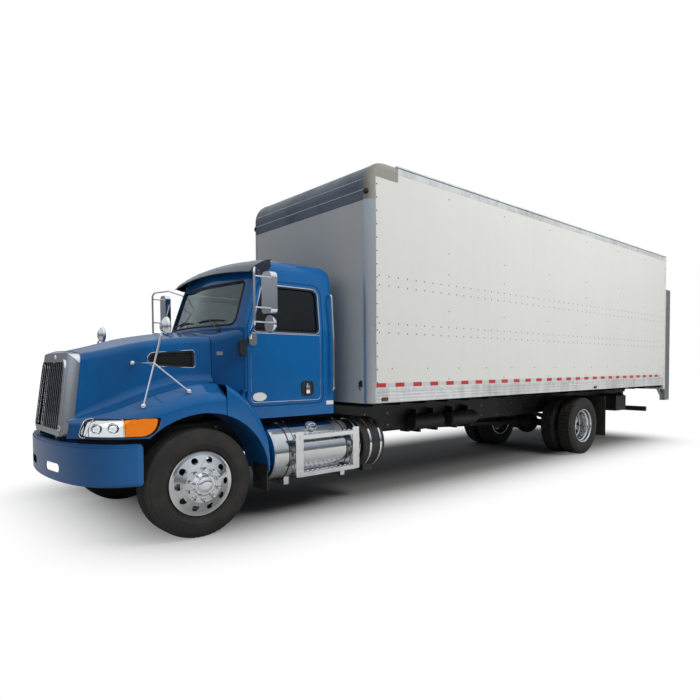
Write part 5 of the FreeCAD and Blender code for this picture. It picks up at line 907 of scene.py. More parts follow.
def tyre_mesh(bm, centre, radius, depth, lug):
    """A tyre with ribs and grooves. Every few steps a lug tyre's ribs are cut across."""
    half = tyre_profile(radius, depth)
    rows = [(-a, r, k) for a, r, k in reversed(half[1:])] + half
    verts = []
    for step in range(TYRE_STEPS):
        angle = 2 * math.pi * step / TYRE_STEPS
        ring = []
        for offset, r, kind in rows:
            cut = 0.0
            if kind == "rib" and lug and step % 5 == 0:
                cut = depth * 0.75
            if kind == "shoulder":
                if lug and (step + 2) % 5 == 0:
                    cut = depth * 0.9
                elif not lug and step % 4 == 0:
                    cut = 0.003
            r -= cut
            ring.append(bm.verts.new((centre.x + r * math.cos(angle), centre.y + offset,
                                      centre.z + r * math.sin(angle))))
        verts.append(ring)
    for step in range(TYRE_STEPS):
        here, there = verts[step], verts[(step + 1) % TYRE_STEPS]
        for k in range(len(rows)):
            j = (k + 1) % len(rows)
            bm.faces.new((here[k], here[j], there[j], there[k]))


class TRUCK_OT_tyres(bpy.types.Operator):
    """Builds the treaded tyres over the plain ones"""
    bl_idname = "truck.tyres"
    bl_label = "Tyres"

    def execute(self, context):
        depth = sizes().tread_depth
        for name in SIDE_NAME.values():
            low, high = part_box("tyre_front_" + name)
            half = (high.y - low.y) / 2
            bm = bmesh.new()
            tyre_mesh(bm, (low + high) / 2, (high.z - low.z) / 2, depth, False)
            self.fit(bm, "tyre_front_" + name, "front_%s_wheel" % name)
            low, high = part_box("tyres_rear_" + name)
            middle = (low + high) / 2
            radius = (high.z - low.z) / 2
            bm = bmesh.new()
            for y in (low.y + half, high.y - half):
                tyre_mesh(bm, Vector((middle.x, y, middle.z)), radius, depth * DRIVE_TREAD, True)
            self.fit(bm, "tyres_rear_" + name, "rear_%s_wheels" % name)
        return {"FINISHED"}

    def fit(self, bm, stood_for, body):
        """The treaded tyre in place of a plain one."""
        piece("treaded_" + stood_for, bm, "tyre_rubber", body, 28.0, [stood_for])


# Wheel hardware

NUT_LENGTH = 0.046
# For each axle: the body, the joint, the wheel's face out from it, the hub cover's foot, radius and reach,
# and the valve's points out from the face and up from the axle
WHEEL_ENDS = (
    ("front", "front_%s_wheel", FRONT_AXLE, 0.170, (0.166, 0.112, 0.058),
     ((0.004, 0.205), (0.020, 0.212), (0.040, 0.235))),
    ("rear", "rear_%s_wheels", REAR_AXLE, 0.022, (0.040, 0.108, 0.100),
     ((0.0, 0.195), (0.03, 0.200), (0.14, 0.232))),
)


def nut_ring(bm, centre, side, face_y, length):
    """Bright nut covers in a circle on a wheel's face."""
    count, radius = sizes().nut_count, sizes().nut_circle
    for i in range(count):
        angle = 2 * math.pi * (i + 0.5) / count
        foot = Vector((centre.x + radius * math.cos(angle), face_y, centre.z + radius * math.sin(angle)))
        turned(bm, [(0.0, 0.0255), (0.004, 0.0255), (0.007, 0.0205)], foot, (0, side, 0), 14)
        turned(bm, [(0.007, 0.0195), (length * 0.72, 0.0180), (length * 0.92, 0.0130), (length, 0.0)], foot,
               (0, side, 0), 6)


def hub_cover(bm, centre, side, face_y, radius, reach):
    """A stepped bright cap over the hub, with an oil window's ring."""
    profile = [(0.0, radius), (0.006, radius), (0.012, radius * 0.93), (reach * 0.45, radius * 0.88),
               (reach * 0.62, radius * 0.80), (reach * 0.66, radius * 0.62), (reach * 0.80, radius * 0.58),
               (reach * 0.92, radius * 0.50), (reach, radius * 0.30), (reach * 1.01, 0.0)]
    turned(bm, profile, (centre.x, face_y, centre.z), (0, side, 0), 40)
    for i in range(6):
        angle = 2 * math.pi * i / 6
        foot = (centre.x + radius * 0.72 * math.cos(angle), face_y + side * reach * 0.62,
                centre.z + radius * 0.72 * math.sin(angle))
        hex_head(bm, foot, (0, side, 0), 0.007, 0.009)


class TRUCK_OT_wheel_hardware(bpy.types.Operator):
    """Adds hub covers, nut covers and valves to the wheels"""
    bl_idname = "truck.wheel_hardware"
    bl_label = "Wheel hardware"

    def execute(self, context):
        for side in SIDES:
            for end, body, axle, face, cover, valve in WHEEL_ENDS:
                centre = Vector((axle.x, 0, AXLE_Z))
                bm = bmesh.new()
                nut_ring(bm, centre, side, side * (axle.y + face), NUT_LENGTH)
                hub_cover(bm, centre, side, side * (axle.y + cover[0]), *cover[1:])
                pipe(bm, [(axle.x, side * (axle.y + face + out), AXLE_Z + up) for out, up in valve], 0.005, 8)
                piece("hub_%s_%s" % (end, SIDE_NAME[side]), bm, "chrome", body % SIDE_NAME[side])
        return {"FINISHED"}


# Van body

# Heights of the rivet rows and of the rivets on the panel joints, and distances along the wall
TRACK_ROWS = (2.64, 2.53, 2.09, 1.98)
SPARSE_ROW = 1.56
SPARSE_PITCH = 0.61
SHEET_WIDTH = 1.22
JOINT_ROWS = (1.42, 2.30, 2.78, 3.05, 3.75)
WALL_FACE = BOX_HALF - 0.004


def studs(bm, side, out, places, radius, height=0.0035):
    """Rivets on one side of the body, at places along it and up."""
    for x, z in places:
        stud(bm, (x, side * out, z), (0, side, 0), radius, height)


def wall_rivets(bm, side):
    """Rivets of the cargo track rows, the floor line and the panel joints."""
    radius, pitch = sizes().rivet_radius, sizes().rivet_pitch
    x1 = BOX_FRONT - 0.108 - 0.055
    x0 = BOX_REAR + 0.11
    places = [(x1 - i * pitch, z) for i in range(int((x1 - x0) / pitch) + 1) for z in TRACK_ROWS]
    places += [(x1 - i * SPARSE_PITCH - 0.2, SPARSE_ROW) for i in range(int((x1 - x0) / SPARSE_PITCH) + 1)]
    places += [(x1 - i * SHEET_WIDTH, z) for i in range(1, 7) for z in JOINT_ROWS]
    places += [(x, RAIL_LOW.z + 0.18 + pitch * (k + 0.4)) for k in range(16) for x in (x1 + 0.035, x0 - 0.02)]
    studs(bm, side, WALL_FACE, places, radius)


def rail_rivets(bm, side):
    """Rivets along the top and bottom rails."""
    pitch = sizes().rivet_pitch
    x1, x0 = BOX_FRONT - 0.12, BOX_REAR + 0.09
    row = [x1 - i * pitch for i in range(int((x1 - x0) / pitch) + 1)]
    studs(bm, side, BOX_HALF, [(x, BOX_TOP - 0.075) for x in row if x < NOSE_LOW.x], 0.0060, 0.003)
    studs(bm, side, BOX_HALF - 0.0015, [(x, RAIL_LOW.z + 0.158) for x in row], 0.0065)
    studs(bm, side, BOX_HALF - 0.0015, [(x - pitch / 2, RAIL_LOW.z + 0.140) for x in row], 0.0050, 0.003)


class TRUCK_OT_rivets(bpy.types.Operator):
    """Sets the rivets of the van body's walls, rails, posts and nose"""
    bl_idname = "truck.rivets"
    bl_label = "Rivets"

    def execute(self, context):
        for side in SIDES:
            bm = bmesh.new()
            wall_rivets(bm, side)
            piece("wall_rivets_" + SIDE_NAME[side], bm, "wall_rivet", "chassis", 60.0)
            bm = bmesh.new()
            rail_rivets(bm, side)
            self.post_rivets(bm, side)
            piece("rail_rivets_" + SIDE_NAME[side], bm, "zinc_bolt", "chassis", 60.0)
        bm = bmesh.new()
        pitch = sizes().rivet_pitch
        for i in range(int((2 * NOSE_HIGH.y) / pitch)):
            y = NOSE_LOW.y + 0.06 + i * pitch
            stud(bm, (BOX_FRONT - 0.006, y, NOSE_LOW.z - 0.025), (1, 0, 0), 0.0055, 0.003)
            stud(bm, (BOX_FRONT, y, RAIL_LOW.z + 0.14), (1, 0, 0), 0.0065, 0.0035)
        piece("front_rivets", bm, "zinc_bolt", "chassis", 60.0)
        return {"FINISHED"}

    def post_rivets(self, bm, side):
        """Rivets up the post's forward flange and round the casting's edge."""
        pitch = sizes().rivet_pitch
        for k in range(14):
            z = RAIL_LOW.z + 0.24 + k * pitch
            found = meet("corner_posts", (BOX_FRONT + 0.5, side * (BOX_HALF - 0.090), z), (-1, 0, 0))
            if found:
                stud(bm, found[0], found[1], 0.006, 0.0035)
        edge = [(BOX_FRONT - 0.085, NOSE_LOW.z + 0.04 + k * 0.045) for k in range(5)]
        edge += [(BOX_FRONT - 0.26 - k * 0.055, BOX_TOP - 0.085) for k in range(4)]
        studs(bm, side, BOX_HALF - 0.0005, edge, 0.0055)


TAPE_Z = 1.364


def tape_run(bms, start, step, up, out, count, width):
    """Alternating red and white blocks of tape along a line."""
    for i in range(count):
        a = Vector(start) + Vector(step) * i
        b = a + Vector(step) * 0.985
        rise = Vector(up) * (width / 2)
        patch(bms[i % 2], [a - rise, b - rise, b + rise, a + rise], out, 0.0008)


class TRUCK_OT_tape(bpy.types.Operator):
    """Lays the red and white reflective tape along the sides and the rear"""
    bl_idname = "truck.tape"
    bl_label = "Reflective tape"

    def execute(self, context):
        period, width = sizes().tape_period, sizes().tape_width
        x1 = BOX_FRONT - 0.108 - 0.002
        count = int((x1 - BOX_REAR - 0.08) / period)
        for side in SIDES:
            bms = (bmesh.new(), bmesh.new())
            start = (x1, side * WALL_FACE, TAPE_Z)
            tape_run(bms, start, (-period, 0, 0), (0, 0, 1), (0, side, 0), count, width)
            piece("tape_red_" + SIDE_NAME[side], bms[0], "red_tape", "chassis")
            piece("tape_white_" + SIDE_NAME[side], bms[1], "white_tape", "chassis")
        bms = (bmesh.new(), bmesh.new())
        half = REAR_HIGH.y
        count = int(2 * half / period)
        start = (REAR_LOW.x, -count * period / 2, REAR_LOW.z + 0.030)
        tape_run(bms, start, (0, period, 0), (0, 0, 1), (-1, 0, 0), count, width)
        for side in SIDES:
            corner = Vector((REAR_LOW.x, side * (half - 0.03), REAR_HIGH.z - 0.05))
            tape_run((bms[1], bms[1]), corner, (0, -side * period, 0), (0, 0, 1), (-1, 0, 0), 2, width)
            below = corner - Vector((0, 0, 0.03))
            tape_run((bms[1], bms[1]), below, (0, 0, -period), (0, 1, 0), (-1, 0, 0), 2, width)
        piece("tape_red_rear", bms[0], "red_tape", "chassis")
        piece("tape_white_rear", bms[1], "white_tape", "chassis")
        return {"FINISHED"}


class TRUCK_OT_van_fittings(bpy.types.Operator):
    """Adds the nose sheet's beads, seam lines and the front wall's fittings"""
    bl_idname = "truck.van_fittings"
    bl_label = "Van body fittings"

    def execute(self, context):
        bm = bmesh.new()
        for z in (NOSE_LOW.z + 0.11, NOSE_LOW.z + 0.235):
            found = meet("nose_sheet", (BOX_FRONT + 0.5, 0.0, z), (-1, 0, 0))
            x = found[0].x if found else BOX_FRONT - 0.02
            pipe(bm, [(x, NOSE_LOW.y, z), (x, NOSE_HIGH.y, z)], 0.005, 8)
        x = NOSE_LOW.x + 0.14
        found = meet("nose_sheet", (x, 0.0, BOX_TOP + 0.5), (0, 0, -1))
        if found:
            pipe(bm, [(x, NOSE_LOW.y, found[0].z), (x, NOSE_HIGH.y, found[0].z)], 0.005, 8)
        piece("nose_beads", bm, "mill_aluminium", "chassis", 50.0)

        bm = bmesh.new()
        for side in SIDES:
            pipe(bm, [(NOSE_LOW.x, side * (BOX_HALF - 0.006), BOX_TOP - 0.028),
                      (BOX_REAR + 0.07, side * (BOX_HALF - 0.006), BOX_TOP - 0.028)], 0.004, 8)
            pipe(bm, [(BOX_FRONT - 0.1085, side * (BOX_HALF - 0.002), RAIL_LOW.z + 0.18),
                      (BOX_FRONT - 0.1085, side * (BOX_HALF - 0.002), NOSE_LOW.z + 0.1)], 0.0025, 6)
        pipe(bm, [(BOX_FRONT - 0.005, NOSE_LOW.y, NOSE_LOW.z), (BOX_FRONT - 0.005, NOSE_HIGH.y, NOSE_LOW.z)],
             0.003, 8)
        piece("seam_sealant", bm, "black_rubber", "chassis", 50.0)

        bm = bmesh.new()
        y = BOX_HALF - 0.15
        block(bm, (BOX_FRONT - 0.007, y - 0.02, 1.345), (BOX_FRONT + 0.012, y + 0.02, 1.42), 0.006)
        pipe(bm, [(BOX_FRONT + 0.008, y, 1.41), (BOX_FRONT + 0.03, y, 1.40), (BOX_FRONT + 0.03, y, 1.33),
                  (BOX_FRONT + 0.01, y, 1.31)], 0.006, 8)
        piece("front_wall_fitting", bm, "satin_black", "chassis")
        return {"FINISHED"}


# Lamps

def side_lamp(bms, place, side):
    """A small oblong amber lamp in its bezel."""
    x, y, z = place
    block(bms["bezel"], (x - 0.050, y - 0.002 * side, z - 0.022), (x + 0.050, y + 0.007 * side, z + 0.022),
          0.004)
    block(bms["lens"], (x - 0.042, y + 0.003 * side, z - 0.016), (x + 0.042, y + 0.016 * side, z + 0.016),
          0.006, 3)


LAMP_PARTS = (("lens", "lamp_lenses", "amber_lens", "lamp"), ("red", "lamp_red_lenses", "red_lens", "lamp"),
              ("white", "lamp_clear_lenses", "clear_lens", "lamp"),
              ("bezel", "lamp_bezels", "satin_black", "trim_plastic"),
              ("base", "lamp_bases", "chrome", "chrome"))


class TRUCK_OT_marker_lamps(bpy.types.Operator):
    """Builds the roof, side, corner and rear lamps in place of the plain ones"""
    bl_idname = "truck.marker_lamps"
    bl_label = "Marker lamps"

    def execute(self, context):
        bms = {row[0]: bmesh.new() for row in LAMP_PARTS}
        for low, high in self.lamp_places():
            centre = (low + high) / 2
            size = high - low
            if centre.x > FX - 1.4 and centre.z > 2.6:
                self.roof_lamp(bms, low, high, centre)
            elif size.y < 0.03 and abs(centre.y) > 1.2:
                side = 1 if centre.y > 0 else -1
                side_lamp(bms, (centre.x, side * BOX_HALF, centre.z), side)
            else:
                self.round_lamp(bms, low, high, centre, abs(centre.y) > 0.78)
        for side in SIDES:
            start = (BOX_FRONT + 0.5, side * (BOX_HALF - 0.055), NOSE_LOW.z + 0.085)
            found = meet("corner_posts", start, (-1, 0, 0))
            if found:
                foot, out = found
                turned(bms["bezel"], closed([(-0.006, 0.034), (0.006, 0.034), (0.009, 0.030)]), foot, out, 20)
                turned(bms["red"], closed([(0.004, 0.027), (0.013, 0.024), (0.017, 0.014)]), foot, out, 20)
        for key, name, finish, slot in LAMP_PARTS:
            piece(name, bms[key], finish, "chassis", 40.0, ["marker_lamps"])
        return {"FINISHED"}

    def lamp_places(self):
        """Each plain lamp's lowest and highest corner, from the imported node's separate shells."""
        bm = bmesh.new()
        bm.from_mesh(NODES["marker_lamps"].data)
        bmesh.ops.remove_doubles(bm, verts=bm.verts, dist=1e-5)
        seen, found = set(), []
        for vert in bm.verts:
            if vert in seen:
                continue
            stack, shell = [vert], []
            seen.add(vert)
            while stack:
                here = stack.pop()
                shell.append(here.co.copy())
                for edge in here.link_edges:
                    other = edge.other_vert(here)
                    if other not in seen:
                        seen.add(other)
                        stack.append(other)
            low = Vector([min(c[i] for c in shell) for i in range(3)])
            high = Vector([max(c[i] for c in shell) for i in range(3)])
            found.append((low, high))
        bm.free()
        return found

    def roof_lamp(self, bms, low, high, centre):
        """A teardrop bright base with a fluted amber dome."""
        y = centre.y
        rise = high.z - 0.030
        x0, x1 = low.x, high.x
        turned(bms["base"], [(0.0, 0.046), (0.010, 0.045), (0.024, 0.038), (0.028, 0.031), (0.028, 0.0)],
               (x1 - 0.046, y, rise - 0.024), (0, 0, 1), 24)
        block(bms["base"], (x0, y - 0.028, rise - 0.040), (x1 - 0.046, y + 0.028, rise - 0.008), 0.010, 3)
        block(bms["base"], (x0 + 0.01, y - 0.034, low.z), (x1 - 0.004, y + 0.034, rise - 0.018), 0.006)
        turned(bms["lens"], [(0.0, 0.029), (0.012, 0.0275), (0.022, 0.021), (0.027, 0.011), (0.029, 0.0)],
               (x1 - 0.046, y, rise), (0, 0, 1), 24)

    def round_lamp(self, bms, low, high, centre, tail):
        """A round lamp in a rubber ring on the rear frame. The outer pair are red, the inner clear."""
        radius = (high.z - low.z) / 2
        foot = (high.x, centre.y, centre.z)
        small = radius < 0.04
        kind = "red" if tail or small else "white"
        turned(bms["bezel"], [(0.0, radius), (0.008, radius), (0.011, radius * 0.93), (0.008, radius * 0.88)],
               foot, (-1, 0, 0), 28)
        turned(bms[kind], [(0.004, radius * 0.88), (0.010, radius * 0.86), (0.014, radius * 0.6),
                           (0.015, 0.0)], foot, (-1, 0, 0), 28)


LAMP_EDGE = ((0.884, 0.967, 0.026), (0.850, 1.132, 0.090), (0.330, 1.138, 0.020), (0.362, 0.967, 0.140))
LAMP_MIDDLE = (0.70, 0.93, 1.045)       # ahead of the front axle, out, up
LAMP_SHRINK = 0.90                      # the reflector's body over the lens
LAMP_BOWLS = ((0.792, 1.046, 0.047), (0.690, 1.052, 0.047))     # ahead of the front axle, height, radius


class TRUCK_OT_headlamps(bpy.types.Operator):
    """Fills the headlamps with reflectors and rims them"""
    bl_idname = "truck.headlamps"
    bl_label = "Headlamps"

    def execute(self, context):
        bodies = bmesh.new()
        bodies.from_mesh(NODES["headlamps"].data)
        for vert in bodies.verts:
            side = 1 if vert.co.y > 0 else -1
            middle = Vector((FX + LAMP_MIDDLE[0], side * LAMP_MIDDLE[1], LAMP_MIDDLE[2]))
            vert.co = middle + (vert.co - middle) * LAMP_SHRINK + Vector((-0.022, -side * 0.020, 0.0))
        piece("lamp_bodies", bodies, "chrome", "hood", 30.0)
        rims, bowls = bmesh.new(), bmesh.new()
        for side in SIDES:
            self.rim(rims, side)
            for fwd, z, radius in LAMP_BOWLS:
                found = meet_side("headlamps", fwd, side, z)
                if found:
                    out = Vector((0.75, side * 0.66, 0)).normalized()
                    foot = found[0] - out * 0.036
                    turned(bowls, [(0.026, radius), (0.022, radius * 0.97), (0.006, radius * 0.72),
                                   (0.0, radius * 0.30), (0.0, 0.0)], foot, out, 28)
                    turned(bowls, [(0.0, 0.008), (0.020, 0.008), (0.024, 0.0)], foot, out, 12)
        piece("lamp_bowls", bowls, "chrome", "hood", 40.0)
        piece("lamp_rims", rims, "chrome", "hood", 50.0)
        return {"FINISHED"}

    def rim(self, bm, side):
        """A bright line round the lamp's opening and down the joint of its two parts."""
        outline = rounded(grown(LAMP_EDGE, 0.003), 5)
        line = []
        for here, after in zip(outline, outline[1:] + outline[:1]):
            for share in (0.0, 0.34, 0.67):
                point = here.lerp(after, share)
                found = meet_side("hood_shell", point[0], side, point[1])
                lamp = meet_side("headlamps", point[0], side, point[1])
                best = found or lamp
                if found and lamp and lamp[0].y * side > found[0].y * side:
                    best = lamp
                if best:
                    line.append(best[0] + best[1] * 0.001)
        pipe(bm, spaced(line, 0.004, 0.10), 0.0045, 8, True)
        joint = []
        for k in range(9):
            found = meet_side("headlamps", LAMP_SPLIT, side, 0.985 + 0.145 * k / 8)
            if found:
                joint.append(found[0] + found[1] * 0.0005)
        if len(joint) > 2:
            pipe(bm, joint, 0.0035, 8)


# Hood, grille and mirrors

SIDE_PAD = (-0.547, 1.780)              # the cowl's black pad: ahead of the front axle, up
HOOD_LATCH = (-0.407, 1.405)            # the latch across the hood's seam: ahead of the front axle, up
COWL_PLATE = (-0.390, 1.723)            # the small blank plate on the cowl
HOOD_MIRROR = (0.192, 0.945, 1.958)     # the round mirror's glass: ahead of the front axle, out, up
# The door mirror's glass: out, up and corner radius
DOOR_MIRROR = ((1.225, 2.119, 0.035), (1.375, 2.119, 0.035), (1.375, 2.501, 0.050), (1.225, 2.501, 0.050))
WIRE_REACH = (0.429, 0.391)             # the grille wires' half length, at the bottom and at the top
WIRES = 34
INTAKE_EDGE = ((-0.150, 1.578, 0.030), (-0.150, 1.752, 0.030), (0.268, 1.720, 0.060), (0.268, 1.600, 0.060))
INTAKE_MIDDLE = Vector((0.06, 1.662))
WIRE_DEPTH = 0.041                      # the wires' middle behind the grille's front


class TRUCK_OT_grille(bpy.types.Operator):
    """Adds the grille's wires, hood knobs, latches, cowl pads, intake rims and mirror glass"""
    bl_idname = "truck.grille"
    bl_label = "Grille and hood trim"

    def execute(self, context):
        low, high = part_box("grille_bars")
        bm = bmesh.new()
        for k in range(WIRES):
            z = low.z + 0.02 + k * (high.z - low.z - 0.04) / (WIRES - 1)
            reach = WIRE_REACH[0] + (WIRE_REACH[1] - WIRE_REACH[0]) * (z - low.z) / (high.z - low.z)
            x = high.x + GRILLE_RAKE * (low.z - z) - WIRE_DEPTH
            pipe(bm, [(x, -reach, z), (x, reach, z)], 0.0022, 6)
        piece("grille_wires", bm, "black_steel", "hood", 60.0)
        bm = bmesh.new()
        for side in SIDES:
            found = meet_side("hood_shell", 0.885, side, 1.42, 1.2)
            if found:
                foot, out = found
                turned(bm, closed([(-0.002, 0.030), (0.006, 0.030), (0.010, 0.024), (0.022, 0.018),
                                   (0.040, 0.024), (0.050, 0.022), (0.054, 0.012)]), foot, out, 24)
        found = meet("grille_surround", (FX + 1.3, 0.0, high.z + 0.030), (-1, 0, 0))
        if found:
            foot, out = found
            turned(bm, closed([(-0.003, 0.040), (0.003, 0.040), (0.006, 0.034), (0.009, 0.026)]), foot, out,
                   32)
        piece("hood_knobs", bm, "chrome", "hood")
        self.latches()
        self.intake_rims()
        self.mirror_faces()
        self.side_pads()
        return {"FINISHED"}

    def side_pads(self):
        """A raised black oval pad on each side of the cowl, ahead of the door."""
        bm = bmesh.new()
        for side in SIDES:
            found = meet_side("cowl", SIDE_PAD[0], side, SIDE_PAD[1])
            if found:
                foot, out = found
                closed_rings(bm, [[bm.verts.new(foot + out * rise + Vector((ahead, 0, up)) * share)
                                   for ahead, up in oblong(0.040, 0.088, 0.039)]
                                  for rise, share in ((-0.004, 1.0), (0.020, 1.0), (0.028, 0.9))])
        piece("cowl_pads", bm, "black_rubber", "chassis", 40.0)

    def latches(self):
        """Rubber hood latches across the seam, and the blank plates on the cowl."""
        bm, plates = bmesh.new(), bmesh.new()
        for side in SIDES:
            found = meet_side("cowl", HOOD_LATCH[0], side, HOOD_LATCH[1])
            if found:
                x, y, z = found[0]
                block(bm, (x - 0.040, y - 0.004 * side, z - 0.016), (x + 0.052, y + 0.022 * side, z + 0.016),
                      0.008, 3)
                pipe(bm, [(x + 0.045, y + 0.010 * side, z), (x + 0.085, y + 0.020 * side, z - 0.006)], 0.009)
            found = meet_side("cowl", COWL_PLATE[0], side, COWL_PLATE[1])
            if found:
                foot, out = found
                ahead = Vector((0, 0, 1)).cross(out).normalized() * 0.030
                up = out.cross(ahead).normalized() * 0.019
                patch(plates, [foot - ahead - up, foot + ahead - up, foot + ahead + up, foot - ahead + up],
                      out, 0.003)
        piece("hood_latches", bm, "black_rubber", "chassis")
        piece("cowl_plates", plates, "chrome", "chassis")

    def intake_rims(self):
        """A thin bright line round each side intake."""
        bm = bmesh.new()
        outline = rounded(INTAKE_EDGE)
        for side in SIDES:
            line = []
            for point in outline:
                ahead, up = INTAKE_MIDDLE + (point - INTAKE_MIDDLE) * 1.035
                found = meet_side("hood_shell", ahead, side, up)
                if found:
                    line.append(found[0] + found[1] * 0.001)
            pipe(bm, spaced(line, 0.003), 0.0035, 8, True)
        piece("intake_rims", bm, "chrome", "hood", 50.0)

    def mirror_faces(self):
        """Silvered glass in the backs of the round hood mirrors and of the door mirrors."""
        bm = bmesh.new()
        for side in SIDES:
            ahead, out, up = HOOD_MIRROR
            turned(bm, closed([(0.0, 0.080), (0.0015, 0.080)]), (FX + ahead, side * out, up), (-1, 0, 0), 40)
        piece("hood_mirror_glass", bm, "mirror_face", "hood", 30.0)
        for side in SIDES:
            bm = bmesh.new()
            corners = rounded(DOOR_MIRROR)
            patch(bm, [(FX - 0.700, side * a, b) for a, b in corners], (-1, 0, 0), 0.002)
            turned(bm, closed([(0.0, 0.076), (0.0015, 0.076)]), (FX - 0.695, side * 1.300, 2.005),
                   (-1, 0, 0), 36)
            name = SIDE_NAME[side]
            piece("door_mirror_glass_" + name, bm, "mirror_face", name + "_door", 30.0)


# Cab

DOOR_EDGE = ((-1.552, 1.180, 0.082), (-1.552, 2.492, 0.102), (-0.788, 2.492, 0.045), (-0.614, 1.988, 0.150),
             (-0.614, 1.180, 0.082))
WINDOW_EDGE = ((-1.492, 1.968, 0.040), (-1.492, 2.432, 0.066), (-0.826, 2.432, 0.046), (-0.684, 1.968, 0.030))
BACK_WINDOW_EDGE = ((-0.56, 2.01, 0.05), (0.56, 2.01, 0.05), (0.54, 2.40, 0.05), (-0.54, 2.40, 0.05))
SCREEN_EDGE = ((-0.792, 2.036, 0.060), (0.792, 2.036, 0.060), (0.752, 2.484, 0.060), (-0.752, 2.484, 0.060))


def grown(corners, amount):
    """Corner points moved outward from their middle by about an amount."""
    middle = Vector((sum(c[0] for c in corners) / len(corners), sum(c[1] for c in corners) / len(corners)))
    out = []
    for corner in corners:
        way = Vector((math.copysign(1, corner[0] - middle[0]), math.copysign(1, corner[1] - middle[1])))
        out.append((corner[0] + way[0] * amount, corner[1] + way[1] * amount, max(corner[2] + amount, 0.004)))
    return out


def side_line(corners, side, lift):
    """An outline laid on the cab's side."""
    return [(FX + ahead, side * (side_y(up) + lift), up) for ahead, up in walked(rounded(corners, 8), 0.12)]


PANEL_EDGE = ((-1.53, 1.21, 0.07), (-1.53, 1.93, 0.02), (-0.65, 1.93, 0.02), (-0.65, 1.21, 0.07))
DOOR_PULL = (-1.342, 1.342)             # middle of the door's pull: ahead of the front axle, up
DOOR_LABEL = (-0.746, 1.272)            # middle of the left door's oval label


class TRUCK_OT_doors(bpy.types.Operator):
    """Adds door trim, gaskets, handles and inner panels"""
    bl_idname = "truck.doors"
    bl_label = "Doors"

    def execute(self, context):
        radius = sizes().trim_radius
        for side in SIDES:
            name = SIDE_NAME[side]
            body = name + "_door"
            bm = bmesh.new()
            pipe(bm, side_line(grown(DOOR_EDGE, -0.034), side, 0.001), radius, 8, True)
            belt = [(FX + ahead, side * (CAB_HALF + 0.001), 1.935) for ahead in (-1.515, -0.655)]
            pipe(bm, belt, radius, 8)
            pipe(bm, side_line(grown(WINDOW_EDGE, 0.020), side, 0.001), radius, 8, True)
            piece("door_trim_" + name, bm, "chrome", body, 50.0)
            bm = bmesh.new()
            pipe(bm, side_line(grown(WINDOW_EDGE, 0.004), side, -0.002), 0.009, 10, True)
            pipe(bm, side_line(DOOR_EDGE, side, -0.006), 0.005, 8, True)
            piece("door_gasket_" + name, bm, "black_rubber", body, 50.0)
            self.handle(side, name, body)
            self.inner_panel(side, name, body)
        self.label()
        return {"FINISHED"}

    def handle(self, side, name, body):
        """A black escutcheon over the pull recess with an upright bright paddle and lock."""
        cup, bright = bmesh.new(), bmesh.new()
        middle = Vector((FX + DOOR_PULL[0], side * CAB_HALF, DOOR_PULL[1]))
        section = ((0.0006, 1.0), (0.006, 0.99), (0.008, 0.94), (0.008, 0.80), (0.003, 0.74))
        closed_rings(cup, [[cup.verts.new(middle + Vector((ahead * share, side * rise, up * share)))
                            for ahead, up in oblong(0.083, 0.084, 0.040)] for rise, share in section])
        low = middle + Vector((-0.026, 0.004 * side, -0.058))
        high = middle + Vector((0.026, 0.019 * side, 0.034))
        block(bright, low, high, 0.007, 3)
        stud(bright, middle + Vector((0.0, 0.003 * side, 0.050)), (0, side, 0), 0.011, 0.008, 16)
        piece("door_cup_" + name, cup, "satin_black", body, 40.0)
        piece("door_paddle_" + name, bright, "chrome", body)

    def label(self):
        """The blank oval label low on the left door."""
        bm = bmesh.new()
        ahead, up = DOOR_LABEL
        ring = [(FX + ahead + 0.080 * math.cos(turn), CAB_HALF, up + 0.044 * math.sin(turn))
                for turn in [math.tau * k / 40 for k in range(40)]]
        patch(bm, ring, (0, 1, 0), 0.0012)
        piece("door_label_left", bm, "blank_label", "left_door", 40.0)
        bm = bmesh.new()
        pipe(bm, [Vector(c) + Vector((0, 0.001, 0)) for c in ring], 0.0022, 6, True)
        piece("door_label_rim_left", bm, "chrome", "left_door", 40.0)

    def inner_panel(self, side, name, body):
        """The moulded panel on the door's inside, with its armrest and pull."""
        y = side * (CAB_HALF - 0.055)
        bm = bmesh.new()
        corners = rounded(grown(PANEL_EDGE, -0.005), 5)
        patch(bm, [(FX + a, y, b) for a, b in corners], (0, -side, 0), 0.006)
        block(bm, (FX - 1.36, y - side * 0.045, 1.60), (FX - 0.90, y - side * 0.002, 1.655), 0.014, 3)
        block(bm, (FX - 1.20, y - side * 0.020, 1.26), (FX - 0.78, y - side * 0.004, 1.42), 0.010, 3)
        pipe(bm, [(FX - 0.83, y - side * 0.005, 1.70), (FX - 0.83, y - side * 0.035, 1.72),
                  (FX - 0.83, y - side * 0.035, 1.86), (FX - 0.83, y - side * 0.005, 1.88)], 0.009, 10)
        piece("door_panel_inner_" + name, bm, "moulded_plastic", body)


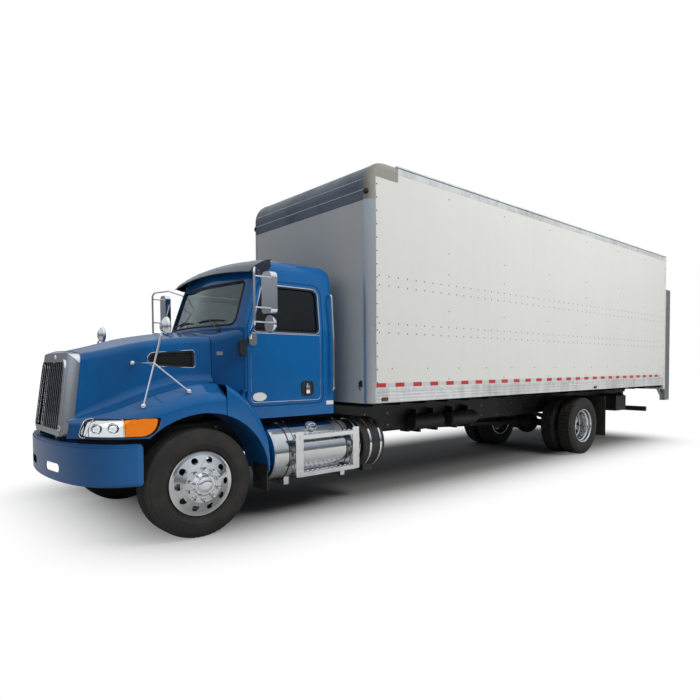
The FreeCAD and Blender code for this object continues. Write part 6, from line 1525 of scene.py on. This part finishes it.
class TRUCK_OT_cab_lining(bpy.types.Operator):
    """Lines the cab and adds its floor mat, window gaskets and blank label"""
    bl_idname = "truck.cab_lining"
    bl_label = "Cab lining and gaskets"

    def execute(self, context):
        back = FX - CAB_BACK
        bm = bmesh.new()
        corners = ((-0.80, 1.20), (0.80, 1.20), (0.80, 1.96), (-0.80, 1.96))
        patch(bm, [(back + 0.058, y, z) for y, z in corners], (1, 0, 0), 0.008)
        for k in range(7):
            y = -0.72 + k * 0.24
            pipe(bm, [(back + 0.067, y, 1.22), (back + 0.067, y, 1.94)], 0.004, 6)
        block(bm, (back + 0.30, -0.78, 2.625), (FX - 0.98, 0.78, 2.640), 0.006)
        piece("cab_lining", bm, "lining_cloth", "chassis")
        bm = bmesh.new()
        block(bm, (back + 0.07, -0.82, 1.1005), (FX - 0.66, 0.82, 1.108), 0.003)
        for k in range(18):
            y = -0.78 + k * 0.092
            pipe(bm, [(back + 0.10, y, 1.109), (FX - 0.70, y, 1.109)], 0.0035, 6)
        piece("cab_floor_mat", bm, "black_rubber", "chassis")
        self.screen_gasket()
        self.label()
        return {"FINISHED"}

    def screen_gasket(self):
        """Rubber round the windscreen and the rear window."""
        bm = bmesh.new()
        for corners, start, way in ((SCREEN_EDGE, FX + 0.3, -1), (BACK_WINDOW_EDGE, FX - 2.1, 1)):
            line = []
            for out, up in walked(rounded(grown(corners, 0.010)), 0.06):
                found = meet("cab_shell", (start, out, up), (way, 0, 0))
                if found:
                    line.append(found[0] + found[1] * 0.001)
            pipe(bm, spaced(line, 0.004, 0.2), 0.010, 10, True)
        piece("window_gaskets", bm, "black_rubber", "chassis", 50.0)

    def label(self):
        """The blank label behind the left door."""
        bm = bmesh.new()
        back, front = FX - 1.700, FX - 1.600
        patch(bm, [(back, CAB_HALF, 1.150), (front, CAB_HALF, 1.150), (front, CAB_HALF, 1.195),
                   (back, CAB_HALF, 1.195)], (0, 1, 0), 0.0008)
        piece("cab_label", bm, "blank_label", "chassis")


VISOR_HALF = 0.940
VISOR_STEPS = 36
VISOR_STAYS = (-0.62, -0.22, 0.22, 0.62)
VISOR_LIP = (-0.600, 2.565)             # ends of the visor's lip: ahead of the front axle, up
VISOR_BOW = (0.055, 0.050)              # how far the lip's middle stands ahead and above its ends


def visor_row(y):
    """The visor's section at a place across the cab, from the lip to the roof."""
    crown = 1.0 - (y / VISOR_HALF) ** 2
    lip = (VISOR_LIP[0] - VISOR_BOW[0] * (1.0 - crown), VISOR_LIP[1] + VISOR_BOW[1] * crown)
    bend = (-0.700 - 0.050 * (1.0 - crown), 2.655 + 0.050 * crown)
    back = (-0.860 - 0.030 * (1.0 - crown), 2.716 + 0.040 * crown)
    return [lip, ((lip[0] + bend[0]) / 2 + 0.006, (lip[1] + bend[1]) / 2 + 0.008), bend,
            ((bend[0] + back[0]) / 2, (bend[1] + back[1]) / 2 + 0.011), back]


class TRUCK_OT_visor(bpy.types.Operator):
    """Builds the drop visor with its rolled lip, end plates and stays"""
    bl_idname = "truck.visor"
    bl_label = "Sun visor"

    def execute(self, context):
        bm = bmesh.new()
        columns = []
        for k in range(VISOR_STEPS + 1):
            y = VISOR_HALF * (2.0 * k / VISOR_STEPS - 1.0)
            row = visor_row(y)
            outer = [bm.verts.new((FX + x, y, z)) for x, z in row]
            inner = [bm.verts.new((FX + x - 0.002, y, z - 0.006)) for x, z in row]
            columns.append(outer + inner[::-1])
        closed_rings(bm, columns)
        lip = [(FX + visor_row(y)[0][0], y, visor_row(y)[0][1] - 0.003)
               for y in [VISOR_HALF * (k / 12 - 1.0) for k in range(25)]]
        pipe(bm, lip, 0.007, 10)
        end = visor_row(VISOR_HALF)[::2] + [(-0.900, 2.640), (-0.830, 2.545), (-0.750, 2.540)]
        for side in SIDES:
            patch(bm, [(FX + ahead, side * VISOR_HALF, up) for ahead, up in end], (0, side, 0), 0.004)
        piece("sun_visor_blade", bm, "visor_metal_painted_shade", "chassis", 35.0, ["sun_visor"])
        stays = bmesh.new()
        for y in VISOR_STAYS:
            row = visor_row(y)
            x, z = row[1]
            found = meet("cab_shell", (FX + 0.5, y, z - 0.075), (-1, 0, 0))
            if found:
                pipe(stays, [(FX + x, y, z - 0.008), found[0]], 0.006, 8)
                stud(stays, (FX + x - 0.004, y, z + 0.001), (0.5, 0, 1), 0.009, 0.005, 12)
        piece("sun_visor_stays", stays, "satin_black", "chassis", 40.0, ["sun_visor"])
        return {"FINISHED"}


WIPER_FOOT = (-0.46, 0.62, 1.99)        # ahead of the front axle, out, up


class TRUCK_OT_wipers(bpy.types.Operator):
    """Parks two wipers along the windscreen's foot"""
    bl_idname = "truck.wipers"
    bl_label = "Wipers"

    def execute(self, context):
        bm = bmesh.new()
        for side in SIDES:
            glass = []
            for k in range(9):
                y = side * (0.08 + 0.50 * k / 8)
                z = 2.075 + 0.012 * math.sin(math.pi * k / 8)
                found = meet("cab_glass", (FX + 0.3, y, z), (-1, 0, 0))
                if found:
                    glass.append(found[0] + found[1] * 0.010)
            pipe(bm, glass, 0.007, 8)
            pipe(bm, [p + Vector((0.006, 0, 0.006)) for p in glass[1:-1]], 0.004, 6)
            middle = glass[len(glass) // 2]
            ahead, out, up = WIPER_FOOT
            foot = meet("cowl", (FX + ahead, side * out, 2.6), (0, 0, -1))
            start = foot[0] if foot else Vector((FX + ahead, side * out, up))
            turned(bm, closed([(-0.004, 0.022), (0.012, 0.022), (0.022, 0.016), (0.034, 0.014)]), start,
                   (0, 0, 1), 16)
            knee = start + Vector((0.0, -side * 0.03, 0.036))
            pipe(bm, [start + Vector((0, 0, 0.024)), knee, (knee + middle) / 2 + Vector((0.035, 0, 0.012)),
                      middle + Vector((0.012, 0, 0.010))], 0.006, 8)
        piece("wipers", bm, "satin_black", "chassis", 40.0)
        return {"FINISHED"}


SEAT_BACK = 1.330              # front axle back to the seats' middle
SEAT_SIDE = 0.430


class TRUCK_OT_seats(bpy.types.Operator):
    """Upholsters the two seats"""
    bl_idname = "truck.seats"
    bl_label = "Seats"

    def execute(self, context):
        floor_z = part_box("seats")[0].z
        x = FX - SEAT_BACK
        for side in SIDES:
            y = side * SEAT_SIDE
            name = SIDE_NAME[side]
            cushion = self.pad("seat_cushion_" + name, (x - 0.205, y - 0.245, 1.372),
                               (x + 0.265, y + 0.245, 1.498), 0.018, 3)
            rest = self.pad("seat_back_" + name, (x - 0.045, y - 0.235, 1.46), (x + 0.045, y + 0.235, 2.05),
                            0.016, 4, 0.17, (x - 0.170, 1.46))
            head = self.pad("seat_head_" + name, (x - 0.037, y - 0.115, 2.075),
                            (x + 0.037, y + 0.115, 2.23), 0.014, 1, 0.10, (x - 0.270, 2.06))
            for made, fill in ((cushion, 0.8), (rest, 0.8), (head, 0.9)):
                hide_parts("seats")
            bm = bmesh.new()
            block(bm, (x - 0.170, y - 0.170, floor_z), (x + 0.130, y + 0.170, floor_z + 0.05), 0.010)
            for k in range(5):
                z = floor_z + 0.055 + k * 0.040
                block(bm, (x - 0.150, y - 0.150, z), (x + 0.110, y + 0.150, z + 0.030), 0.014, 3)
            block(bm, (x - 0.185, y - 0.22, floor_z + 0.252), (x + 0.20, y + 0.22, floor_z + 0.270), 0.006)
            for way in SIDES:
                pipe(bm, [(x - 0.265, y + way * 0.06, 2.02), (x - 0.272, y + way * 0.06, 2.10)], 0.007, 8)
            piece("seat_base_" + name, bm, "satin_black", "chassis", 35.0, ["seats"])
        return {"FINISHED"}

    def pad(self, name, low, high, crown, seams, lean=0.0, pivot=None):
        """A crowned pad with sewn channels and piped edges, leaned back about its foot."""
        low, high = Vector(low), Vector(high)
        size = high - low
        thin = min(range(3), key=lambda i: size[i])
        wide = [i for i in range(3) if i != thin]
        across, along = 22, 26
        bm = bmesh.new()
        sheets = []
        for face in (-1, 1):
            sheet = []
            for i in range(across + 1):
                row = []
                for j in range(along + 1):
                    u, v = i / across, j / along
                    at = Vector((0, 0, 0))
                    at[wide[0]] = low[wide[0]] + size[wide[0]] * u
                    at[wide[1]] = low[wide[1]] + size[wide[1]] * v
                    edge = min(1.0, 6.0 * min(u, 1 - u, v, 1 - v))
                    swell = math.sqrt(max(0.0, 1 - (1 - edge) ** 2))
                    channel = 0.0
                    for k in range(1, seams + 1):
                        gap = abs((v if thin == 0 else u) - k / (seams + 1))
                        channel += math.exp(-(gap / 0.018) ** 2)
                    half = size[thin] / 2 * (0.45 + 0.55 * swell) - 0.45 * crown * min(channel, 1.0)
                    at[thin] = (low[thin] + high[thin]) / 2 + face * half
                    pull = 0.010 * (1 - swell)
                    for axis, share in ((wide[0], u), (wide[1], v)):
                        at[axis] += pull * (0.5 - share) * 2
                    if lean:
                        at.x += pivot[0] - (low.x + high.x) / 2 - lean * (at.z - pivot[1])
                    row.append(bm.verts.new(at))
                sheet.append(row)
            sheets.append(sheet)
        for sheet in sheets:
            for i in range(across):
                for j in range(along):
                    bm.faces.new((sheet[i][j], sheet[i + 1][j], sheet[i + 1][j + 1], sheet[i][j + 1]))
        rim = [(i, 0) for i in range(across)] + [(across, j) for j in range(along)] \
            + [(i, along) for i in range(across, 0, -1)] + [(0, j) for j in range(along, 0, -1)]
        for k, (i, j) in enumerate(rim):
            a, b = rim[(k + 1) % len(rim)]
            bm.faces.new((sheets[0][i][j], sheets[0][a][b], sheets[1][a][b], sheets[1][i][j]))
        bmesh.ops.recalc_face_normals(bm, faces=bm.faces)
        return piece(name, bm, "seat_cloth", "chassis", 50.0)


# Place across and up, and radius
DIALS = ((0.36, 1.875, 0.050), (0.50, 1.875, 0.050), (0.27, 1.84, 0.026), (0.60, 1.84, 0.026))
VENTS = (-0.70, -0.42, -0.10, 0.10, 0.76)


class TRUCK_OT_instruments(bpy.types.Operator):
    """Adds plain dials and vents to the dashboard"""
    bl_idname = "truck.instruments"
    bl_label = "Instruments"

    def execute(self, context):
        faces, marks, rims = bmesh.new(), bmesh.new(), bmesh.new()
        for y, z, radius in DIALS:
            found = meet("dashboard", (FX - 1.4, y, z), (1, 0, 0))
            if not found:
                continue
            foot, out = found
            turned(faces, closed([(-0.002, radius), (0.002, radius)]), foot, out, 28)
            turned(rims, [(0.0, radius), (0.006, radius * 1.02), (0.006, radius * 1.12),
                          (0.0, radius * 1.14)], foot, out, 28)
            u, w = frame_of(out)[1:]
            for k in range(9):
                angle = math.radians(-130 + 32.5 * k)
                ray = u * math.cos(angle) + w * math.sin(angle)
                pipe(marks, [foot + out * 0.0025 + ray * radius * share for share in (0.74, 0.9)], 0.0010, 4)
            pipe(marks, [foot + out * 0.004, foot + out * 0.004 + (u * 0.6 - w * 0.5) * radius], 0.0014, 4)
        piece("dial_faces", faces, "dial_face", "chassis")
        piece("dial_marks", marks, "dial_mark", "chassis")
        for y in VENTS:
            found = meet("dashboard", (FX - 1.4, y, 1.80), (1, 0, 0))
            if not found:
                continue
            foot, out = found
            for k in range(5):
                z = foot.z - 0.024 + k * 0.012
                block(rims, (foot.x - 0.008, y - 0.05, z - 0.002), (foot.x + 0.004, y + 0.05, z + 0.002),
                      0.0008)
        piece("dash_trim", rims, "satin_black", "chassis")
        return {"FINISHED"}


# Tanks, chassis and lift gate

TANK_Y, TANK_Z, TANK_R = 0.865, 0.665, 0.300
TANK_FRONT = 0.790             # front axle back to the fuel tank's front head
TANK_STRAPS = (0.213, 0.970)   # from there back to each strap
TANK_SEAMS = (0.024, 1.127)    # and to each head's seam
FILLER = 0.531                 # and to the filler's neck
CAN_FRONT = 1.978              # front axle back to the short tank behind the fuel tank
CAN_STRAPS = (0.105, 0.262)
STEP_ENDS = (1.055, 1.820)     # front axle back to both ends of the step treads
STEP_HEIGHTS = (0.465, 0.862)
RAIL_WEB = 0.432               # middle of the truck out to the frame rail's web
BOLT_HEIGHTS = (0.775, 0.935)


class TRUCK_OT_tanks(bpy.types.Operator):
    """Dresses the fuel tank, its steps and the strapped can"""
    bl_idname = "truck.tanks"
    bl_label = "Tank dressing"

    def execute(self, context):
        liners, bolts, bright = bmesh.new(), bmesh.new(), bmesh.new()
        front = FX - TANK_FRONT
        for back in TANK_STRAPS:
            x = front - back
            for way in SIDES:
                turned(liners, [(0.0, TANK_R + 0.0004), (0.0, TANK_R + 0.0052), (0.009, TANK_R + 0.0048),
                                (0.010, TANK_R + 0.0004)], (x + way * 0.031, TANK_Y, TANK_Z), (way, 0, 0), 64)
            hex_head(bolts, (x, TANK_Y - 0.02, TANK_Z + TANK_R + 0.005), (0, 0, 1), 0.010, 0.012)
        for back in TANK_SEAMS:
            turned(bright, [(-0.006, TANK_R - 0.001), (-0.003, TANK_R + 0.002), (0.003, TANK_R + 0.002),
                            (0.006, TANK_R - 0.001)], (front - back, TANK_Y, TANK_Z), (1, 0, 0), 64)
        lean = Vector((0, 0.55, 0.83)).normalized()
        neck = Vector((front - FILLER, TANK_Y, TANK_Z)) + lean * (TANK_R + 0.040)
        u, w = frame_of(lean)[1:]
        for k in range(16):
            angle = 2 * math.pi * k / 16
            ray = u * math.cos(angle) + w * math.sin(angle)
            pipe(bright, [neck - lean * 0.024 + ray * 0.061, neck - lean * 0.004 + ray * 0.061], 0.004, 6)
        pipe(bright, [neck + u * 0.045 + lean * 0.002, neck + lean * 0.020, neck - u * 0.045 + lean * 0.002],
             0.007, 8)
        for back in CAN_STRAPS:
            x = FX - CAN_FRONT - back
            turned(bright, [(-0.014, TANK_R + 0.0055), (-0.013, TANK_R + 0.008), (0.013, TANK_R + 0.008),
                            (0.014, TANK_R + 0.0055)], (x, TANK_Y, TANK_Z), (1, 0, 0), 64)
        piece("tank_liners", liners, "black_rubber", "chassis", 40.0)
        self.serrations(bright)
        piece("tank_brightwork", bright, "chrome", "chassis", 40.0)
        self.chassis_bolts(bolts)
        piece("chassis_bolts", bolts, "zinc_bolt", "chassis", 40.0)
        return {"FINISHED"}

    def serrations(self, bm):
        """Raised teeth round the step treads' holes and along their lips."""
        x0, x1 = FX - STEP_ENDS[0], FX - STEP_ENDS[1]
        for z in STEP_HEIGHTS:
            for k in range(40):
                x = x1 + 0.02 + (x0 - x1 - 0.04) * k / 39
                block(bm, (x - 0.004, 1.214, z), (x + 0.004, 1.224, z + 0.005), 0.001, 1)
            for k in range(12):
                x = x1 + (k + 0.5) * (x0 - x1) / 12
                for y in (1.183, 1.127):
                    turned(bm, [(0.0, 0.0165), (0.004, 0.0145), (0.004, 0.0132), (0.0, 0.0130)], (x, y, z),
                           (0, 0, 1), 12)

    def chassis_bolts(self, bm):
        """Bolt heads along the rails' webs."""
        for side in SIDES:
            for x in [BOX_REAR + 0.35 + 0.42 * k for k in range(24)]:
                if x > FX + 0.6:
                    continue
                for z in BOLT_HEIGHTS:
                    hex_head(bm, (x, side * RAIL_WEB, z), (0, side, 0), 0.010, 0.011)


COLUMN_BOLTS = (0.95, 1.35, 1.75, 2.32, 2.85, 3.14)     # heights
DOOR_HINGES = (-0.85, -0.42, 0.0, 0.42, 0.85)           # places across the roll-up door
DOOR_PANELS = 8
GRIP = ((0.002, 0.60), (0.022, 0.62), (0.022, 0.80), (0.002, 0.82))     # platform grip: behind its face, up


class TRUCK_OT_lift_gate(bpy.types.Operator):
    """Adds hardware to the lift gate and the roll-up door"""
    bl_idname = "truck.lift_gate"
    bl_label = "Lift gate and rear door"

    def execute(self, context):
        bm = bmesh.new()
        low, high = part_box("gate_columns")
        for side in SIDES:
            for z in COLUMN_BOLTS:
                for x in (low.x + 0.05, low.x + 0.20):
                    hex_head(bm, (x, side * high.y, z), (0, side, 0), 0.009, 0.010)
        piece("column_bolts", bm, "zinc_bolt", "chassis", 40.0)
        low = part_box("gate_platform")[0]
        bm = bmesh.new()
        x = low.x
        for side in SIDES:
            block(bm, (x - 0.006, side * 0.93, low.z + 0.55), (x + 0.010, side * 1.02, low.z + 0.62), 0.004)
            pipe(bm, [(x - behind, side * 0.975, low.z + up) for behind, up in GRIP], 0.007, 8)
        piece("platform_grips", bm, "zinc_bolt", "gate_deck", 40.0)
        self.door_hardware()
        return {"FINISHED"}

    def door_hardware(self):
        """Panel hinges, lock bar and pull of the roll-up door."""
        low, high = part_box("roll_door")
        bm = bmesh.new()
        pitch = (high.z - low.z) / DOOR_PANELS
        x = low.x
        for k in range(1, DOOR_PANELS):
            z = low.z + k * pitch
            for y in DOOR_HINGES:
                block(bm, (x + 0.010, y - 0.035, z - 0.030), (x + 0.016, y + 0.035, z + 0.030), 0.002)
                pipe(bm, [(x + 0.010, y - 0.036, z), (x + 0.010, y + 0.036, z)], 0.006, 8)
                for dz in (-0.02, 0.02):
                    stud(bm, (x + 0.010, y, z + dz), (-1, 0, 0), 0.005, 0.003)
        block(bm, (x - 0.002, -0.16, low.z + 0.225), (x + 0.012, 0.16, low.z + 0.250), 0.003)
        pipe(bm, [(x + 0.004, -0.12, low.z + 0.24), (x - 0.012, -0.10, low.z + 0.24),
                  (x - 0.012, 0.10, low.z + 0.24), (x + 0.004, 0.12, low.z + 0.24)], 0.007, 8)
        piece("roll_door_hardware", bm, "zinc_bolt", "chassis", 40.0)


# Studio

CAMERA_AHEAD = 2.249           # front axle forward to the camera
CAMERA_SIDE = 6.177
CAMERA_HEIGHT = 1.588
CAMERA_YAW = -133.75
CAMERA_PITCH = -2.02
CAMERA_ROLL = 0.17
CAMERA_LENS = 28.90
CAMERA_SHIFT = (-0.0700, 0.0513)


PAINTED_SHADOW_GROUND = (0.18, 0.18, 0.18)      # the floor's colour right under the truck: a painted shadow
# Where the painted shadow lies, along the truck and across it; it reaches further out on the right side,
# where the key light's shadow falls
PAINTED_SHADOW_X = (BOX_REAR + 0.9, FRONT_END - 1.4)
PAINTED_SHADOW_Y = (-BOX_HALF - 0.4, BOX_HALF - 0.7)
FADE_START = 0.0                # distance from the painted shadow at which the floor begins to fade to white
FADE_END = 1.8
FLOOR_HALF = 60.0


def seen_directly(tree):
    """A mask that is 1 for what the camera sees, by itself or through glass."""
    path = node(tree, "ShaderNodeLightPath").outputs
    return maths(tree, "ADD", path["Is Camera Ray"], path["Is Transmission Ray"], clamp=True)


def mixed(tree, mask, first, second):
    """Two shaders mixed by a mask."""
    made = node(tree, "ShaderNodeMixShader")
    for socket, source in zip(made.inputs, (mask, first, second)):
        link(tree, source, socket)
    return made.outputs[0]


def white_ground(name, colour):
    """Pale matt floor that keeps the truck's shadow and has a painted shadow under the truck, which pales
    outward; it fades to plain white away from it.
    """
    made = bpy.data.materials.new(name)
    made.use_nodes = True
    tree = made.node_tree
    tree.nodes.clear()
    shader = node(tree, "ShaderNodeBsdfPrincipled", {"Roughness": 0.9, "Specular IOR Level": 0.1})
    white = node(tree, "ShaderNodeEmission", {"Strength": 1.0})
    place = axes(tree)
    reach = node(tree, "ShaderNodeCombineXYZ")
    for axis, (low, high) in (("X", PAINTED_SHADOW_X), ("Y", PAINTED_SHADOW_Y)):
        far = node(tree, "ShaderNodeMath", operation="ABSOLUTE")
        link(tree, maths(tree, "SUBTRACT", place[axis], (low + high) / 2), far.inputs[0])
        past = maths(tree, "SUBTRACT", far.outputs[0], (high - low) / 2)
        link(tree, maths(tree, "MAXIMUM", past, 0.0), reach.inputs[axis])
    distance = node(tree, "ShaderNodeVectorMath", operation="LENGTH")
    link(tree, reach.outputs[0], distance.inputs[0])
    fade = node(tree, "ShaderNodeMapRange", {"From Min": FADE_START, "From Max": FADE_END},
                interpolation_type="SMOOTHSTEP")
    link(tree, distance.outputs["Value"], fade.inputs["Value"])
    # The floor's colour: a painted shadow, dark grey under the truck, paling outward to the floor's own
    # colour
    link(tree, mix_colour(tree, fade.outputs[0], PAINTED_SHADOW_GROUND, colour), shader.inputs["Base Color"])
    faded = mixed(tree, fade.outputs[0], shader.outputs[0], white.outputs[0])
    out = node(tree, "ShaderNodeOutputMaterial")
    link(tree, mixed(tree, seen_directly(tree), shader.outputs[0], faded), out.inputs["Surface"])
    return made


# What bright surfaces reflect, by the ray's rise
SKY_STEPS = ((0.0, (0.12, 0.125, 0.13, 1.0)), (0.10, (0.17, 0.18, 0.20, 1.0)),
             (0.28, (0.45, 0.50, 0.57, 1.0)), (1.0, (0.92, 0.96, 1.0, 1.0)))


class TRUCK_OT_stage(bpy.types.Operator):
    """Sets the floor, lights, world and camera"""
    bl_idname = "truck.stage"
    bl_label = "Studio"

    def execute(self, context):
        scene = context.scene
        self.floor()
        self.lights()
        self.world(scene)
        self.camera(scene)
        scene.view_settings.view_transform = "Standard"
        return {"FINISHED"}

    def floor(self):
        bm = bmesh.new()
        bmesh.ops.create_grid(bm, x_segments=1, y_segments=1, size=FLOOR_HALF)
        mesh = bpy.data.meshes.new("studio_floor")
        bm.to_mesh(mesh)
        bm.free()
        made = bpy.data.objects.new("studio_floor", mesh)
        bpy.context.scene.collection.objects.link(made)
        mesh.materials.append(white_ground("studio_ground", (0.70, 0.70, 0.70)))

    def lamp(self, name, place, aim, size, power, tint):
        data = bpy.data.lights.new(name, "AREA")
        data.shape = "RECTANGLE"
        data.size, data.size_y = size
        data.energy = power
        data.color = tint
        made = bpy.data.objects.new(name, data)
        bpy.context.scene.collection.objects.link(made)
        made.location = place
        made.rotation_euler = (Vector(aim) - Vector(place)).to_track_quat("-Z", "Y").to_euler()
        made.visible_glossy = False

    def lights(self):
        self.lamp("key_light", (-3.0, 12.0, 13.0), (0.5, 0.0, 1.2), (9.0, 6.0), 2300.0, (1.0, 0.985, 0.96))
        self.lamp("front_fill", (14.0, 3.0, 6.0), (3.0, 0.0, 1.5), (7.0, 6.0), 70.0, (0.93, 0.96, 1.0))
        self.lamp("far_fill", (-2.0, -13.0, 9.0), (0.0, 0.0, 1.5), (12.0, 7.0), 250.0, (0.95, 0.97, 1.0))

    def world(self, scene):
        """White to the camera, even light on the truck, and a sky that darkens downward in reflections."""
        world = bpy.data.worlds.new("studio_world")
        world.use_nodes = True
        tree = world.node_tree
        tree.nodes.clear()
        glossy = node(tree, "ShaderNodeLightPath").outputs["Is Glossy Ray"]
        sky = node(tree, "ShaderNodeValToRGB")
        link(tree, axes(tree, "Generated")["Z"], sky.inputs[0])
        ramp = sky.color_ramp.elements
        ramp[0].position, ramp[0].color = SKY_STEPS[0]
        ramp[1].position, ramp[1].color = SKY_STEPS[-1]
        for position, colour in SKY_STEPS[1:-1]:
            ramp.new(position).color = colour
        lit = node(tree, "ShaderNodeBackground", {"Strength": 0.26, "Color": (0.90, 0.95, 1.0, 1.0)})
        mirrored = node(tree, "ShaderNodeBackground", {"Strength": 1.0})
        link(tree, sky.outputs["Color"], mirrored.inputs["Color"])
        white = node(tree, "ShaderNodeBackground", {"Strength": 1.0, "Color": (1.0, 1.0, 1.0, 1.0)})
        around = mixed(tree, glossy, lit.outputs[0], mirrored.outputs[0])
        out = node(tree, "ShaderNodeOutputWorld")
        link(tree, mixed(tree, seen_directly(tree), around, white.outputs[0]), out.inputs["Surface"])
        scene.world = world

    def camera(self, scene):
        data = bpy.data.cameras.new("studio_camera")
        data.sensor_width = 36.0
        data.lens = CAMERA_LENS
        data.shift_x, data.shift_y = CAMERA_SHIFT
        data.clip_end = 200.0
        made = bpy.data.objects.new("studio_camera", data)
        scene.collection.objects.link(made)
        made.location = (FX + CAMERA_AHEAD, CAMERA_SIDE, CAMERA_HEIGHT)
        turn = (Matrix.Rotation(math.radians(CAMERA_YAW - 90.0), 4, "Z")
                @ Matrix.Rotation(math.radians(90.0 + CAMERA_PITCH), 4, "X")
                @ Matrix.Rotation(math.radians(-CAMERA_ROLL), 4, "Z"))
        made.rotation_euler = turn.to_euler()
        scene.camera = made


# Panel and registration

OPERATORS = (TRUCK_OT_finishes, TRUCK_OT_tyres, TRUCK_OT_wheel_hardware, TRUCK_OT_rivets, TRUCK_OT_tape,
             TRUCK_OT_van_fittings, TRUCK_OT_marker_lamps, TRUCK_OT_headlamps, TRUCK_OT_grille,
             TRUCK_OT_doors, TRUCK_OT_cab_lining, TRUCK_OT_visor, TRUCK_OT_wipers, TRUCK_OT_seats,
             TRUCK_OT_instruments, TRUCK_OT_tanks, TRUCK_OT_lift_gate, TRUCK_OT_stage)


class TRUCK_PT_panel(bpy.types.Panel):
    """Lists the truck's settings and steps"""
    bl_idname = "TRUCK_PT_panel"
    bl_label = "Box Truck"
    bl_space_type = "VIEW_3D"
    bl_region_type = "UI"
    bl_category = "Box Truck"

    def draw(self, context):
        for group in (context.scene.truck_sizes, context.scene.truck_colours):
            for key in group.__annotations__:
                self.layout.prop(group, key)
        for operator in OPERATORS:
            self.layout.operator(operator.bl_idname)


CLASSES = (TruckSizes, TruckColours) + OPERATORS + (TRUCK_PT_panel,)


def register():
    for cls in CLASSES:
        bpy.utils.register_class(cls)
    bpy.types.Scene.truck_sizes = PointerProperty(type=TruckSizes)
    bpy.types.Scene.truck_colours = PointerProperty(type=TruckColours)


def unregister():
    del bpy.types.Scene.truck_colours
    del bpy.types.Scene.truck_sizes
    for cls in reversed(CLASSES):
        bpy.utils.unregister_class(cls)


def main():
    """Runs every step in order."""
    register()
    for operator in OPERATORS:
        group, name = operator.bl_idname.split(".")
        getattr(getattr(bpy.ops, group), name)()


if __name__ == "__main__":
    main()
